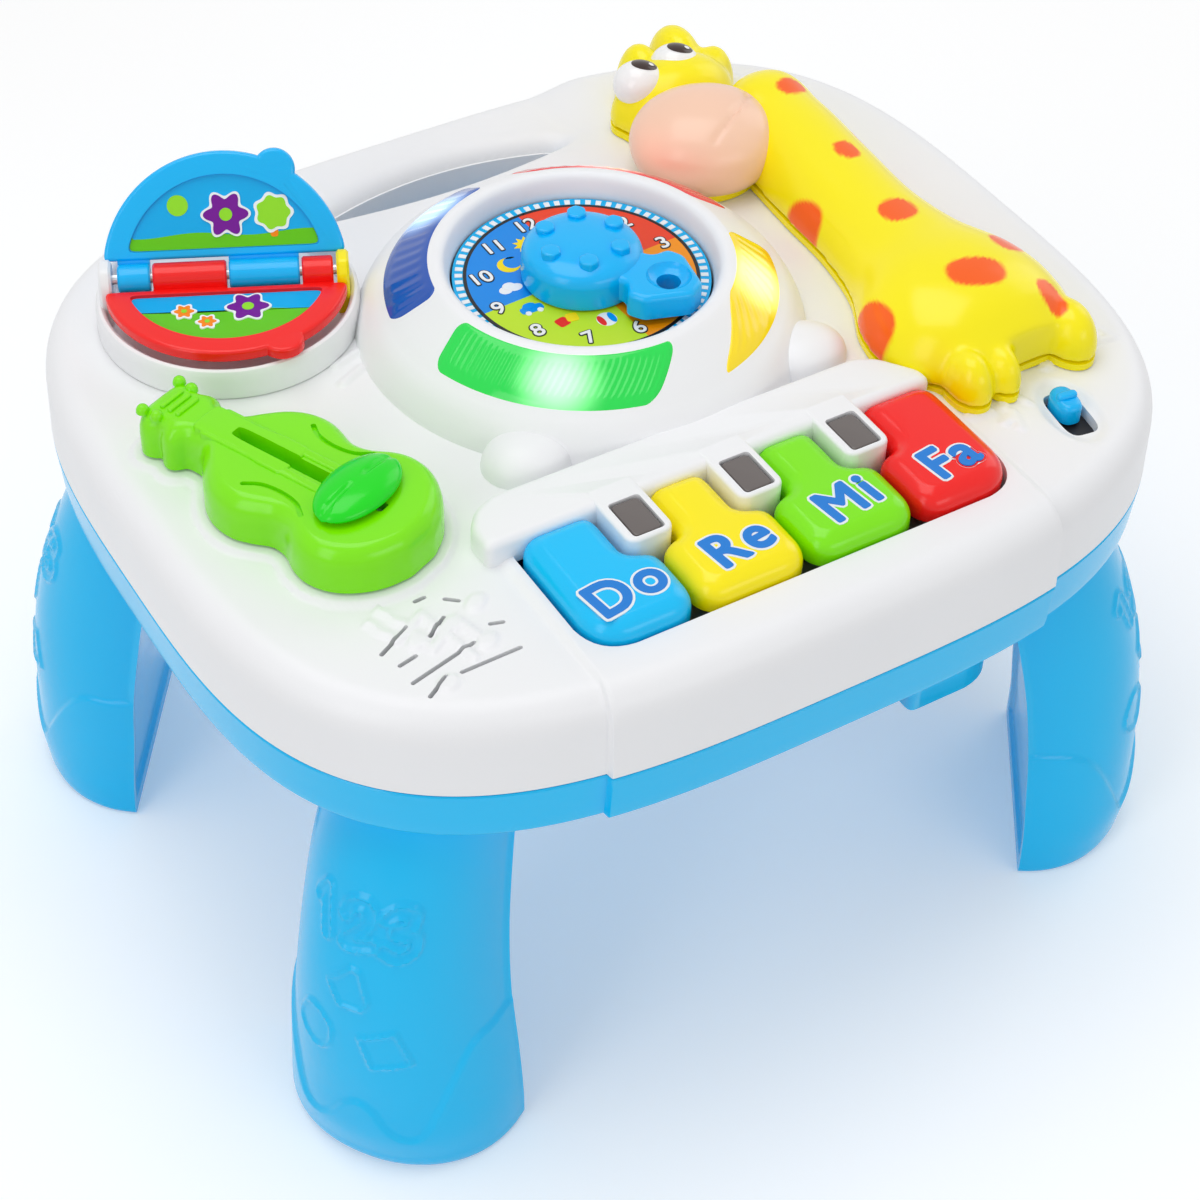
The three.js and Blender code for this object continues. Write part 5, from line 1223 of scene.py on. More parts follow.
def relief_on_leg(t, z):
    sheet = np.column_stack([t, z])
    lift = np.zeros(len(sheet))
    for name, path in LEG_SHAPES.items():
        path = np.array(path, float)
        if name in ROUND_SHAPES:
            path = smooth_path(path, CURVE_POINTS * len(path))
        near = (np.abs(sheet - path.mean(0)) < SHAPE_REACH).all(axis=1)
        d = distance_to_path(sheet[near], path)
        if name in COUNTING:
            d = np.abs(d - GLYPH_OUTLINE)
        edge = [LINE_HALF + side for side in LINE_EDGE]
        lift[near] = np.maximum(lift[near], LINE_RISE * (1 - smooth_step(d, *edge)))
    along = np.linspace(BOOT_LINE[0][0], BOOT_LINE[-1][0], BOOT_POINTS)
    boot = np.column_stack([along, spline(BOOT_LINE, along)[:, 0]])
    line_z = np.interp(t, boot[:, 0], boot[:, 1])
    away = distance_to_path(sheet, boot) * np.sign(line_z - z)
    return lift + BOOT_RISE * (smooth_step(away, -BOOT_EDGE, BOOT_EDGE) - 1) - RELIEF_SUNK


print("shapes on each leg:", len(LEG_SHAPES))

# %% Leg meshes
FOOT_STEPS = 5
RELIEF_ENDS = (-1, 4)
RELIEF_FOOT = 3
FLAT_SINK = 1.2
FLAT_BORDER = (3.2, 5.2)
FLAT_FOOT = 1


def raised(curve, out, sheet_t, z):
    """The round side of a section, lifted along its normal by the reliefs."""
    tangent = np.gradient(curve, axis=0)
    normal = np.column_stack([tangent[:, 1], -tangent[:, 0]]) / np.linalg.norm(tangent, axis=1)[:, None]
    normal *= np.sign(normal[len(normal) // 2] @ out)
    lift = relief_on_leg(sheet_t, np.full(len(sheet_t), z))
    middle = LEG_ROUND_POINTS / 2
    fade = smooth_step(middle - np.abs(np.arange(LEG_ROUND_POINTS) - middle + 0.5), *RELIEF_ENDS)
    return curve + normal * (lift * fade * smooth_step(z, 0, RELIEF_FOOT))[:, None]


def pressed(flat, curve, out, z):
    """The flat side of a section, pressed in a little inside its border."""
    share = np.linspace(0, 1, LEG_FLAT_POINTS + 2)[1:-1]
    span = np.linalg.norm(curve[-1] - curve[0])
    edge = np.minimum(np.minimum(share, 1 - share) * span, z - FLAT_FOOT)
    return flat + out * (FLAT_SINK * smooth_step(edge, *FLAT_BORDER))[:, None]


def leg_mesh(side_x, side_y):
    foot = LEG_FOOT_ROUND * (1 - np.cos(np.linspace(0, np.pi / 2, FOOT_STEPS)))[:-1]
    levels = np.concatenate([foot, np.linspace(LEG_FOOT_ROUND, LEG_LEVELS[-1, 0], LEG_ROWS)])
    reader = 1 if side_x * side_y > 0 else -1
    rings = []
    for z in levels:
        low = max(0, LEG_FOOT_ROUND - z)
        shrink = LEG_FOOT_ROUND - math.sqrt(max(LEG_FOOT_ROUND ** 2 - low ** 2, 0))
        curve, flat, sheet_t, out = leg_ring(z, shrink)
        curve = raised(curve, out, -sheet_t * reader, z)
        rings.append(at_height(np.vstack([curve, pressed(flat, curve, out, z)]), z))
    shift = LEG_BACK_SHIFT if side_y > 0 else np.zeros(2)
    points = np.vstack(rings)
    points[:, :2] = (points[:, :2] + shift) * (side_x, side_y)
    faces = loft(rings)[1]
    if side_x * side_y > 0:
        faces = [face[::-1] for face in faces]
    return points, faces


def facing_out(piece):
    mesh = bmesh.new()
    mesh.from_mesh(piece.data)
    bmesh.ops.recalc_face_normals(mesh, faces=mesh.faces)
    mesh.to_mesh(piece.data)
    mesh.free()
    return piece


LEG_SIDES = {"front_left": (-1, -1), "front_right": (1, -1), "back_left": (-1, 1), "back_right": (1, 1)}
for corner, (side_x, side_y) in LEG_SIDES.items():
    leg = facing_out(add_object("leg_" + corner + "_moulded", *leg_mesh(side_x, side_y), sky_blue))
    place(leg, "table", "sky_blue", "leg_" + corner)
print("legs:", len(leg.data.polygons), "faces each")

# %% [markdown]
# ## Keys and their windows
#
# Four chunky keys, hinged under the ledge. Each has a wide soft bevel round a flat top, larger
# corners at the two ends of the row, and a narrow rear that passes between the smoked windows. A
# profile of insets gives the two-step bevel. The note names are raised letters on white backs.

# %% Key bodies
KEY_PITCH = 35
KEY_GAP = 0.9
KEY_STEP = -87
KEY_BACK = -67
KEY_TOP = 181
KEY_UNDER = 171.5
KEY_NOTCH = 8
KEY_CORNER = 7.5
KEY_OUTER_CORNER = 11
KEY_COLOURS = ("blue", "yellow", "green", "red")
KEY_FINISH = {"blue": sky_blue, "yellow": toy_yellow, "green": lime, "red": toy_red}
KEY_SLOT = {"blue": "sky_blue", "yellow": "yellow", "green": "lime", "red": "red"}
KEY_BEVEL = [(0.0, -5.6), (0.2, -4.3), (0.7, -3.1), (1.4, -2.1), (2.3, -1.3), (3.3, -0.7), (4.1, -0.28),
             (4.8, -0.06), (5.4, 0.0)]
KEY_REAR_CORNER = 6
KEY_NOTCH_CORNERS = [5, 3, 4]
KEY_STEP_SPREAD = (-1, 1.5)
KEY_RING_STEP = 0.6
KEY_SOFTENING = 4
KEY_FOOT = 0.5
KEY_ARM = (6.5, -69, -57)  # half width, front and back
KEY_ARM_CORNER = 1
KEY_ARM_HEIGHTS = (-5, 0.6)
LAST_KEY = 3


def key_span(i):
    left = KEY_ENDS[0] if i == 0 else (i - 2) * KEY_PITCH
    right = KEY_ENDS[1] if i == LAST_KEY else (i - 1) * KEY_PITCH
    return left + KEY_GAP / 2, right - KEY_GAP / 2


def notch(x, inward):
    """The step beside a key's rear, from front to back."""
    low, high = (KEY_STEP + spread for spread in KEY_STEP_SPREAD)
    return [(x, low), (x + inward, high), (x + inward, KEY_BACK)]


def key_ring(i):
    x0, x1 = key_span(i)
    corners = [(x0, KEY_FRONT), (x1, KEY_FRONT)]
    corners += [(x1, KEY_BACK)] if i == LAST_KEY else notch(x1, -KEY_NOTCH)
    corners += [(x0, KEY_BACK)] if i == 0 else notch(x0, KEY_NOTCH)[::-1]
    radii = [KEY_OUTER_CORNER if i == end else KEY_CORNER for end in (0, LAST_KEY)]
    radii += [KEY_REAR_CORNER] if i == LAST_KEY else KEY_NOTCH_CORNERS
    radii += [KEY_REAR_CORNER] if i == 0 else KEY_NOTCH_CORNERS[::-1]
    return resample(rounded_corners(corners, radii, FINE_STEP), KEY_RING_STEP, KEY_SOFTENING)


def key_mesh(i):
    ring = key_ring(i)
    rings = [at_height(offset(ring, -KEY_FOOT), KEY_UNDER), at_height(ring, KEY_UNDER + KEY_FOOT)]
    rings += [at_height(pull_in(ring, inset), KEY_TOP + drop) for inset, drop in KEY_BEVEL]
    x0, x1 = key_span(i)
    rear = (x0 + x1) / 2 + {0: -KEY_NOTCH / 2, LAST_KEY: KEY_NOTCH / 2}.get(i, 0)
    half, front, back = KEY_ARM
    arm = rounded_corners(rectangle(rear - half, rear + half, front, back), KEY_ARM_CORNER)
    return loft(rings), loft([at_height(arm, KEY_UNDER + z) for z in KEY_ARM_HEIGHTS])


keys = {}
for i, colour in enumerate(KEY_COLOURS):
    body, arm = key_mesh(i)
    key = add_object("key_" + colour + "_cap", *body, KEY_FINISH[colour])
    solid_combine(key, "UNION", [tool_from(arm)])
    keys[colour] = place(key, colour + "_key", KEY_SLOT[colour], "key_" + colour)
print("keys:", [len(key.data.polygons) for key in keys.values()])

# %% [markdown]
# ## Raised lettering
#
# The keys carry the names of their notes in raised letters with a light edge. A text object with an
# offset would be quick, but its outline crosses itself in the corners when it swells. So the
# outlines are taken from Blender's own font, moved outward and cleared of such loops, and then
# filled as a flat curve with a little thickness. A wider copy in white lies under each blue one.
# Both are thin solids, sunk slightly into the key, so nothing floats.

# %% Letters
LETTER_THICK = 0.35
LETTER_SWELL = 0.5
OUTLINE_SWELL = 1.2
LETTER_STEP = 0.25
LETTER_SHARP = 30
LETTER_CURVE_STEPS = 6
LEAST_RING = 6
SWELL_CLEAR = 0.96
letter_blue = finish("letter_blue", (0.0, 0.2, 0.68), gloss=0.25, coat=0.2)
letter_white = finish("letter_white", (0.86, 0.9, 0.92), gloss=0.3, coat=0.2)


def mesh_of(data):
    holder = bpy.data.objects.new("words", data)
    bpy.context.scene.collection.objects.link(holder)
    made = bpy.data.meshes.new_from_object(holder.evaluated_get(bpy.context.evaluated_depsgraph_get()))
    points = np.array([v.co for v in made.vertices])
    faces = [tuple(p.vertices) for p in made.polygons]
    bpy.data.objects.remove(holder)
    bpy.data.curves.remove(data)
    bpy.data.meshes.remove(made)
    return points, faces


def word_rings(words, size, spacing):
    """The outlines of a word in Blender's own font, with the ink on their left."""
    curve = bpy.data.curves.new("words", "FONT")
    curve.body = words
    curve.size = size
    curve.resolution_u = LETTER_CURVE_STEPS
    curve.space_character = spacing
    points, faces = mesh_of(curve)
    sides = [(a, b) for face in faces for a, b in zip(face, face[1:] + face[:1])]
    known = set(sides)
    ahead = {a: b for a, b in sides if (b, a) not in known}
    rings = []
    while ahead:
        start, at = ahead.popitem()
        ring = [start]
        while at != start:
            ring.append(at)
            at = ahead.pop(at)
        rings.append(points[ring, :2])
    widest = max(rings, key=lambda ring: np.ptp(ring[:, 0]) * np.ptp(ring[:, 1]))
    same = counter_clockwise(widest) is widest
    return rings if same else [ring[::-1] for ring in rings]


def swollen(ring, swell):
    """A ring moved outward, without the loops that form in its narrow corners."""
    even = resample(ring, LETTER_STEP)
    moved = offset(even, swell)
    clear = distance_to_path(moved, even, closed=True) > swell * SWELL_CLEAR
    return moved[clear]


def letter_mesh(words, size, swell, thick, spacing):
    curve = bpy.data.curves.new("words", "CURVE")
    curve.dimensions = "2D"
    curve.fill_mode = "BOTH"
    curve.extrude = thick / 2
    for ring in word_rings(words, size, spacing):
        ring = swollen(ring, swell)
        if len(ring) < LEAST_RING:
            continue
        path = curve.splines.new("POLY")
        path.points.add(len(ring) - 1)
        path.points.foreach_set("co", np.column_stack([ring, np.zeros_like(ring)]).ravel())
        path.use_cyclic_u = True
    return mesh_of(curve)


def letters(name, words, at, size, turn, z, swell, material, spacing=1.0, thick=LETTER_THICK):
    points, faces = letter_mesh(words, size, swell, thick, spacing)
    middle = (points.max(0) + points.min(0)) / 2
    points = turn_about(points - middle, turn, at)
    points[:, 2] += z
    return add_object(name, points, faces, material, sharp=LETTER_SHARP)


print("letters rise", LETTER_THICK, "mm above the keys")

# %% Note names
NOTE_NAMES = {"blue": ("Do", (-51.3, -98.5)), "yellow": ("Re", (-16.6, -98.3)),
              "green": ("Mi", (18.2, -98.3)), "red": ("Fa", (52.4, -98.3))}
NOTE_SIZE = 16.8
NOTE_TURN = 8
NOTE_SPACING = 1.14
for colour, (words, at) in NOTE_NAMES.items():
    back = letters("letters_back_" + colour, words, at, NOTE_SIZE, NOTE_TURN, KEY_TOP,
                   OUTLINE_SWELL, letter_white, NOTE_SPACING)
    face = letters("letters_" + colour, words, at, NOTE_SIZE, NOTE_TURN, KEY_TOP + LETTER_THICK / 2,
                   LETTER_SWELL, letter_blue, NOTE_SPACING)
    place(back, colour + "_key")
    place(face, colour + "_key")
print("lettered keys:", len(NOTE_NAMES))

# %% Smoked windows
PANE = (4.3, -83.6, -70.4)  # half width, front and back
PANE_LOW = 178.9
PANE_TOP = WINDOW_BLOCK_TOP - 0.35
PANE_ROUND = 0.5
for number, x in enumerate(WINDOW_PLACES, 1):
    half, front, back = PANE
    ring = rounded_corners(rectangle(x - half, x + half, front, back), WINDOW_CORNER, FINEST_STEP)
    pane = moulded_plate(ring, PANE_LOW, PANE_TOP, PANE_ROUND)
    place(add_object("window_pane_%d" % number, *pane, smoke), "table", "smoke", "key_window_%d" % number)
print("windows:", len(WINDOW_PLACES))

# %% [markdown]
# ## The clock
#
# A white turned housing rises to a crest round the dial. Four coloured lenses sit in its slope,
# each fluted inside, with a painted glow round the small lamp under it. The dial is a printed
# disc with numbers and little generic pictures, and a knob like a key turns on it. The housing is
# turned from a smooth profile.
# The lenses are patches of the same profile lifted a little, so they follow it exactly.

# %% Housing
CLOCK_PROFILE = [(38, 188.2), (38.2, 191.6), (39.4, 195.2), (40.6, 196.6), (42, 197), (43.6, 196.7),
                 (45.2, 195.9), (50.5, 192.2), (55, 189.0), (58.2, 186.4), (60.2, 184.8), (62.2, 182.6),
                 (64.2, 179.2), (65.4, 176.4), (66, 174.1)]
CLOCK_UNDER = [(66, 172.5), (38, 172.5)]
CLOCK_PROFILE_POINTS = 60
CLOCK_STEPS = 220
CLOCK_FEET = [(-45, -36.6), (47, -35.6)]
CLOCK_FOOT = (13.5, 11.5, 9.0)
FOOT_SUNK = 0.3
BALL_POWER = 2.2
housing_profile = smooth_path(CLOCK_PROFILE, CLOCK_PROFILE_POINTS)


def clock_housing():
    outline = [tuple(point) for point in housing_profile] + CLOCK_UNDER
    return turned(outline[::-1], CLOCK_MIDDLE, CLOCK_STEPS, closed=True)


def squashed_ball(centre, half, low, steps=(28, 12)):
    rings = []
    for v in np.linspace(0, np.pi / 2, steps[1], endpoint=False):
        share = np.cos(v) ** (2 / BALL_POWER)
        rings.append(at_height(ellipse(centre, half[0] * share, half[1] * share, 0, steps[0]),
                               low + half[2] * np.sin(v) ** (2 / BALL_POWER)))
    return loft(rings)


housing = facing_out(add_object("clock_housing_turned", *clock_housing(), white_shell))
place(housing, "table", "white_shell", "clock_housing")
for number, at in enumerate(CLOCK_FEET, 1):
    ball = squashed_ball(at, CLOCK_FOOT, TOP - FOOT_SUNK)
    foot = facing_out(add_object("clock_foot_%d" % number, *ball, white_shell))
    place(foot, "table", "white_shell")
print("clock housing:", len(housing.data.polygons), "faces")

# %% Lenses
LENS_IN = 44.2
LENS_OUT = 57.2
LENS_RISE = 0.7
LENS_CORNER = 3.4
LENS_ENDS = {"blue": ((100, 173), (97, 170)), "green": ((190, 275), (193, 260)),
             "yellow": ((-53, -11), (-78, -13)), "red": ((12, 80), (8, 83))}
LENS_FLUTES = {"blue": 14, "green": 34, "yellow": 12, "red": 14}
LENS_GRID = (150, 26)
LENS_SOFT = 2.2
LENS_SUNK = 0.15
LENS_THICK = 1.2
FLUTE_DEPTH = 0.12
FLUTE_START = (1.5, 3)
DEGREES_IN_A_RADIAN = 57.3


def lens_row(colour, v):
    """One row of points along a lens, v going from its inner to its outer edge."""
    (in_0, in_1), (out_0, out_1) = LENS_ENDS[colour]
    wide = LENS_OUT - LENS_IN
    r = LENS_IN + wide * v
    inward = max(0, LENS_CORNER - min(v, 1 - v) * wide)
    cut = math.degrees((LENS_CORNER - math.sqrt(LENS_CORNER ** 2 - inward ** 2)) / r)
    a0, a1 = in_0 + (out_0 - in_0) * v + cut, in_1 + (out_1 - in_1) * v - cut
    share = np.linspace(0, 1, LENS_GRID[0])
    from_end = np.minimum(share, share[::-1]) * abs(a1 - a0) * r / DEGREES_IN_A_RADIAN
    edge = np.minimum(from_end, min(v, 1 - v) * wide)
    flute = FLUTE_DEPTH * np.cos(share * 2 * np.pi * LENS_FLUTES[colour])
    lift = LENS_RISE * np.sqrt(np.clip(edge / LENS_SOFT, 0, 1)) - LENS_SUNK
    lift = lift + flute * smooth_step(edge, *FLUTE_START)
    order = np.argsort(housing_profile[:, 0])
    z = np.interp(r, housing_profile[order, 0], housing_profile[order, 1])
    xy = round_the_clock(np.radians(np.linspace(a0, a1, LENS_GRID[0])), r)
    return at_height(xy, z + lift), at_height(xy, z - LENS_THICK)


def lens_surface(colour):
    across, rows = LENS_GRID
    top, low = zip(*[lens_row(colour, v) for v in (1 - np.cos(np.linspace(0, np.pi, rows))) / 2])
    points = np.vstack(top + low)
    count = across * rows
    faces = []
    for j in range(rows - 1):
        for i in range(across - 1):
            k = j * across + i
            faces.append((k, k + 1, k + across + 1, k + across))
            faces.append((count + k, count + k + across, count + k + across + 1, count + k + 1))
    border = list(range(across - 1))
    border += [j * across + across - 1 for j in range(rows - 1)]
    border += [(rows - 1) * across + i for i in range(across - 1, 0, -1)]
    border += [j * across for j in range(rows - 1, 0, -1)]
    for a, b in zip(border, border[1:] + border[:1]):
        faces.append((b, a, count + a, count + b))
    return points, faces


print("lens grid:", LENS_GRID[0], "by", LENS_GRID[1], "points")

# %% Lens finishes with a painted glow
LENS_COLOURS = {"blue": (0.0, 0.07, 0.42), "green": (0.0, 0.72, 0.07), "yellow": (1.0, 0.74, 0.0),
                "red": (0.8, 0.0, 0.01)}
# Painted light: the colour, place, reach and strength of a glow painted onto each lens round its lamp.
LENS_PAINTED_GLOW_COLOURS = {"blue": (0.5, 0.75, 1.0), "green": (0.55, 1.0, 0.6), "yellow": (1.0, 0.95, 0.45),
              "red": (1.0, 0.5, 0.45)}
PAINTED_GLOW_PLACE = {"blue": (118, 51), "green": (232, 50), "yellow": (-35, 50), "red": (50, 50)}
PAINTED_GLOW_HEIGHT = 191
PAINTED_GLOW_REACH = 0.016
PAINTED_GLOW_LEVELS = (0.02, 1.3)


def lens_finish(colour):
    material = finish("lens_painted_glow_" + colour, LENS_COLOURS[colour], gloss=0.1, spread=0.04, coat=0.15,
                      clear=0.0, shine=0.35)
    tree = material.node_tree
    shader = tree.nodes["Principled BSDF"]
    # The lens lets no light through, so its glow is painted: emission on the lens surface, strongest near its
    # lamp and fading within a short reach, standing in for the lamp's light shining through.
    angle, radius = PAINTED_GLOW_PLACE[colour]
    lamp_xy = round_the_clock(np.radians([angle]), radius)
    at = to_frame(at_height(lamp_xy, PAINTED_GLOW_HEIGHT))[0]
    away = tree.nodes.new("ShaderNodeVectorMath")
    away.operation = "DISTANCE"
    away.inputs[1].default_value = tuple(at)
    tree.links.new(tree.nodes.new("ShaderNodeTexCoord").outputs["Object"], away.inputs[0])
    fall = tree.nodes.new("ShaderNodeMapRange")
    fall.interpolation_type = "SMOOTHERSTEP"
    fall.inputs["From Min"].default_value = PAINTED_GLOW_REACH
    fall.inputs["From Max"].default_value = 0
    fall.inputs["To Min"].default_value, fall.inputs["To Max"].default_value = PAINTED_GLOW_LEVELS
    tree.links.new(away.outputs["Value"], fall.inputs["Value"])
    shader.inputs["Emission Color"].default_value = (*LENS_PAINTED_GLOW_COLOURS[colour], 1)
    tree.links.new(fall.outputs["Result"], shader.inputs["Emission Strength"])
    return material


for colour in LENS_ENDS:
    lens = facing_out(add_object("lens_%s_fluted" % colour, *lens_surface(colour), lens_finish(colour)))
    place(lens, "table", "lens_" + colour, "lens_" + colour)
print("lenses:", len(LENS_ENDS))

# %% [markdown]
# ## The printed dial
#
# The dial's print is drawn in thin solids, each a little above the one under it: four coloured
# quarters, a dashed border, the numbers 1 to 12 and small pictures of a sun, a moon, a cloud, a
# car, a block and a ball. A shader could draw sectors, but shapes made this way stay crisp in any
# renderer.

# %% Dial quarters and border
DIAL_TOP = 190.5
DIAL_UNDER = 189.2
DIAL_HOLE = 3
DIAL_RADIUS = 37.4
DIAL_QUARTERS = {"blue": (90, 180, (0.0, 0.25, 0.78)), "red": (0, 90, (0.85, 0.05, 0.01)),
                 "orange": (-90, 0, (0.95, 0.3, 0.0)), "lime": (180, 270, (0.55, 0.8, 0.02))}
DIAL_SHIFT = 3.5
QUARTER_EDGE = 33.2
RING_EDGE = 34.2
RING_OVERLAP = 0.5
DASHES = (34.4, 36.6)
DASH_WIDE = 2.6
DASH_EVERY = 5
DISC_SUNK = 0.5
PRINT_UNDER = 0.6
INK_SUNK = 0.3
RING_SUNK = 0.25
print_black = finish("print_black", (0.01, 0.01, 0.012), gloss=0.3)
print_white = finish("print_white", (0.9, 0.9, 0.9), gloss=0.3)
print_cyan = finish("print_cyan", (0.0, 0.45, 0.85), gloss=0.3)


def fan(inner, outer, start, end, sunk, steps=40):
    """A printed sector of the dial, its face a little under the height of the dial's top."""
    a = np.radians(np.linspace(start, end, steps))
    ring = np.vstack([np.column_stack([outer * np.cos(a), outer * np.sin(a)]),
                      np.column_stack([inner * np.cos(a), inner * np.sin(a)])[::-1]]) + CLOCK_MIDDLE
    return loft([at_height(ring, DIAL_TOP - PRINT_UNDER), at_height(ring, DIAL_TOP - sunk)])


disc_edge = [(DIAL_HOLE, DIAL_UNDER), (DIAL_RADIUS, DIAL_UNDER), (DIAL_RADIUS, DIAL_TOP - DISC_SUNK),
             (DIAL_HOLE, DIAL_TOP - DISC_SUNK)]
disc = add_object("clock_dial_disc", *turned(disc_edge, CLOCK_MIDDLE, 120, closed=True), print_cyan)
place(facing_out(disc), "table", "dial_print", "clock_dial")
for name, (start, end, colour) in DIAL_QUARTERS.items():
    ink = finish("dial_" + name, colour, gloss=0.3)
    part = fan(DIAL_HOLE, QUARTER_EDGE, start + DIAL_SHIFT, end + DIAL_SHIFT, INK_SUNK)
    place(facing_out(add_object("dial_quarter_" + name, *part, ink)), "table")
rings = merge(*[fan(QUARTER_EDGE, RING_EDGE, a, a + 90 + RING_OVERLAP, RING_SUNK) for a in (0, 90, 180, 270)])
place(facing_out(add_object("dial_black_ring", *rings, print_black)), "table")
dashes = merge(*[fan(*DASHES, a, a + DASH_WIDE, INK_SUNK, 4) for a in np.arange(0, 360, DASH_EVERY)])
place(facing_out(add_object("dial_dashes", *dashes, print_white)), "table")
print("dial quarters:", len(DIAL_QUARTERS))

# %% Numbers
NUMBER_RADIUS = 28.6
NUMBER_SIZE = 7.4
NUMBER_TURN = 0
NUMBER_THICK = 0.12
NUMBER_BACK = (0.24, 0.5)  # how far under the dial's top, and how far swollen
NUMBER_FACE = (0.14, 0.12)
HOUR_ANGLE = 30
NOON_ANGLE = 93.5


def at_hour(hour, radius):
    angle = math.radians(NOON_ANGLE - HOUR_ANGLE * hour)
    return np.array(CLOCK_MIDDLE) + radius * np.array([math.cos(angle), math.sin(angle)])


def dial_number(name, hour, layer, ink):
    sunk, swell = layer
    return letters(name, str(hour), at_hour(hour, NUMBER_RADIUS), NUMBER_SIZE, NUMBER_TURN, DIAL_TOP - sunk,
                   swell, ink, thick=NUMBER_THICK)


for hour in range(1, 13):
    dark = dial_number("number_back_%d" % hour, hour, NUMBER_BACK, print_black)
    pale = dial_number("number_%d" % hour, hour, NUMBER_FACE, print_white)
    place(dark, "table")
    place(pale, "table")
print("numbers on the dial: 12")

# %% Small pictures
PICTURE_RADIUS = 21.5
PICTURE_LOW = DIAL_TOP - 0.4
PICTURE_TOP = DIAL_TOP - 0.24
PICTURE_STEP = 0.06
INKS = {"yellow": (1.0, 0.75, 0.0), "white": (0.9, 0.9, 0.9), "red": (0.85, 0.02, 0.01),
        "blue": (0.0, 0.3, 0.85), "green": (0.1, 0.6, 0.02), "purple": (0.3, 0.02, 0.5)}
ink_finish = {name: finish("ink_" + name, colour, gloss=0.3) for name, colour in INKS.items()}


def star(points, outer, inner_share):
    a = np.linspace(0, 2 * np.pi, points * 2, endpoint=False)
    r = np.where(np.arange(points * 2) % 2 == 0, outer, outer * inner_share)
    return np.column_stack([r * np.cos(a), r * np.sin(a)])


moon_ring = np.vstack([ellipse((0, 0), 3.4, 3.4, 0, 40)[5:36],
                       ellipse((1.5, 0.6), 2.7, 2.7, 0, 40)[5:36][::-1]])
PICTURES = {  # by the hour at which each stands
    11.5: [("yellow", star(10, 4.0, 0.62)), ("yellow", ellipse((0, 0), 2.2, 2.2))],
    10.5: [("yellow", moon_ring)],
    9.5: [("white", ellipse((-1.6, 0), 2, 1.7)), ("white", ellipse((1.5, 0), 2.2, 1.6)),
          ("white", ellipse((0, 1.1), 2, 1.7))],
    8.5: [("blue", ellipse((0, 0.2), 3.6, 1.6, 0, 40, 4)), ("blue", ellipse((-0.2, 1.7), 2, 1.3)),
          ("white", ellipse((-1.9, -1.4), 0.9, 0.9)), ("white", ellipse((1.9, -1.4), 0.9, 0.9))],
    7.5: [("red", ellipse((-1.6, 0), 1.9, 1.9, 12, 30, 5)),
          ("yellow", ellipse((1.8, 0.6), 1.8, 1.8, -10, 30, 5))],
    6.5: [("white", ellipse((0, 0), 3, 3)), ("red", ellipse((-1.7, 0), 1, 2.3)),
          ("blue", ellipse((1.7, 0), 1, 2.3))],
    5.5: [("purple", ellipse((0, 0), 2.8, 2)), ("white", ellipse((0, 1.4), 1.4, 1))],
    2.5: [("green", ellipse((0, 0), 2.8, 2.8, 0, 30, 3))],
    1.5: [("yellow", star(5, 3.2, 0.5))],
    3.5: [("white", ellipse((0, 0), 2.8, 1.8)), ("green", ellipse((0, 0), 1.6, 1.0))],
}
for hour, shapes in PICTURES.items():
    for layer, (ink, ring) in enumerate(shapes):
        ring = counter_clockwise(ring) + at_hour(hour, PICTURE_RADIUS)
        part = loft([at_height(ring, PICTURE_LOW), at_height(ring, PICTURE_TOP + layer * PICTURE_STEP)])
        name = "picture_%d_%d" % (hour * 10, layer)
        place(add_object(name, *part, ink_finish[ink], sharp=LETTER_SHARP), "table")
print("pictures on the dial:", len(PICTURES))

# %% [markdown]
# ## The knob
#
# A round cap with a soft shoulder and six raised studs, and a pointer arm like a key's bit with a
# finger dish and a hole through it. The cap is turned, the arm is a rounded plate, and the two are
# joined and cut as one moulding.

# %% Knob
KNOB_TOP = 203.8
KNOB_LOW = 191.0
KNOB_TURN = -59
KNOB_PROFILE = [(0.6, KNOB_TOP), (6, KNOB_TOP - 0.15), (11, KNOB_TOP - 0.7), (14.2, KNOB_TOP - 1.7),
                (16.4, KNOB_TOP - 3.2), (17.4, KNOB_TOP - 5.2), (17.6, KNOB_TOP - 7),
                (17.6, KNOB_LOW + 0.4), (17.2, KNOB_LOW)]
KNOB_PROFILE_POINTS = 36
KNOB_STUDS = 6
STUD_START = 67
STUD_RING = 11.5
STUD_SIZE = 3.1
STUD_HEIGHTS = (KNOB_TOP - 4, KNOB_TOP + 0.75)
STUD_ROUND = 0.6
STUD_FOOT = 0.1
ARM = [(10, -7.6), (18.5, -7.6), (21, -12.4), (26.5, -12.2), (37, -3.2), (37, 3.2), (26.5, 12.2),
       (21, 12.4), (18.5, 7.6), (10, 7.6)]
ARM_CORNERS = [2, 3, 2.2, 3.4, 3, 3, 3.4, 2.2, 3, 2]
ARM_LOW = KNOB_LOW + 1
ARM_TOP = 200
ARM_ROUND = 2.0
DISH_AT = (27.4, 0.6)
FINGER_DISH = [(0.4, 197.4), (2.6, 197.5), (4.6, 198.1), (6.0, 199.2), (6.9, 200.6)]
FINGER_HOLE = [(3.5, 180), (3.5, 210)]


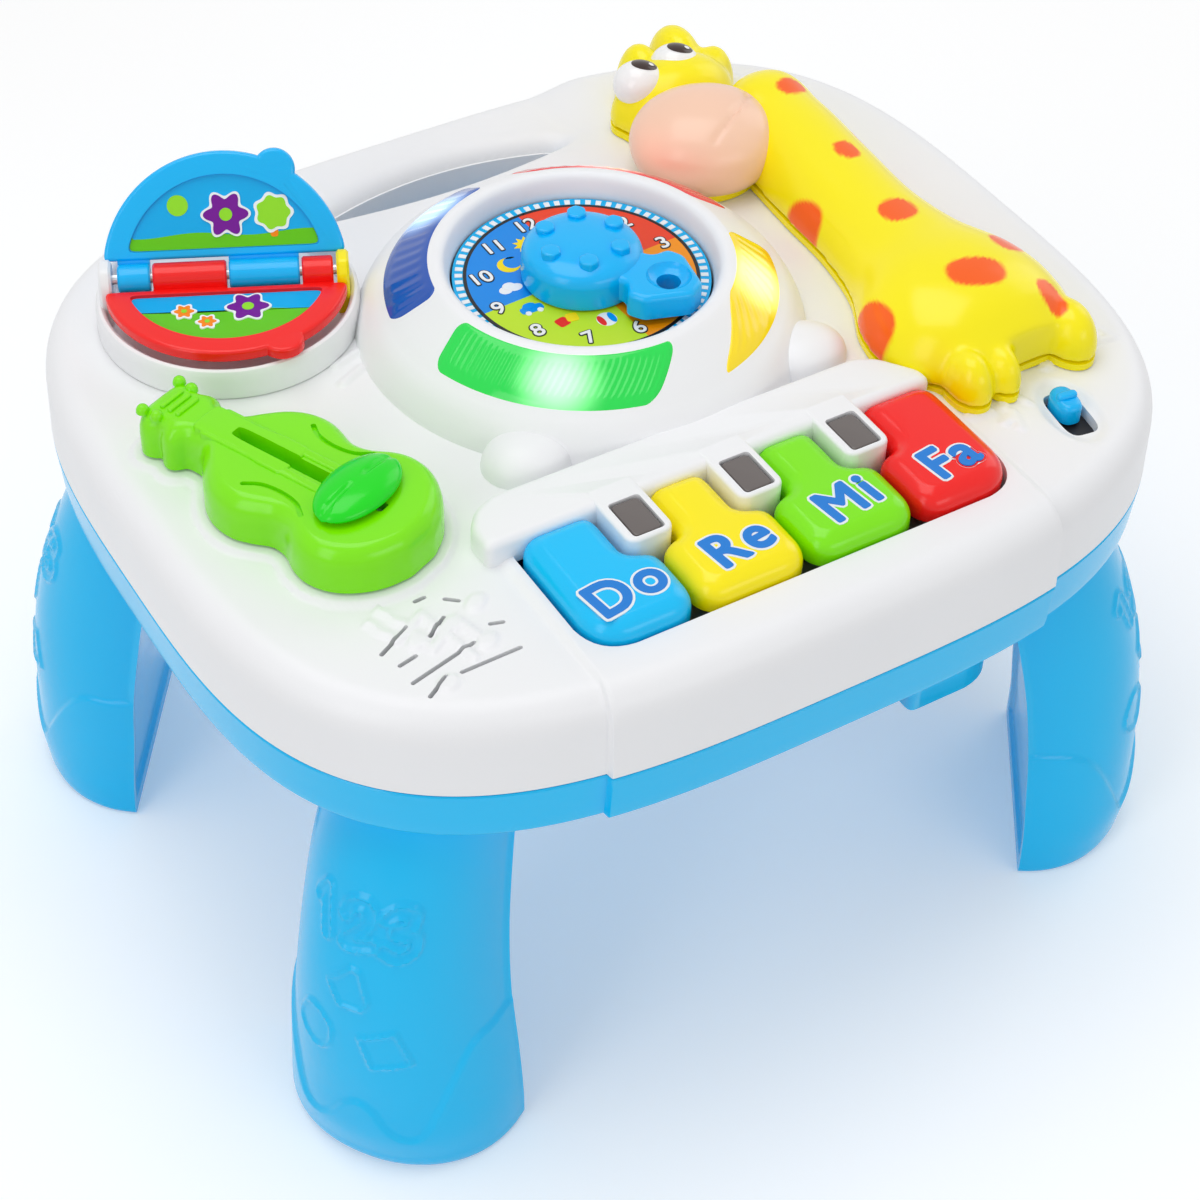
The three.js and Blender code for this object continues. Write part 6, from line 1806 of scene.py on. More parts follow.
def knob_mesh():
    profile = [tuple(point) for point in smooth_path(KNOB_PROFILE, KNOB_PROFILE_POINTS)]
    cap = turned(profile[::-1], (0, 0), 96)
    arm = moulded_plate(rounded_corners(ARM, ARM_CORNERS, FINE_STEP), ARM_LOW, ARM_TOP, ARM_ROUND)
    studs = []
    for i in range(KNOB_STUDS):
        a = math.radians(360 // KNOB_STUDS * i + STUD_START)
        centre = (STUD_RING * math.cos(a), STUD_RING * math.sin(a))
        hexagon = ellipse(centre, STUD_SIZE, STUD_SIZE, math.degrees(a), 6)
        studs.append(moulded_plate(resample(hexagon, FINEST_STEP, 4), *STUD_HEIGHTS, STUD_ROUND, STUD_FOOT))
    return cap, arm, studs


def turned_knob(part):
    return turn_about(part[0], KNOB_TURN, CLOCK_MIDDLE), part[1]


cap, arm, studs = knob_mesh()
knob = facing_out(add_object("clock_knob_moulded", *cap, azure))
knob.data.transform(Matrix.Translation(Vector((*CLOCK_MIDDLE, 0)) * MILLIMETRE))
knob_parts = [turned_knob(part) for part in (arm, *studs)]
dish_parts = [turned_knob(turned(profile, DISH_AT, 48)) for profile in (FINGER_DISH, FINGER_HOLE)]
solid_combine(knob, "UNION", [facing_out(tool_from(part)) for part in knob_parts])
solid_combine(knob, "DIFFERENCE", [facing_out(tool_from(part)) for part in dish_parts])
place(knob, "knob", "azure", "clock_knob")
print("knob:", len(knob.data.polygons), "faces")

# %% [markdown]
# ## The giraffe handset
#
# The yellow giraffe lies along the right side and lifts off as a handset. Its neck swells into a
# body with three feet, and its head has a big muzzle, two eyes, two horns and an ear. Separate
# balls and lofts would show seams. So they are put together, turned into one skin with a voxel
# remesh and smoothed, which gives the soft blends of a modelled toy. The patches are an attribute
# of the skin's points, painted by distance to a few ovals on the back, and the material mixes them
# in. A texture would have to be drawn and unwrapped first.

# %% Giraffe body
GIRAFFE_BASE = 176.8
GIRAFFE_SPINE = [  # y, x, half width and height
    (70, 97.4, 12, 17), (66, 97, 15, 20), (48, 96.5, 17, 21), (20, 95, 17.8, 20), (-6, 94, 18.2, 19.5),
    (-24, 93.8, 22, 20.5), (-40, 93.5, 29.5, 22.5), (-54, 93.5, 31, 22), (-66, 94.5, 27, 18.5),
    (-73, 95, 21, 13)]
GIRAFFE_FEET = [(77, -74, 6.5, 9, 13), (87.5, -75, 5.2, 8, 12), (115, -70, 8, 11.5, 14)]
HEAD = (79, 84, 21, 15.4, 19.6)
HORNS = [(74, 98, 7.6, 9.5, 18.5), (89.8, 101.5, 8.2, 12.6, 18), (97.5, 91, 6.6, 8, 14.5)]
EYES = [(66.3, 86.5, 190), (80.8, 88.5, 190.6)]
EYE_HALF = (8.3, 7.5, 7.6)
SOCKET = (9.2, 8.4, 14.2)
VOXEL = 0.0011
SMOOTH_ROUNDS = 14
SMOOTH_FACTOR = 0.5
SPINE_RINGS = 60
SPINE_POINTS = 33
SPINE_POWERS = (2.3, 2.1)


def spine_skin():
    table = np.array(sorted(GIRAFFE_SPINE))
    rings = []
    for y in np.linspace(table[0, 0], table[-1, 0], SPINE_RINGS):
        x, half, high = spline(table, np.array([y]))[0]
        a = np.linspace(0, np.pi, SPINE_POINTS)
        across = x + half * powered(np.cos(a), SPINE_POWERS[0])
        up = GIRAFFE_BASE + high * np.sin(a) ** (2 / SPINE_POWERS[1])
        rings.append(np.column_stack([across, np.full(SPINE_POINTS, y), up]))
    return loft(rings)


giraffe_parts = [spine_skin()]
giraffe_parts += [squashed_ball((x, y), (a, b, h), GIRAFFE_BASE) for x, y, a, b, h in GIRAFFE_FEET]
giraffe_parts += [squashed_ball((HEAD[0], HEAD[1]), HEAD[2:], GIRAFFE_BASE)]
giraffe_parts += [squashed_ball((x, y), (a, b, h), GIRAFFE_BASE) for x, y, a, b, h in HORNS]
giraffe_parts += [squashed_ball((x, y), SOCKET, GIRAFFE_BASE) for x, y, z in EYES]


def one_skin(name, parts, material):
    piece = add_object(name, *merge(*parts), material)
    remesh = piece.modifiers.new("skin", "REMESH")
    remesh.mode = "VOXEL"
    remesh.voxel_size = VOXEL
    soft = piece.modifiers.new("soft", "SMOOTH")
    soft.iterations = SMOOTH_ROUNDS
    soft.factor = SMOOTH_FACTOR
    made = bpy.data.meshes.new_from_object(piece.evaluated_get(bpy.context.evaluated_depsgraph_get()))
    piece.modifiers.clear()
    piece.data = made
    made.materials.clear()
    made.materials.append(material)
    made.shade_smooth()
    return piece


giraffe = one_skin("giraffe_body_moulded", giraffe_parts, giraffe_yellow)
low = to_frame([0, 0, GIRAFFE_BASE])[0][2]
for vertex in giraffe.data.vertices:
    vertex.co.z = max(vertex.co.z, low)
print("giraffe skin:", len(giraffe.data.polygons), "faces")

# %% Patches
PATCHES = [  # x, y, half sizes and turn
    (74.5, 10.5, 5.0, 9.6, 12), (97.4, 17.7, 3.6, 4.6, 0), (93, -14.9, 5.6, 5.6, 0),
    (63.8, -43.5, 4.4, 9.6, 0), (93.1, -52.4, 8.8, 5.8, -20), (112, -42.5, 4.8, 5.2, 0),
    (111, -66, 3.8, 5.6, 0), (110.5, 25, 3.6, 6.2, 0), (111.8, -7, 3.2, 7, 0), (101, 53, 5, 4, 10)]
PATCH_POWER = 2.4
PATCH_EDGE = (1.06, 8)  # where the edge lies, and how crisp it is
PATCH_LOW = GIRAFFE_BASE + 1
PATCH_COLOUR = (0.98, 0.12, 0.002)


def patch_share(points):
    best = np.full(len(points), FAR_AWAY)
    for x, y, a, b, turn in PATCHES:
        local = np.abs(turn_about(points[:, :2] - (x, y), -turn) / (a, b)) ** PATCH_POWER
        d = (local[:, 0] + local[:, 1]) ** (1 / PATCH_POWER)
        best = np.minimum(best, d)
    return best


def paint_patches(piece, paint):
    mesh = piece.data
    points = np.array([v.co for v in mesh.vertices]) / MILLIMETRE - CASE_SHIFT
    edge, crisp = PATCH_EDGE
    value = np.clip((edge - patch_share(points)) * crisp, 0, 1)
    value[points[:, 2] < PATCH_LOW] = 0
    layer = mesh.attributes.new("patch", "FLOAT", "POINT")
    layer.data.foreach_set("value", value.astype(np.float32))
    tree = giraffe_yellow.node_tree
    shader = tree.nodes["Principled BSDF"]
    skin = shader.inputs["Base Color"].links[0].from_socket
    where = tree.nodes.new("ShaderNodeAttribute")
    where.attribute_name = "patch"
    mix = tree.nodes.new("ShaderNodeMix")
    mix.data_type = "RGBA"
    mix.inputs[7].default_value = (*paint, 1)
    tree.links.new(where.outputs["Fac"], mix.inputs[0])
    tree.links.new(skin, mix.inputs[6])
    tree.links.new(mix.outputs[2], shader.inputs["Base Color"])


paint_patches(giraffe, PATCH_COLOUR)
place(giraffe, "handset", "yellow", "giraffe_shell")
print("patches:", len(PATCHES))

# %% [markdown]
# ## The handset's cover
#
# A flat cover closes the giraffe's underside, as on a real handset. It has the outline of the
# body above it. The outlines of the body, feet, head, horns and muzzle are made into thin plates
# and joined into one solid, so the edge stays smooth.

# %% Cover
COVER_LOW = 174.4
COVER_HIGH = 176.45
COVER_INSET = 0.35
COVER_STEP = 0.01
MUZZLE_FOOT = (71, 55.5, 18.6, 16.8)
COVER_SIDE_POINTS = 80


def spine_outline():
    table = np.array(sorted(GIRAFFE_SPINE))
    y = np.linspace(table[0, 0] + COVER_INSET, table[-1, 0], COVER_SIDE_POINTS)
    across = spline(table, y)
    half = across[:, 1] - COVER_INSET
    right, left = (np.column_stack([across[:, 0] + side, y]) for side in (half, -half))
    return np.vstack([right, left[::-1]])


cover_rings = [spine_outline(), ellipse(HEAD[:2], HEAD[2] - COVER_INSET, HEAD[3] - COVER_INSET)]
cover_rings += [ellipse((x, y), a - COVER_INSET, b - COVER_INSET) for x, y, a, b, h in GIRAFFE_FEET + HORNS]
cover_rings += [ellipse((x, y), SOCKET[0] - COVER_INSET, SOCKET[1] - COVER_INSET) for x, y, z in EYES]
cover_rings += [ellipse(MUZZLE_FOOT[:2], *MUZZLE_FOOT[2:])]
cover_plates = []
for number, ring in enumerate(cover_rings):
    grow = number * COVER_STEP
    ring = counter_clockwise(ring)
    cover_plates.append(loft([at_height(ring, COVER_LOW - grow), at_height(ring, COVER_HIGH + grow)]))
cover = facing_out(add_object("giraffe_cover_moulded", *cover_plates[0], giraffe_yellow))
solid_combine(cover, "UNION", [facing_out(tool_from(part)) for part in cover_plates[1:]])
place(cover, "handset", "yellow", "giraffe_cover")
print("cover:", len(cover.data.polygons), "faces")

# %% [markdown]
# ## Muzzle and eyes
#
# The peach muzzle is a separate moulding pushed onto the head, with a smile pressed into it. The
# eyes are two white balls set in the head, each with a dark pupil and a small white glint. The
# pupil and glint are printed, so thin ovals that follow the ball make them.

# %% Muzzle
MUZZLE = (71, 55.5, 23.3, 21, 24.6)
MUZZLE_TURN = -18
MUZZLE_BELLY = 0.36
MUZZLE_LOW = 0.62
MUZZLE_RINGS = 44
MUZZLE_POWER = 2.1
SMILE_DEPTH = 0.8
SMILE_EDGE = (0.2, 1.3)
SMILE = [(65, 41), (71, 43.8), (78, 48.2), (83, 52), (86.6, 55.4)]


def muzzle_mesh():
    x, y, a, b, high = MUZZLE
    rings = []
    middle = GIRAFFE_BASE + MUZZLE_BELLY * high
    for v in np.linspace(-MUZZLE_LOW, np.pi / 2, MUZZLE_RINGS, endpoint=False):
        share = np.cos(v) ** (2 / MUZZLE_POWER)
        ring = ellipse((0, 0), a * share, b * share, 0, 120, MUZZLE_POWER)
        ring = turn_about(ring, MUZZLE_TURN, (x, y))
        reach = high * (1 - MUZZLE_BELLY) if v > 0 else (middle - GIRAFFE_BASE) / math.sin(MUZZLE_LOW)
        z = middle + reach * math.sin(v)
        d = distance_to_path(ring, SMILE)
        rings.append(at_height(ring, z - SMILE_DEPTH * (1 - smooth_step(d, *SMILE_EDGE))))
    return loft(rings)


muzzle = facing_out(add_object("giraffe_muzzle_moulded", *muzzle_mesh(), peach))
place(muzzle, "handset", "peach", "giraffe_muzzle")
print("muzzle:", len(muzzle.data.polygons), "faces")

# %% Eyes
eye_white = finish("eye_white", (0.92, 0.92, 0.92), gloss=0.15, coat=0.3)
eye_dark = finish("eye_dark", (0.03, 0.01, 0.006), gloss=0.15, coat=0.3)
EYE_TURN = -30
EYE_LOW = 1.2
EYE_RINGS = 20
EYE_PRINTS = [  # shift from the middle, half sizes and height above the ball
    ("pupil", eye_dark, (1.4, 0.6), (4.1, 3.3), 0.12),
    ("glint", eye_white, (3.6, 0.5), (0.8, 0.8), 0.22)]
PRINT_SHARES = (1, 0.04, 12)


def eye_ball(at):
    rings = []
    for v in np.linspace(-EYE_LOW, np.pi / 2, EYE_RINGS, endpoint=False):
        ring = ellipse(at[:2], EYE_HALF[0] * math.cos(v), EYE_HALF[1] * math.cos(v), EYE_TURN, 48)
        rings.append(at_height(ring, at[2] + EYE_HALF[2] * math.sin(v)))
    return loft(rings)


def eye_print(at, shift, size, lift):
    """A thin oval that lies on the eye and follows its curve."""
    rings = []
    for share in np.linspace(*PRINT_SHARES):
        flat = ellipse(shift, size[0] * share, size[1] * share, 0, 40)
        d = np.hypot(flat[:, 0] / EYE_HALF[0], flat[:, 1] / EYE_HALF[1])
        z = at[2] + EYE_HALF[2] * np.sqrt(np.clip(1 - d ** 2, 0, 1)) + lift
        rings.append(np.column_stack([turn_about(flat, EYE_TURN, at[:2]), z]))
    return loft(rings)


for side, at in zip(("left", "right"), EYES):
    ball = facing_out(add_object("eye_ball_%s" % side, *eye_ball(at), eye_white))
    place(ball, "handset")
    for kind, material, shift, size, lift in EYE_PRINTS:
        cap = facing_out(add_object("eye_%s_%s" % (kind, side), *eye_print(at, shift, size, lift), material))
        place(cap, "handset")
print("eyes: 2")

# %% [markdown]
# ## The guitar and its slider
#
# A lime toy guitar with a waist, a peg head with lobes, raised strips beside a long slot and two
# curved sound grooves. A green oval slides along the slot. The body is the same outline that gave
# the top its low step, drawn in ring by ring to a soft edge, and then the grooves are cut.

# %% Guitar body
GUITAR_LOW = 175.8
GUITAR_TOP = 190
NECK_RISE = 0.75
STRIP_RISE = 0.65
NECK_END = 24
NECK_SIDES = [(14, 4.4), (NECK_END + 6, 4.4), (NECK_END + 14, 5.4), (46, 5.4)]
BODY_EDGE = [(0, -8), (0.3, -5.6), (1.1, -3.6), (2.3, -2.1), (3.8, -1.0), (5.2, -0.35), (6.4, -0.05),
             (7.4, 0)]
BODY_EDGE_SHARE = 0.62
BODY_FOOT = 0.4
RAISED_CORNER = (1.6, 0.6)
RAISED_ROUND = 0.7
RAISED_DEPTH = 3


def on_guitar(part):
    return turn_about(part[0], GUITAR_TURN, GUITAR_HEAD), part[1]


def guitar_body():
    ring = guitar_ring
    rings = [at_height(offset(ring, -BODY_FOOT), GUITAR_LOW), at_height(ring, GUITAR_LOW + BODY_FOOT)]
    rings += [at_height(pull_in(ring, inset * BODY_EDGE_SHARE), GUITAR_TOP + drop)
              for inset, drop in BODY_EDGE]
    return loft(rings)


def neck_plate():
    right = [(x, 2 * GUITAR_MIDDLE - y) for x, y in NECK_SIDES]
    ring = rounded_corners(right + NECK_SIDES[::-1], *RAISED_CORNER)
    return moulded_plate(ring, GUITAR_TOP - RAISED_DEPTH, GUITAR_TOP + NECK_RISE, RAISED_ROUND)


guitar = facing_out(add_object("guitar_moulded", *on_guitar(guitar_body()), lime))
print("guitar body:", len(guitar.data.polygons), "faces")

# %% Strips, pegs and frets
STRIP_ENDS = (17, 66)
STRIP_OFFSET = 4.6
STRIP_HALF = 1.5
STRIP_CORNER = (1.2, 0.6)
FRETS = (2.5, 5.2, 8.0)
FRET_HALF = 0.7
FRET_ENDS = (-5.4, 3.4)
FRET_CORNER = (0.5, 0.4)
FRET_HEIGHTS = (GUITAR_TOP - 1, GUITAR_TOP + 0.8)
FRET_ROUND = 0.4
PEGS = [(-1.5, -8.4), (-1.5, 6.4), (3.2, -8), (3.2, 6)]
PEG_HALF = (1.9, 1.9, 2.4)
PEG_SUNK = 1.2


def strip(side):
    middle = GUITAR_MIDDLE + side * STRIP_OFFSET
    ring = rounded_corners(rectangle(*STRIP_ENDS, middle - STRIP_HALF, middle + STRIP_HALF), *STRIP_CORNER)
    return moulded_plate(ring, GUITAR_TOP - RAISED_DEPTH, GUITAR_TOP + STRIP_RISE, RAISED_ROUND)


def fret(x):
    ring = rounded_corners(rectangle(x - FRET_HALF, x + FRET_HALF, *FRET_ENDS), *FRET_CORNER)
    return moulded_plate(ring, *FRET_HEIGHTS, FRET_ROUND)


pegs = [squashed_ball(at, PEG_HALF, GUITAR_TOP - PEG_SUNK, (20, 6)) for at in PEGS]
guitar_parts = [neck_plate(), strip(-1), strip(1), *pegs, *map(fret, FRETS)]
solid_combine(guitar, "UNION", [facing_out(tool_from(on_guitar(part))) for part in guitar_parts])
print("raised parts on the guitar:", len(guitar_parts))

# %% Long slot and curved grooves
SLIDE_SLOT = (25, 76, 2.2)
SLIDE_SLOT_POWER = 8
SLOT_FLOOR = 184
F_HOLES = [[(40, -15.5), (44, -13), (50, -12.2), (56, -13.2), (60, -16)],
           [(40, 13.5), (44, 11), (50, 10.2), (56, 11.2), (60, 14)]]
F_WIDTH = 1.5
F_DEPTH = 1.2
F_POINTS = 13
F_CAP_POINTS = 9


def slot_ring(path, width):
    """The outline of a curved slot with round ends."""
    path = smooth_path(path, F_POINTS)
    way = np.gradient(path, axis=0)
    way /= np.linalg.norm(way, axis=1)[:, None]
    side = np.column_stack([-way[:, 1], way[:, 0]]) * width / 2
    caps = []
    for end, (x, y) in ((path[-1], -side[-1]), (path[0], side[0])):
        a = math.atan2(y, x) + np.linspace(0, np.pi, F_CAP_POINTS)[1:-1]
        caps.append(end + width / 2 * np.column_stack([np.cos(a), np.sin(a)]))
    return np.vstack([path - side, caps[0], (path + side)[::-1], caps[1]])


slot_low, slot_high, slot_half = SLIDE_SLOT
slot_middle = ((slot_low + slot_high) / 2, GUITAR_MIDDLE)
slot = ellipse(slot_middle, (slot_high - slot_low) / 2, slot_half, 0, 60, SLIDE_SLOT_POWER)
grooves = [loft([at_height(slot, SLOT_FLOOR), at_height(slot, CUT_HIGH)])]
grooves += [hole(slot_ring(path, F_WIDTH), GUITAR_TOP - F_DEPTH) for path in F_HOLES]
solid_combine(guitar, "DIFFERENCE", [facing_out(tool_from(on_guitar(part))) for part in grooves])
place(guitar, "table", "lime", "guitar_body")
print("guitar:", len(guitar.data.polygons), "faces")

# %% Slider
SLIDER_AT = 67
SLIDER_HALF = (9, 15)
SLIDER_LOW = 191
SLIDER_RISE = 5.1
SLIDER_FOOT = (8.2, 14.2)
SLIDER_EDGE = 1
SLIDER_RINGS = 26
SLIDER_POINTS = 72
SLIDER_POWER = 2.3
RIDGE = 0.7
RIDGE_EDGE = (0.3, 1.2)
RIDGE_ENDS = (0.1, 0.3)
STEM = (5.5, 1.7)
STEM_POWER = 4
STEM_HEIGHTS = (185.4, SLIDER_LOW + 0.6)


def slider_mesh():
    rings = [at_height(ellipse((0, 0), *SLIDER_FOOT, 0, SLIDER_POINTS), SLIDER_LOW)]
    for v in np.linspace(0, np.pi / 2, SLIDER_RINGS, endpoint=False):
        share = np.cos(v) ** (2 / SLIDER_POWER)
        ring = ellipse((0, 0), SLIDER_HALF[0] * share, SLIDER_HALF[1] * share, 0, SLIDER_POINTS)
        z = SLIDER_LOW + SLIDER_EDGE + (SLIDER_RISE - SLIDER_EDGE) * np.sin(v)
        ridge = RIDGE * (1 - smooth_step(np.abs(ring[:, 0]), *RIDGE_EDGE)) * smooth_step(share, *RIDGE_ENDS)
        rings.append(at_height(ring, z - ridge))
    points, faces = loft(rings)
    return points + (SLIDER_AT, GUITAR_MIDDLE, 0), faces


slider = facing_out(add_object("guitar_slider_oval", *on_guitar(slider_mesh()), leaf_green))
stem = ellipse((0, 0), *STEM, 0, 32, STEM_POWER) + (SLIDER_AT, GUITAR_MIDDLE)
stem_part = loft([at_height(stem, z) for z in STEM_HEIGHTS])
solid_combine(slider, "UNION", [facing_out(tool_from(on_guitar(stem_part)))])
place(slider, "slider", "green", "guitar_slider")
print("slider:", len(slider.data.polygons), "faces")

# %% [markdown]
# ## The power switch
#
# A small blue slider in a dished slot at the front right corner, a round-ended cap with a ridge
# across its middle for a fingertip.

# %% Switch cap
SWITCH_REST = 3.25
SWITCH_HALF = (5.6, 3.7)
SWITCH_TOP = 177.8
SWITCH_LOW = 170.2
SWITCH_CAP_TOP = SWITCH_TOP - 1.2
SWITCH_POWER = 2.6
SWITCH_ROUND = 1.8
FINGER_RIDGE = (1.5, 3.2)
FINGER_RIDGE_LOW = SWITCH_TOP - 4
FINGER_RIDGE_POWER = 3
FINGER_RIDGE_ROUND = 0.9


def on_switch(part):
    return turn_about(part[0], SWITCH_TURN, SWITCH_AT), part[1]


body_ring = resample(ellipse((SWITCH_REST, 0), *SWITCH_HALF, 0, 60, SWITCH_POWER), FINE_STEP)
ridge_ring = resample(ellipse((SWITCH_REST, 0), *FINGER_RIDGE, 0, 40, FINGER_RIDGE_POWER), FINEST_STEP)
body = moulded_plate(body_ring, SWITCH_LOW, SWITCH_CAP_TOP, SWITCH_ROUND)
ridge = moulded_plate(ridge_ring, FINGER_RIDGE_LOW, SWITCH_TOP, FINGER_RIDGE_ROUND)
cap = facing_out(add_object("switch_cap_moulded", *on_switch(body), azure))
solid_combine(cap, "UNION", [facing_out(tool_from(on_switch(ridge)))])
place(cap, "switch", "azure", "switch_knob")
print("switch cap:", len(cap.data.polygons), "faces")

# %% [markdown]
# ## The flip book
#
# Two half-round leaves turn on one pin over a round white tray. One is blue and stands open, the
# other is red and lies flat. Each has a raised rim, a finger tab and a recessed panel with a
# picture. The picture is a plain one of sky, a hill, a sun, a tree and flowers, in thin printed
# shapes. Each leaf is drawn flat and then turned to its place about the pin.

# %% Leaves
BOOK_CENTRE = (-88.2, 61.9)
BOOK_AXIS_Z = 189
BOOK_TURN = -24.8
PAGE_RADIUS = 35
PAGE_START = 4.9
PAGE_THICK = 4
PAGE_TOP = -0.5
PAGE_OPEN = 60
PAGE_TAB = 6
PAGE_TAB_TURN = 62
PANEL_RADIUS = 28.6
PANEL_DEPTH = 1.1
KNUCKLE = 4.15
BOOK_LENGTH = 62
KNUCKLE_SHARES = (0.16, 0.35, 0.335, 0.155)
KNUCKLE_GAP = 0.35
KNUCKLE_EDGE = 0.5
KNUCKLE_POINTS = 40
LEAF_POINTS = 90
LEAF_STEP = 0.7
LEAF_SOFTENING = 8
LEAF_ROUND = 1.1
LEAF_FOOT = 0.8
TAB_INWARD = 2
PANEL_START = PAGE_START + 2.4
PANEL_CLEAR = 3
BRIDGE = (-PAGE_START - 2.6, -1.5)
BRIDGE_INSET = 0.7


def soft_outline(radius, start):
    """Less than half a disc, cut straight near the pin, with softened corners."""
    a0 = math.asin(start / radius)
    a = np.linspace(np.pi + a0, 2 * np.pi - a0, LEAF_POINTS)
    ring = np.column_stack([radius * np.cos(a), radius * np.sin(a)])
    return counter_clockwise(resample(ring, LEAF_STEP, LEAF_SOFTENING))


def flip(points, opened):
    """Lay a leaf drawn towards the front at its angle about the pin, then place it on the table."""
    points = np.array(points, float)
    angle = math.radians(opened)
    y, z = points[:, 1].copy(), points[:, 2].copy()
    points[:, 1] = y * math.cos(angle) - z * math.sin(angle)
    points[:, 2] = y * math.sin(angle) + z * math.cos(angle) + BOOK_AXIS_Z
    return turn_about(points, BOOK_TURN, BOOK_CENTRE)


def mirror_y(part):
    return part[0] * (1, -1, 1), [face[::-1] for face in part[1]]


def leaf_plate(ring):
    return moulded_plate(ring, PAGE_TOP - PAGE_THICK, PAGE_TOP, LEAF_ROUND, LEAF_FOOT)


def knuckle(k):
    """A barrel round the pin, and the block that joins it to the leaf."""
    ends = np.concatenate([[0], np.cumsum(KNUCKLE_SHARES)]) * BOOK_LENGTH - BOOK_LENGTH / 2
    x0, x1 = ends[k] + KNUCKLE_GAP, ends[k + 1] - KNUCKLE_GAP
    t = np.linspace(0, 2 * np.pi, KNUCKLE_POINTS, endpoint=False)
    rings = []
    for x, r in ((x0, KNUCKLE - KNUCKLE_EDGE), (x0 + KNUCKLE_EDGE, KNUCKLE),
                 (x1 - KNUCKLE_EDGE, KNUCKLE), (x1, KNUCKLE - KNUCKLE_EDGE)):
        rings.append(np.column_stack([np.full(KNUCKLE_POINTS, x), r * np.cos(t), r * np.sin(t)]))
    block = np.array(rectangle(x0, x1, *BRIDGE))
    bridge = loft([at_height(block, PAGE_TOP - PAGE_THICK + BRIDGE_INSET),
                   at_height(block, PAGE_TOP - BRIDGE_INSET)])
    return loft(rings), bridge


def build_leaf(name, knuckles, material, opened, flipped):
    def posed(part):
        part = mirror_y(part) if flipped else part
        return flip(part[0], opened), part[1]

    a = math.radians(-PAGE_TAB_TURN)
    reach = PAGE_RADIUS - TAB_INWARD
    tab_ring = ellipse((reach * math.cos(a), reach * math.sin(a)), PAGE_TAB, PAGE_TAB)
    panel_ring = soft_outline(PANEL_RADIUS, PANEL_START)
    panel = loft([at_height(panel_ring, PAGE_TOP + z) for z in (-PANEL_DEPTH, PANEL_CLEAR)])
    barrels, bridges = zip(*[knuckle(k) for k in knuckles])
    leaf = facing_out(add_object(name, *posed(leaf_plate(soft_outline(PAGE_RADIUS, PAGE_START))), material))
    joined = [leaf_plate(resample(tab_ring, KEY_RING_STEP)), *bridges, *barrels]
    solid_combine(leaf, "UNION", [facing_out(tool_from(posed(part))) for part in joined])
    solid_combine(leaf, "DIFFERENCE", [facing_out(tool_from(posed(panel)))])
    return leaf


blue_leaf = build_leaf("page_blue_moulded", (0, 2), azure, PAGE_OPEN, True)
red_leaf = build_leaf("page_red_moulded", (1, 3), toy_red, 0, False)
place(blue_leaf, "blue_page", "azure", "page_blue")
place(red_leaf, "red_page", "red", "page_red")
print("leaves:", len(blue_leaf.data.polygons), len(red_leaf.data.polygons), "faces")

# %% Printed pictures
page_sky = finish("page_sky", (0.0, 0.42, 0.86), gloss=0.25)
page_green = finish("page_green", (0.13, 0.58, 0.0), gloss=0.25)
page_purple = finish("page_purple", (0.18, 0.0, 0.3), gloss=0.25)
page_lime = finish("page_lime", (0.3, 0.75, 0.02), gloss=0.25)
page_pale = finish("page_pale", (0.9, 0.93, 0.95), gloss=0.25)
page_orange = finish("page_orange", (0.98, 0.25, 0.0), gloss=0.25)
PRINT_LOW = PAGE_TOP - PANEL_DEPTH - 0.3
PRINT_THICK = 0.42
PRINT_STEP = 0.09
PRINT_INSET = 0.2
PRINT_START = PAGE_START + 2.6
WAVE_LENGTH = 5


def printed(name, ring, layer, material, body, opened, flipped):
    ring = counter_clockwise(np.asarray(ring, float))
    part = loft([at_height(ring, PRINT_LOW), at_height(ring, PRINT_LOW + PRINT_THICK + layer * PRINT_STEP)])
    if flipped:
        part = mirror_y(part)
    piece = add_object(name, flip(part[0], opened), part[1], material, sharp=LETTER_SHARP)
    return place(facing_out(piece), body)


def panel_part(y_low, y_high, wave=0.0):
    """The panel's outline between two heights, with a wavy line where it is cut off."""
    ring = soft_outline(PANEL_RADIUS - PRINT_INSET, PRINT_START)
    cut_off = (ring[:, 1] < y_low) | (ring[:, 1] > y_high)
    y = np.clip(ring[:, 1], y_low, y_high) + wave * np.sin(ring[:, 0] / WAVE_LENGTH) * cut_off
    return np.column_stack([ring[:, 0], y])


print("a page print stands", PRINT_THICK, "mm above the panel's floor")

# %% Small forms of the pictures
WAVY_POINTS = 84
CROWN_WAVES = 7
CROWN_DEPTH = 0.08
CROWN_EDGE = 0.9
TRUNK_HALF = 1.1
PETALS = 6
PETAL_DEPTH = 0.2
PETAL_EDGE = 0.8
PETAL_EDGE_DEPTH = 0.16
FLOWER_MIDDLE = 0.34


def wavy_round(at, radius, waves=CROWN_WAVES, depth=CROWN_DEPTH):
    a = np.linspace(0, 2 * np.pi, WAVY_POINTS, endpoint=False)
    r = radius * (1 + depth * np.cos(waves * a))
    return np.column_stack([at[0] + r * np.cos(a), at[1] + r * np.sin(a)])


def tree(at, radius, foot):
    """A wavy round crown on a plain trunk, with a pale edge round the crown."""
    x, y = at
    trunk = rectangle(x - TRUNK_HALF, x + TRUNK_HALF, min(foot, y), max(foot, y))
    return [("trunk", resample(trunk, FINE_STEP, 2), 2, page_orange),
            ("crown_edge", wavy_round(at, radius + CROWN_EDGE), 3, page_pale),
            ("crown", wavy_round(at, radius), 4, page_lime)]


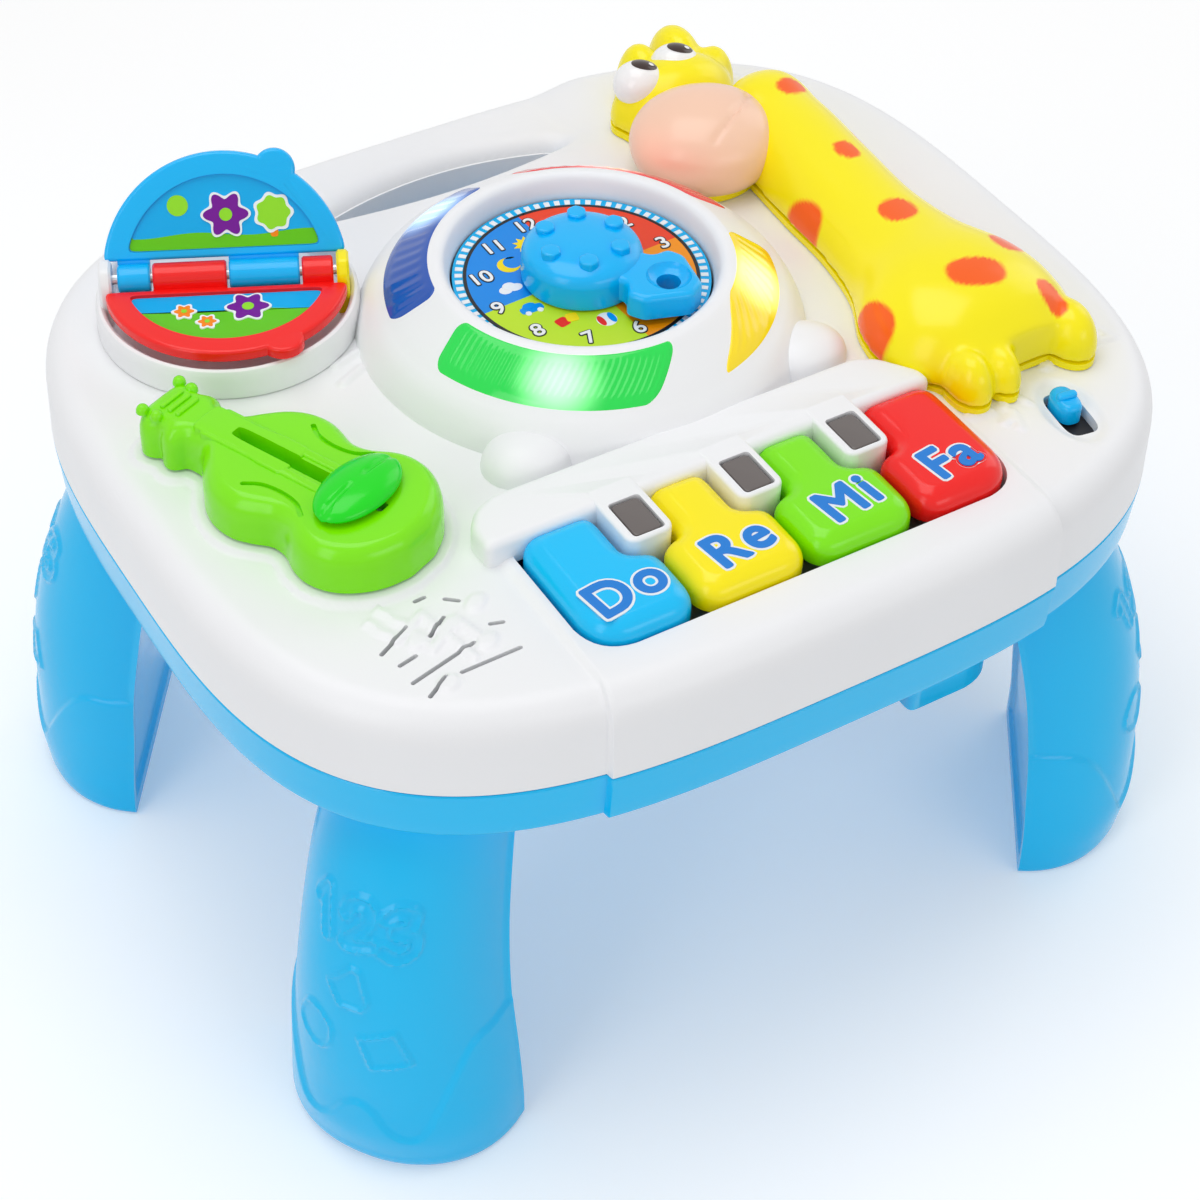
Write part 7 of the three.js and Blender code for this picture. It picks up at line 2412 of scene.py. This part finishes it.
def flower(at, radius, ink):
    middle = radius * FLOWER_MIDDLE
    return [("petal_edge", wavy_round(at, radius + PETAL_EDGE, PETALS, PETAL_EDGE_DEPTH), 5, page_pale),
            ("petals", wavy_round(at, radius, PETALS, PETAL_DEPTH), 6, ink),
            ("flower_middle", ellipse(at, middle, middle), 7, page_lime)]


def picture(side, pieces, leaf):
    for number, (kind, ring, layer, ink) in enumerate(pieces):
        printed("%s_page_%s_%d" % (side, kind, number), ring, layer, ink, *leaf)


print("waves round a tree's crown:", CROWN_WAVES)

# %% Two pictures
WHOLE = 40
HILL_FOOT = -11.5
HILL_WAVE = 0.6
MEADOW_TOP = -15
MEADOW_WAVE = 0.5
SUN = ((-12.5, -20), 3.0, 3.0)
sky = ("sky", panel_part(-WHOLE, WHOLE), 0, page_sky)
blue_picture = [sky, ("hill", panel_part(HILL_FOOT, WHOLE, HILL_WAVE), 1, page_green),
                ("sun", ellipse(*SUN), 2, page_lime)]
blue_picture += tree((14.5, -17), 4.6, -10) + flower((1, -17), 5.4, page_purple)
picture("blue", blue_picture, ("blue_page", PAGE_OPEN, True))
red_picture = [sky, ("meadow", panel_part(-WHOLE, MEADOW_TOP, MEADOW_WAVE), 1, page_green)]
red_picture += flower((6, -14), 5.0, page_purple) + flower((-12, -15), 2.4, page_orange)
red_picture += flower((-5.5, -20), 2.2, page_orange)
picture("red", red_picture, ("red_page", 0, False))
print("printed shapes on the pages:", len(blue_picture) + len(red_picture))

# %% [markdown]
# ## Tray and posts
#
# The tray is a shallow round dish with a soft lip, turned from a profile, with its floor a little
# above the case. A white post at the left end and a yellow one at the right hold the pin.

# %% Tray
TRAY_PROFILE = [(0.5, 175.9), (31.5, 175.9), (33.8, 176.6), (34.9, 178.6), (35.2, 181.8), (35.7, 183.1),
                (36.5, 183.6), (37.3, 183.2), (37.8, 182), (38, 180.2), (38, 174.3), (0.5, 174.3)]
tray_form = turned(TRAY_PROFILE[::-1], BOOK_CENTRE, 140, closed=True)
tray = facing_out(add_object("book_tray_turned", *tray_form, white_shell))
print("tray:", len(tray.data.polygons), "faces")

# %% Posts
TRAY_POST = (-34.2, 176, 5.6)  # place along the pin, foot and half width there
END_POST = (33.4, 174.6, 4.2)
POST_TOP = 194.2
POST_HALF_THICK = 1.8
POST_HALF_WIDE = 5.4
POST_SHOULDER = (2.4, 4)
POST_EDGE = 0.7


def post_plate(x, low, half_low):
    shoulder_in, shoulder_down = POST_SHOULDER
    half, shoulder = POST_HALF_WIDE, POST_TOP - shoulder_down
    outline = np.array([(-half_low, low), (half_low, low), (half, shoulder), (half - shoulder_in, POST_TOP),
                        (-half + shoulder_in, POST_TOP), (-half, shoulder)])
    ring = resample(outline, KEY_RING_STEP, 4)
    left, right = x - POST_HALF_THICK, x + POST_HALF_THICK
    rings = []
    for inset, x_at in ((POST_EDGE, left), (0, left + POST_EDGE), (0, right - POST_EDGE), (POST_EDGE, right)):
        moved = pull_in(ring, inset)
        rings.append(np.column_stack([np.full(len(ring), x_at), moved[:, 0], moved[:, 1]]))
    points, faces = loft(rings)
    return turn_about(points, BOOK_TURN, BOOK_CENTRE), faces


solid_combine(tray, "UNION", [facing_out(tool_from(post_plate(*TRAY_POST)))])
place(tray, "table", "white_shell", "book_tray")
end_post = facing_out(add_object("book_post_yellow", *post_plate(*END_POST), toy_yellow))
place(end_post, "table", "yellow", "book_end_post")
print("tray and posts:", len(tray.data.polygons) + len(end_post.data.polygons), "faces")
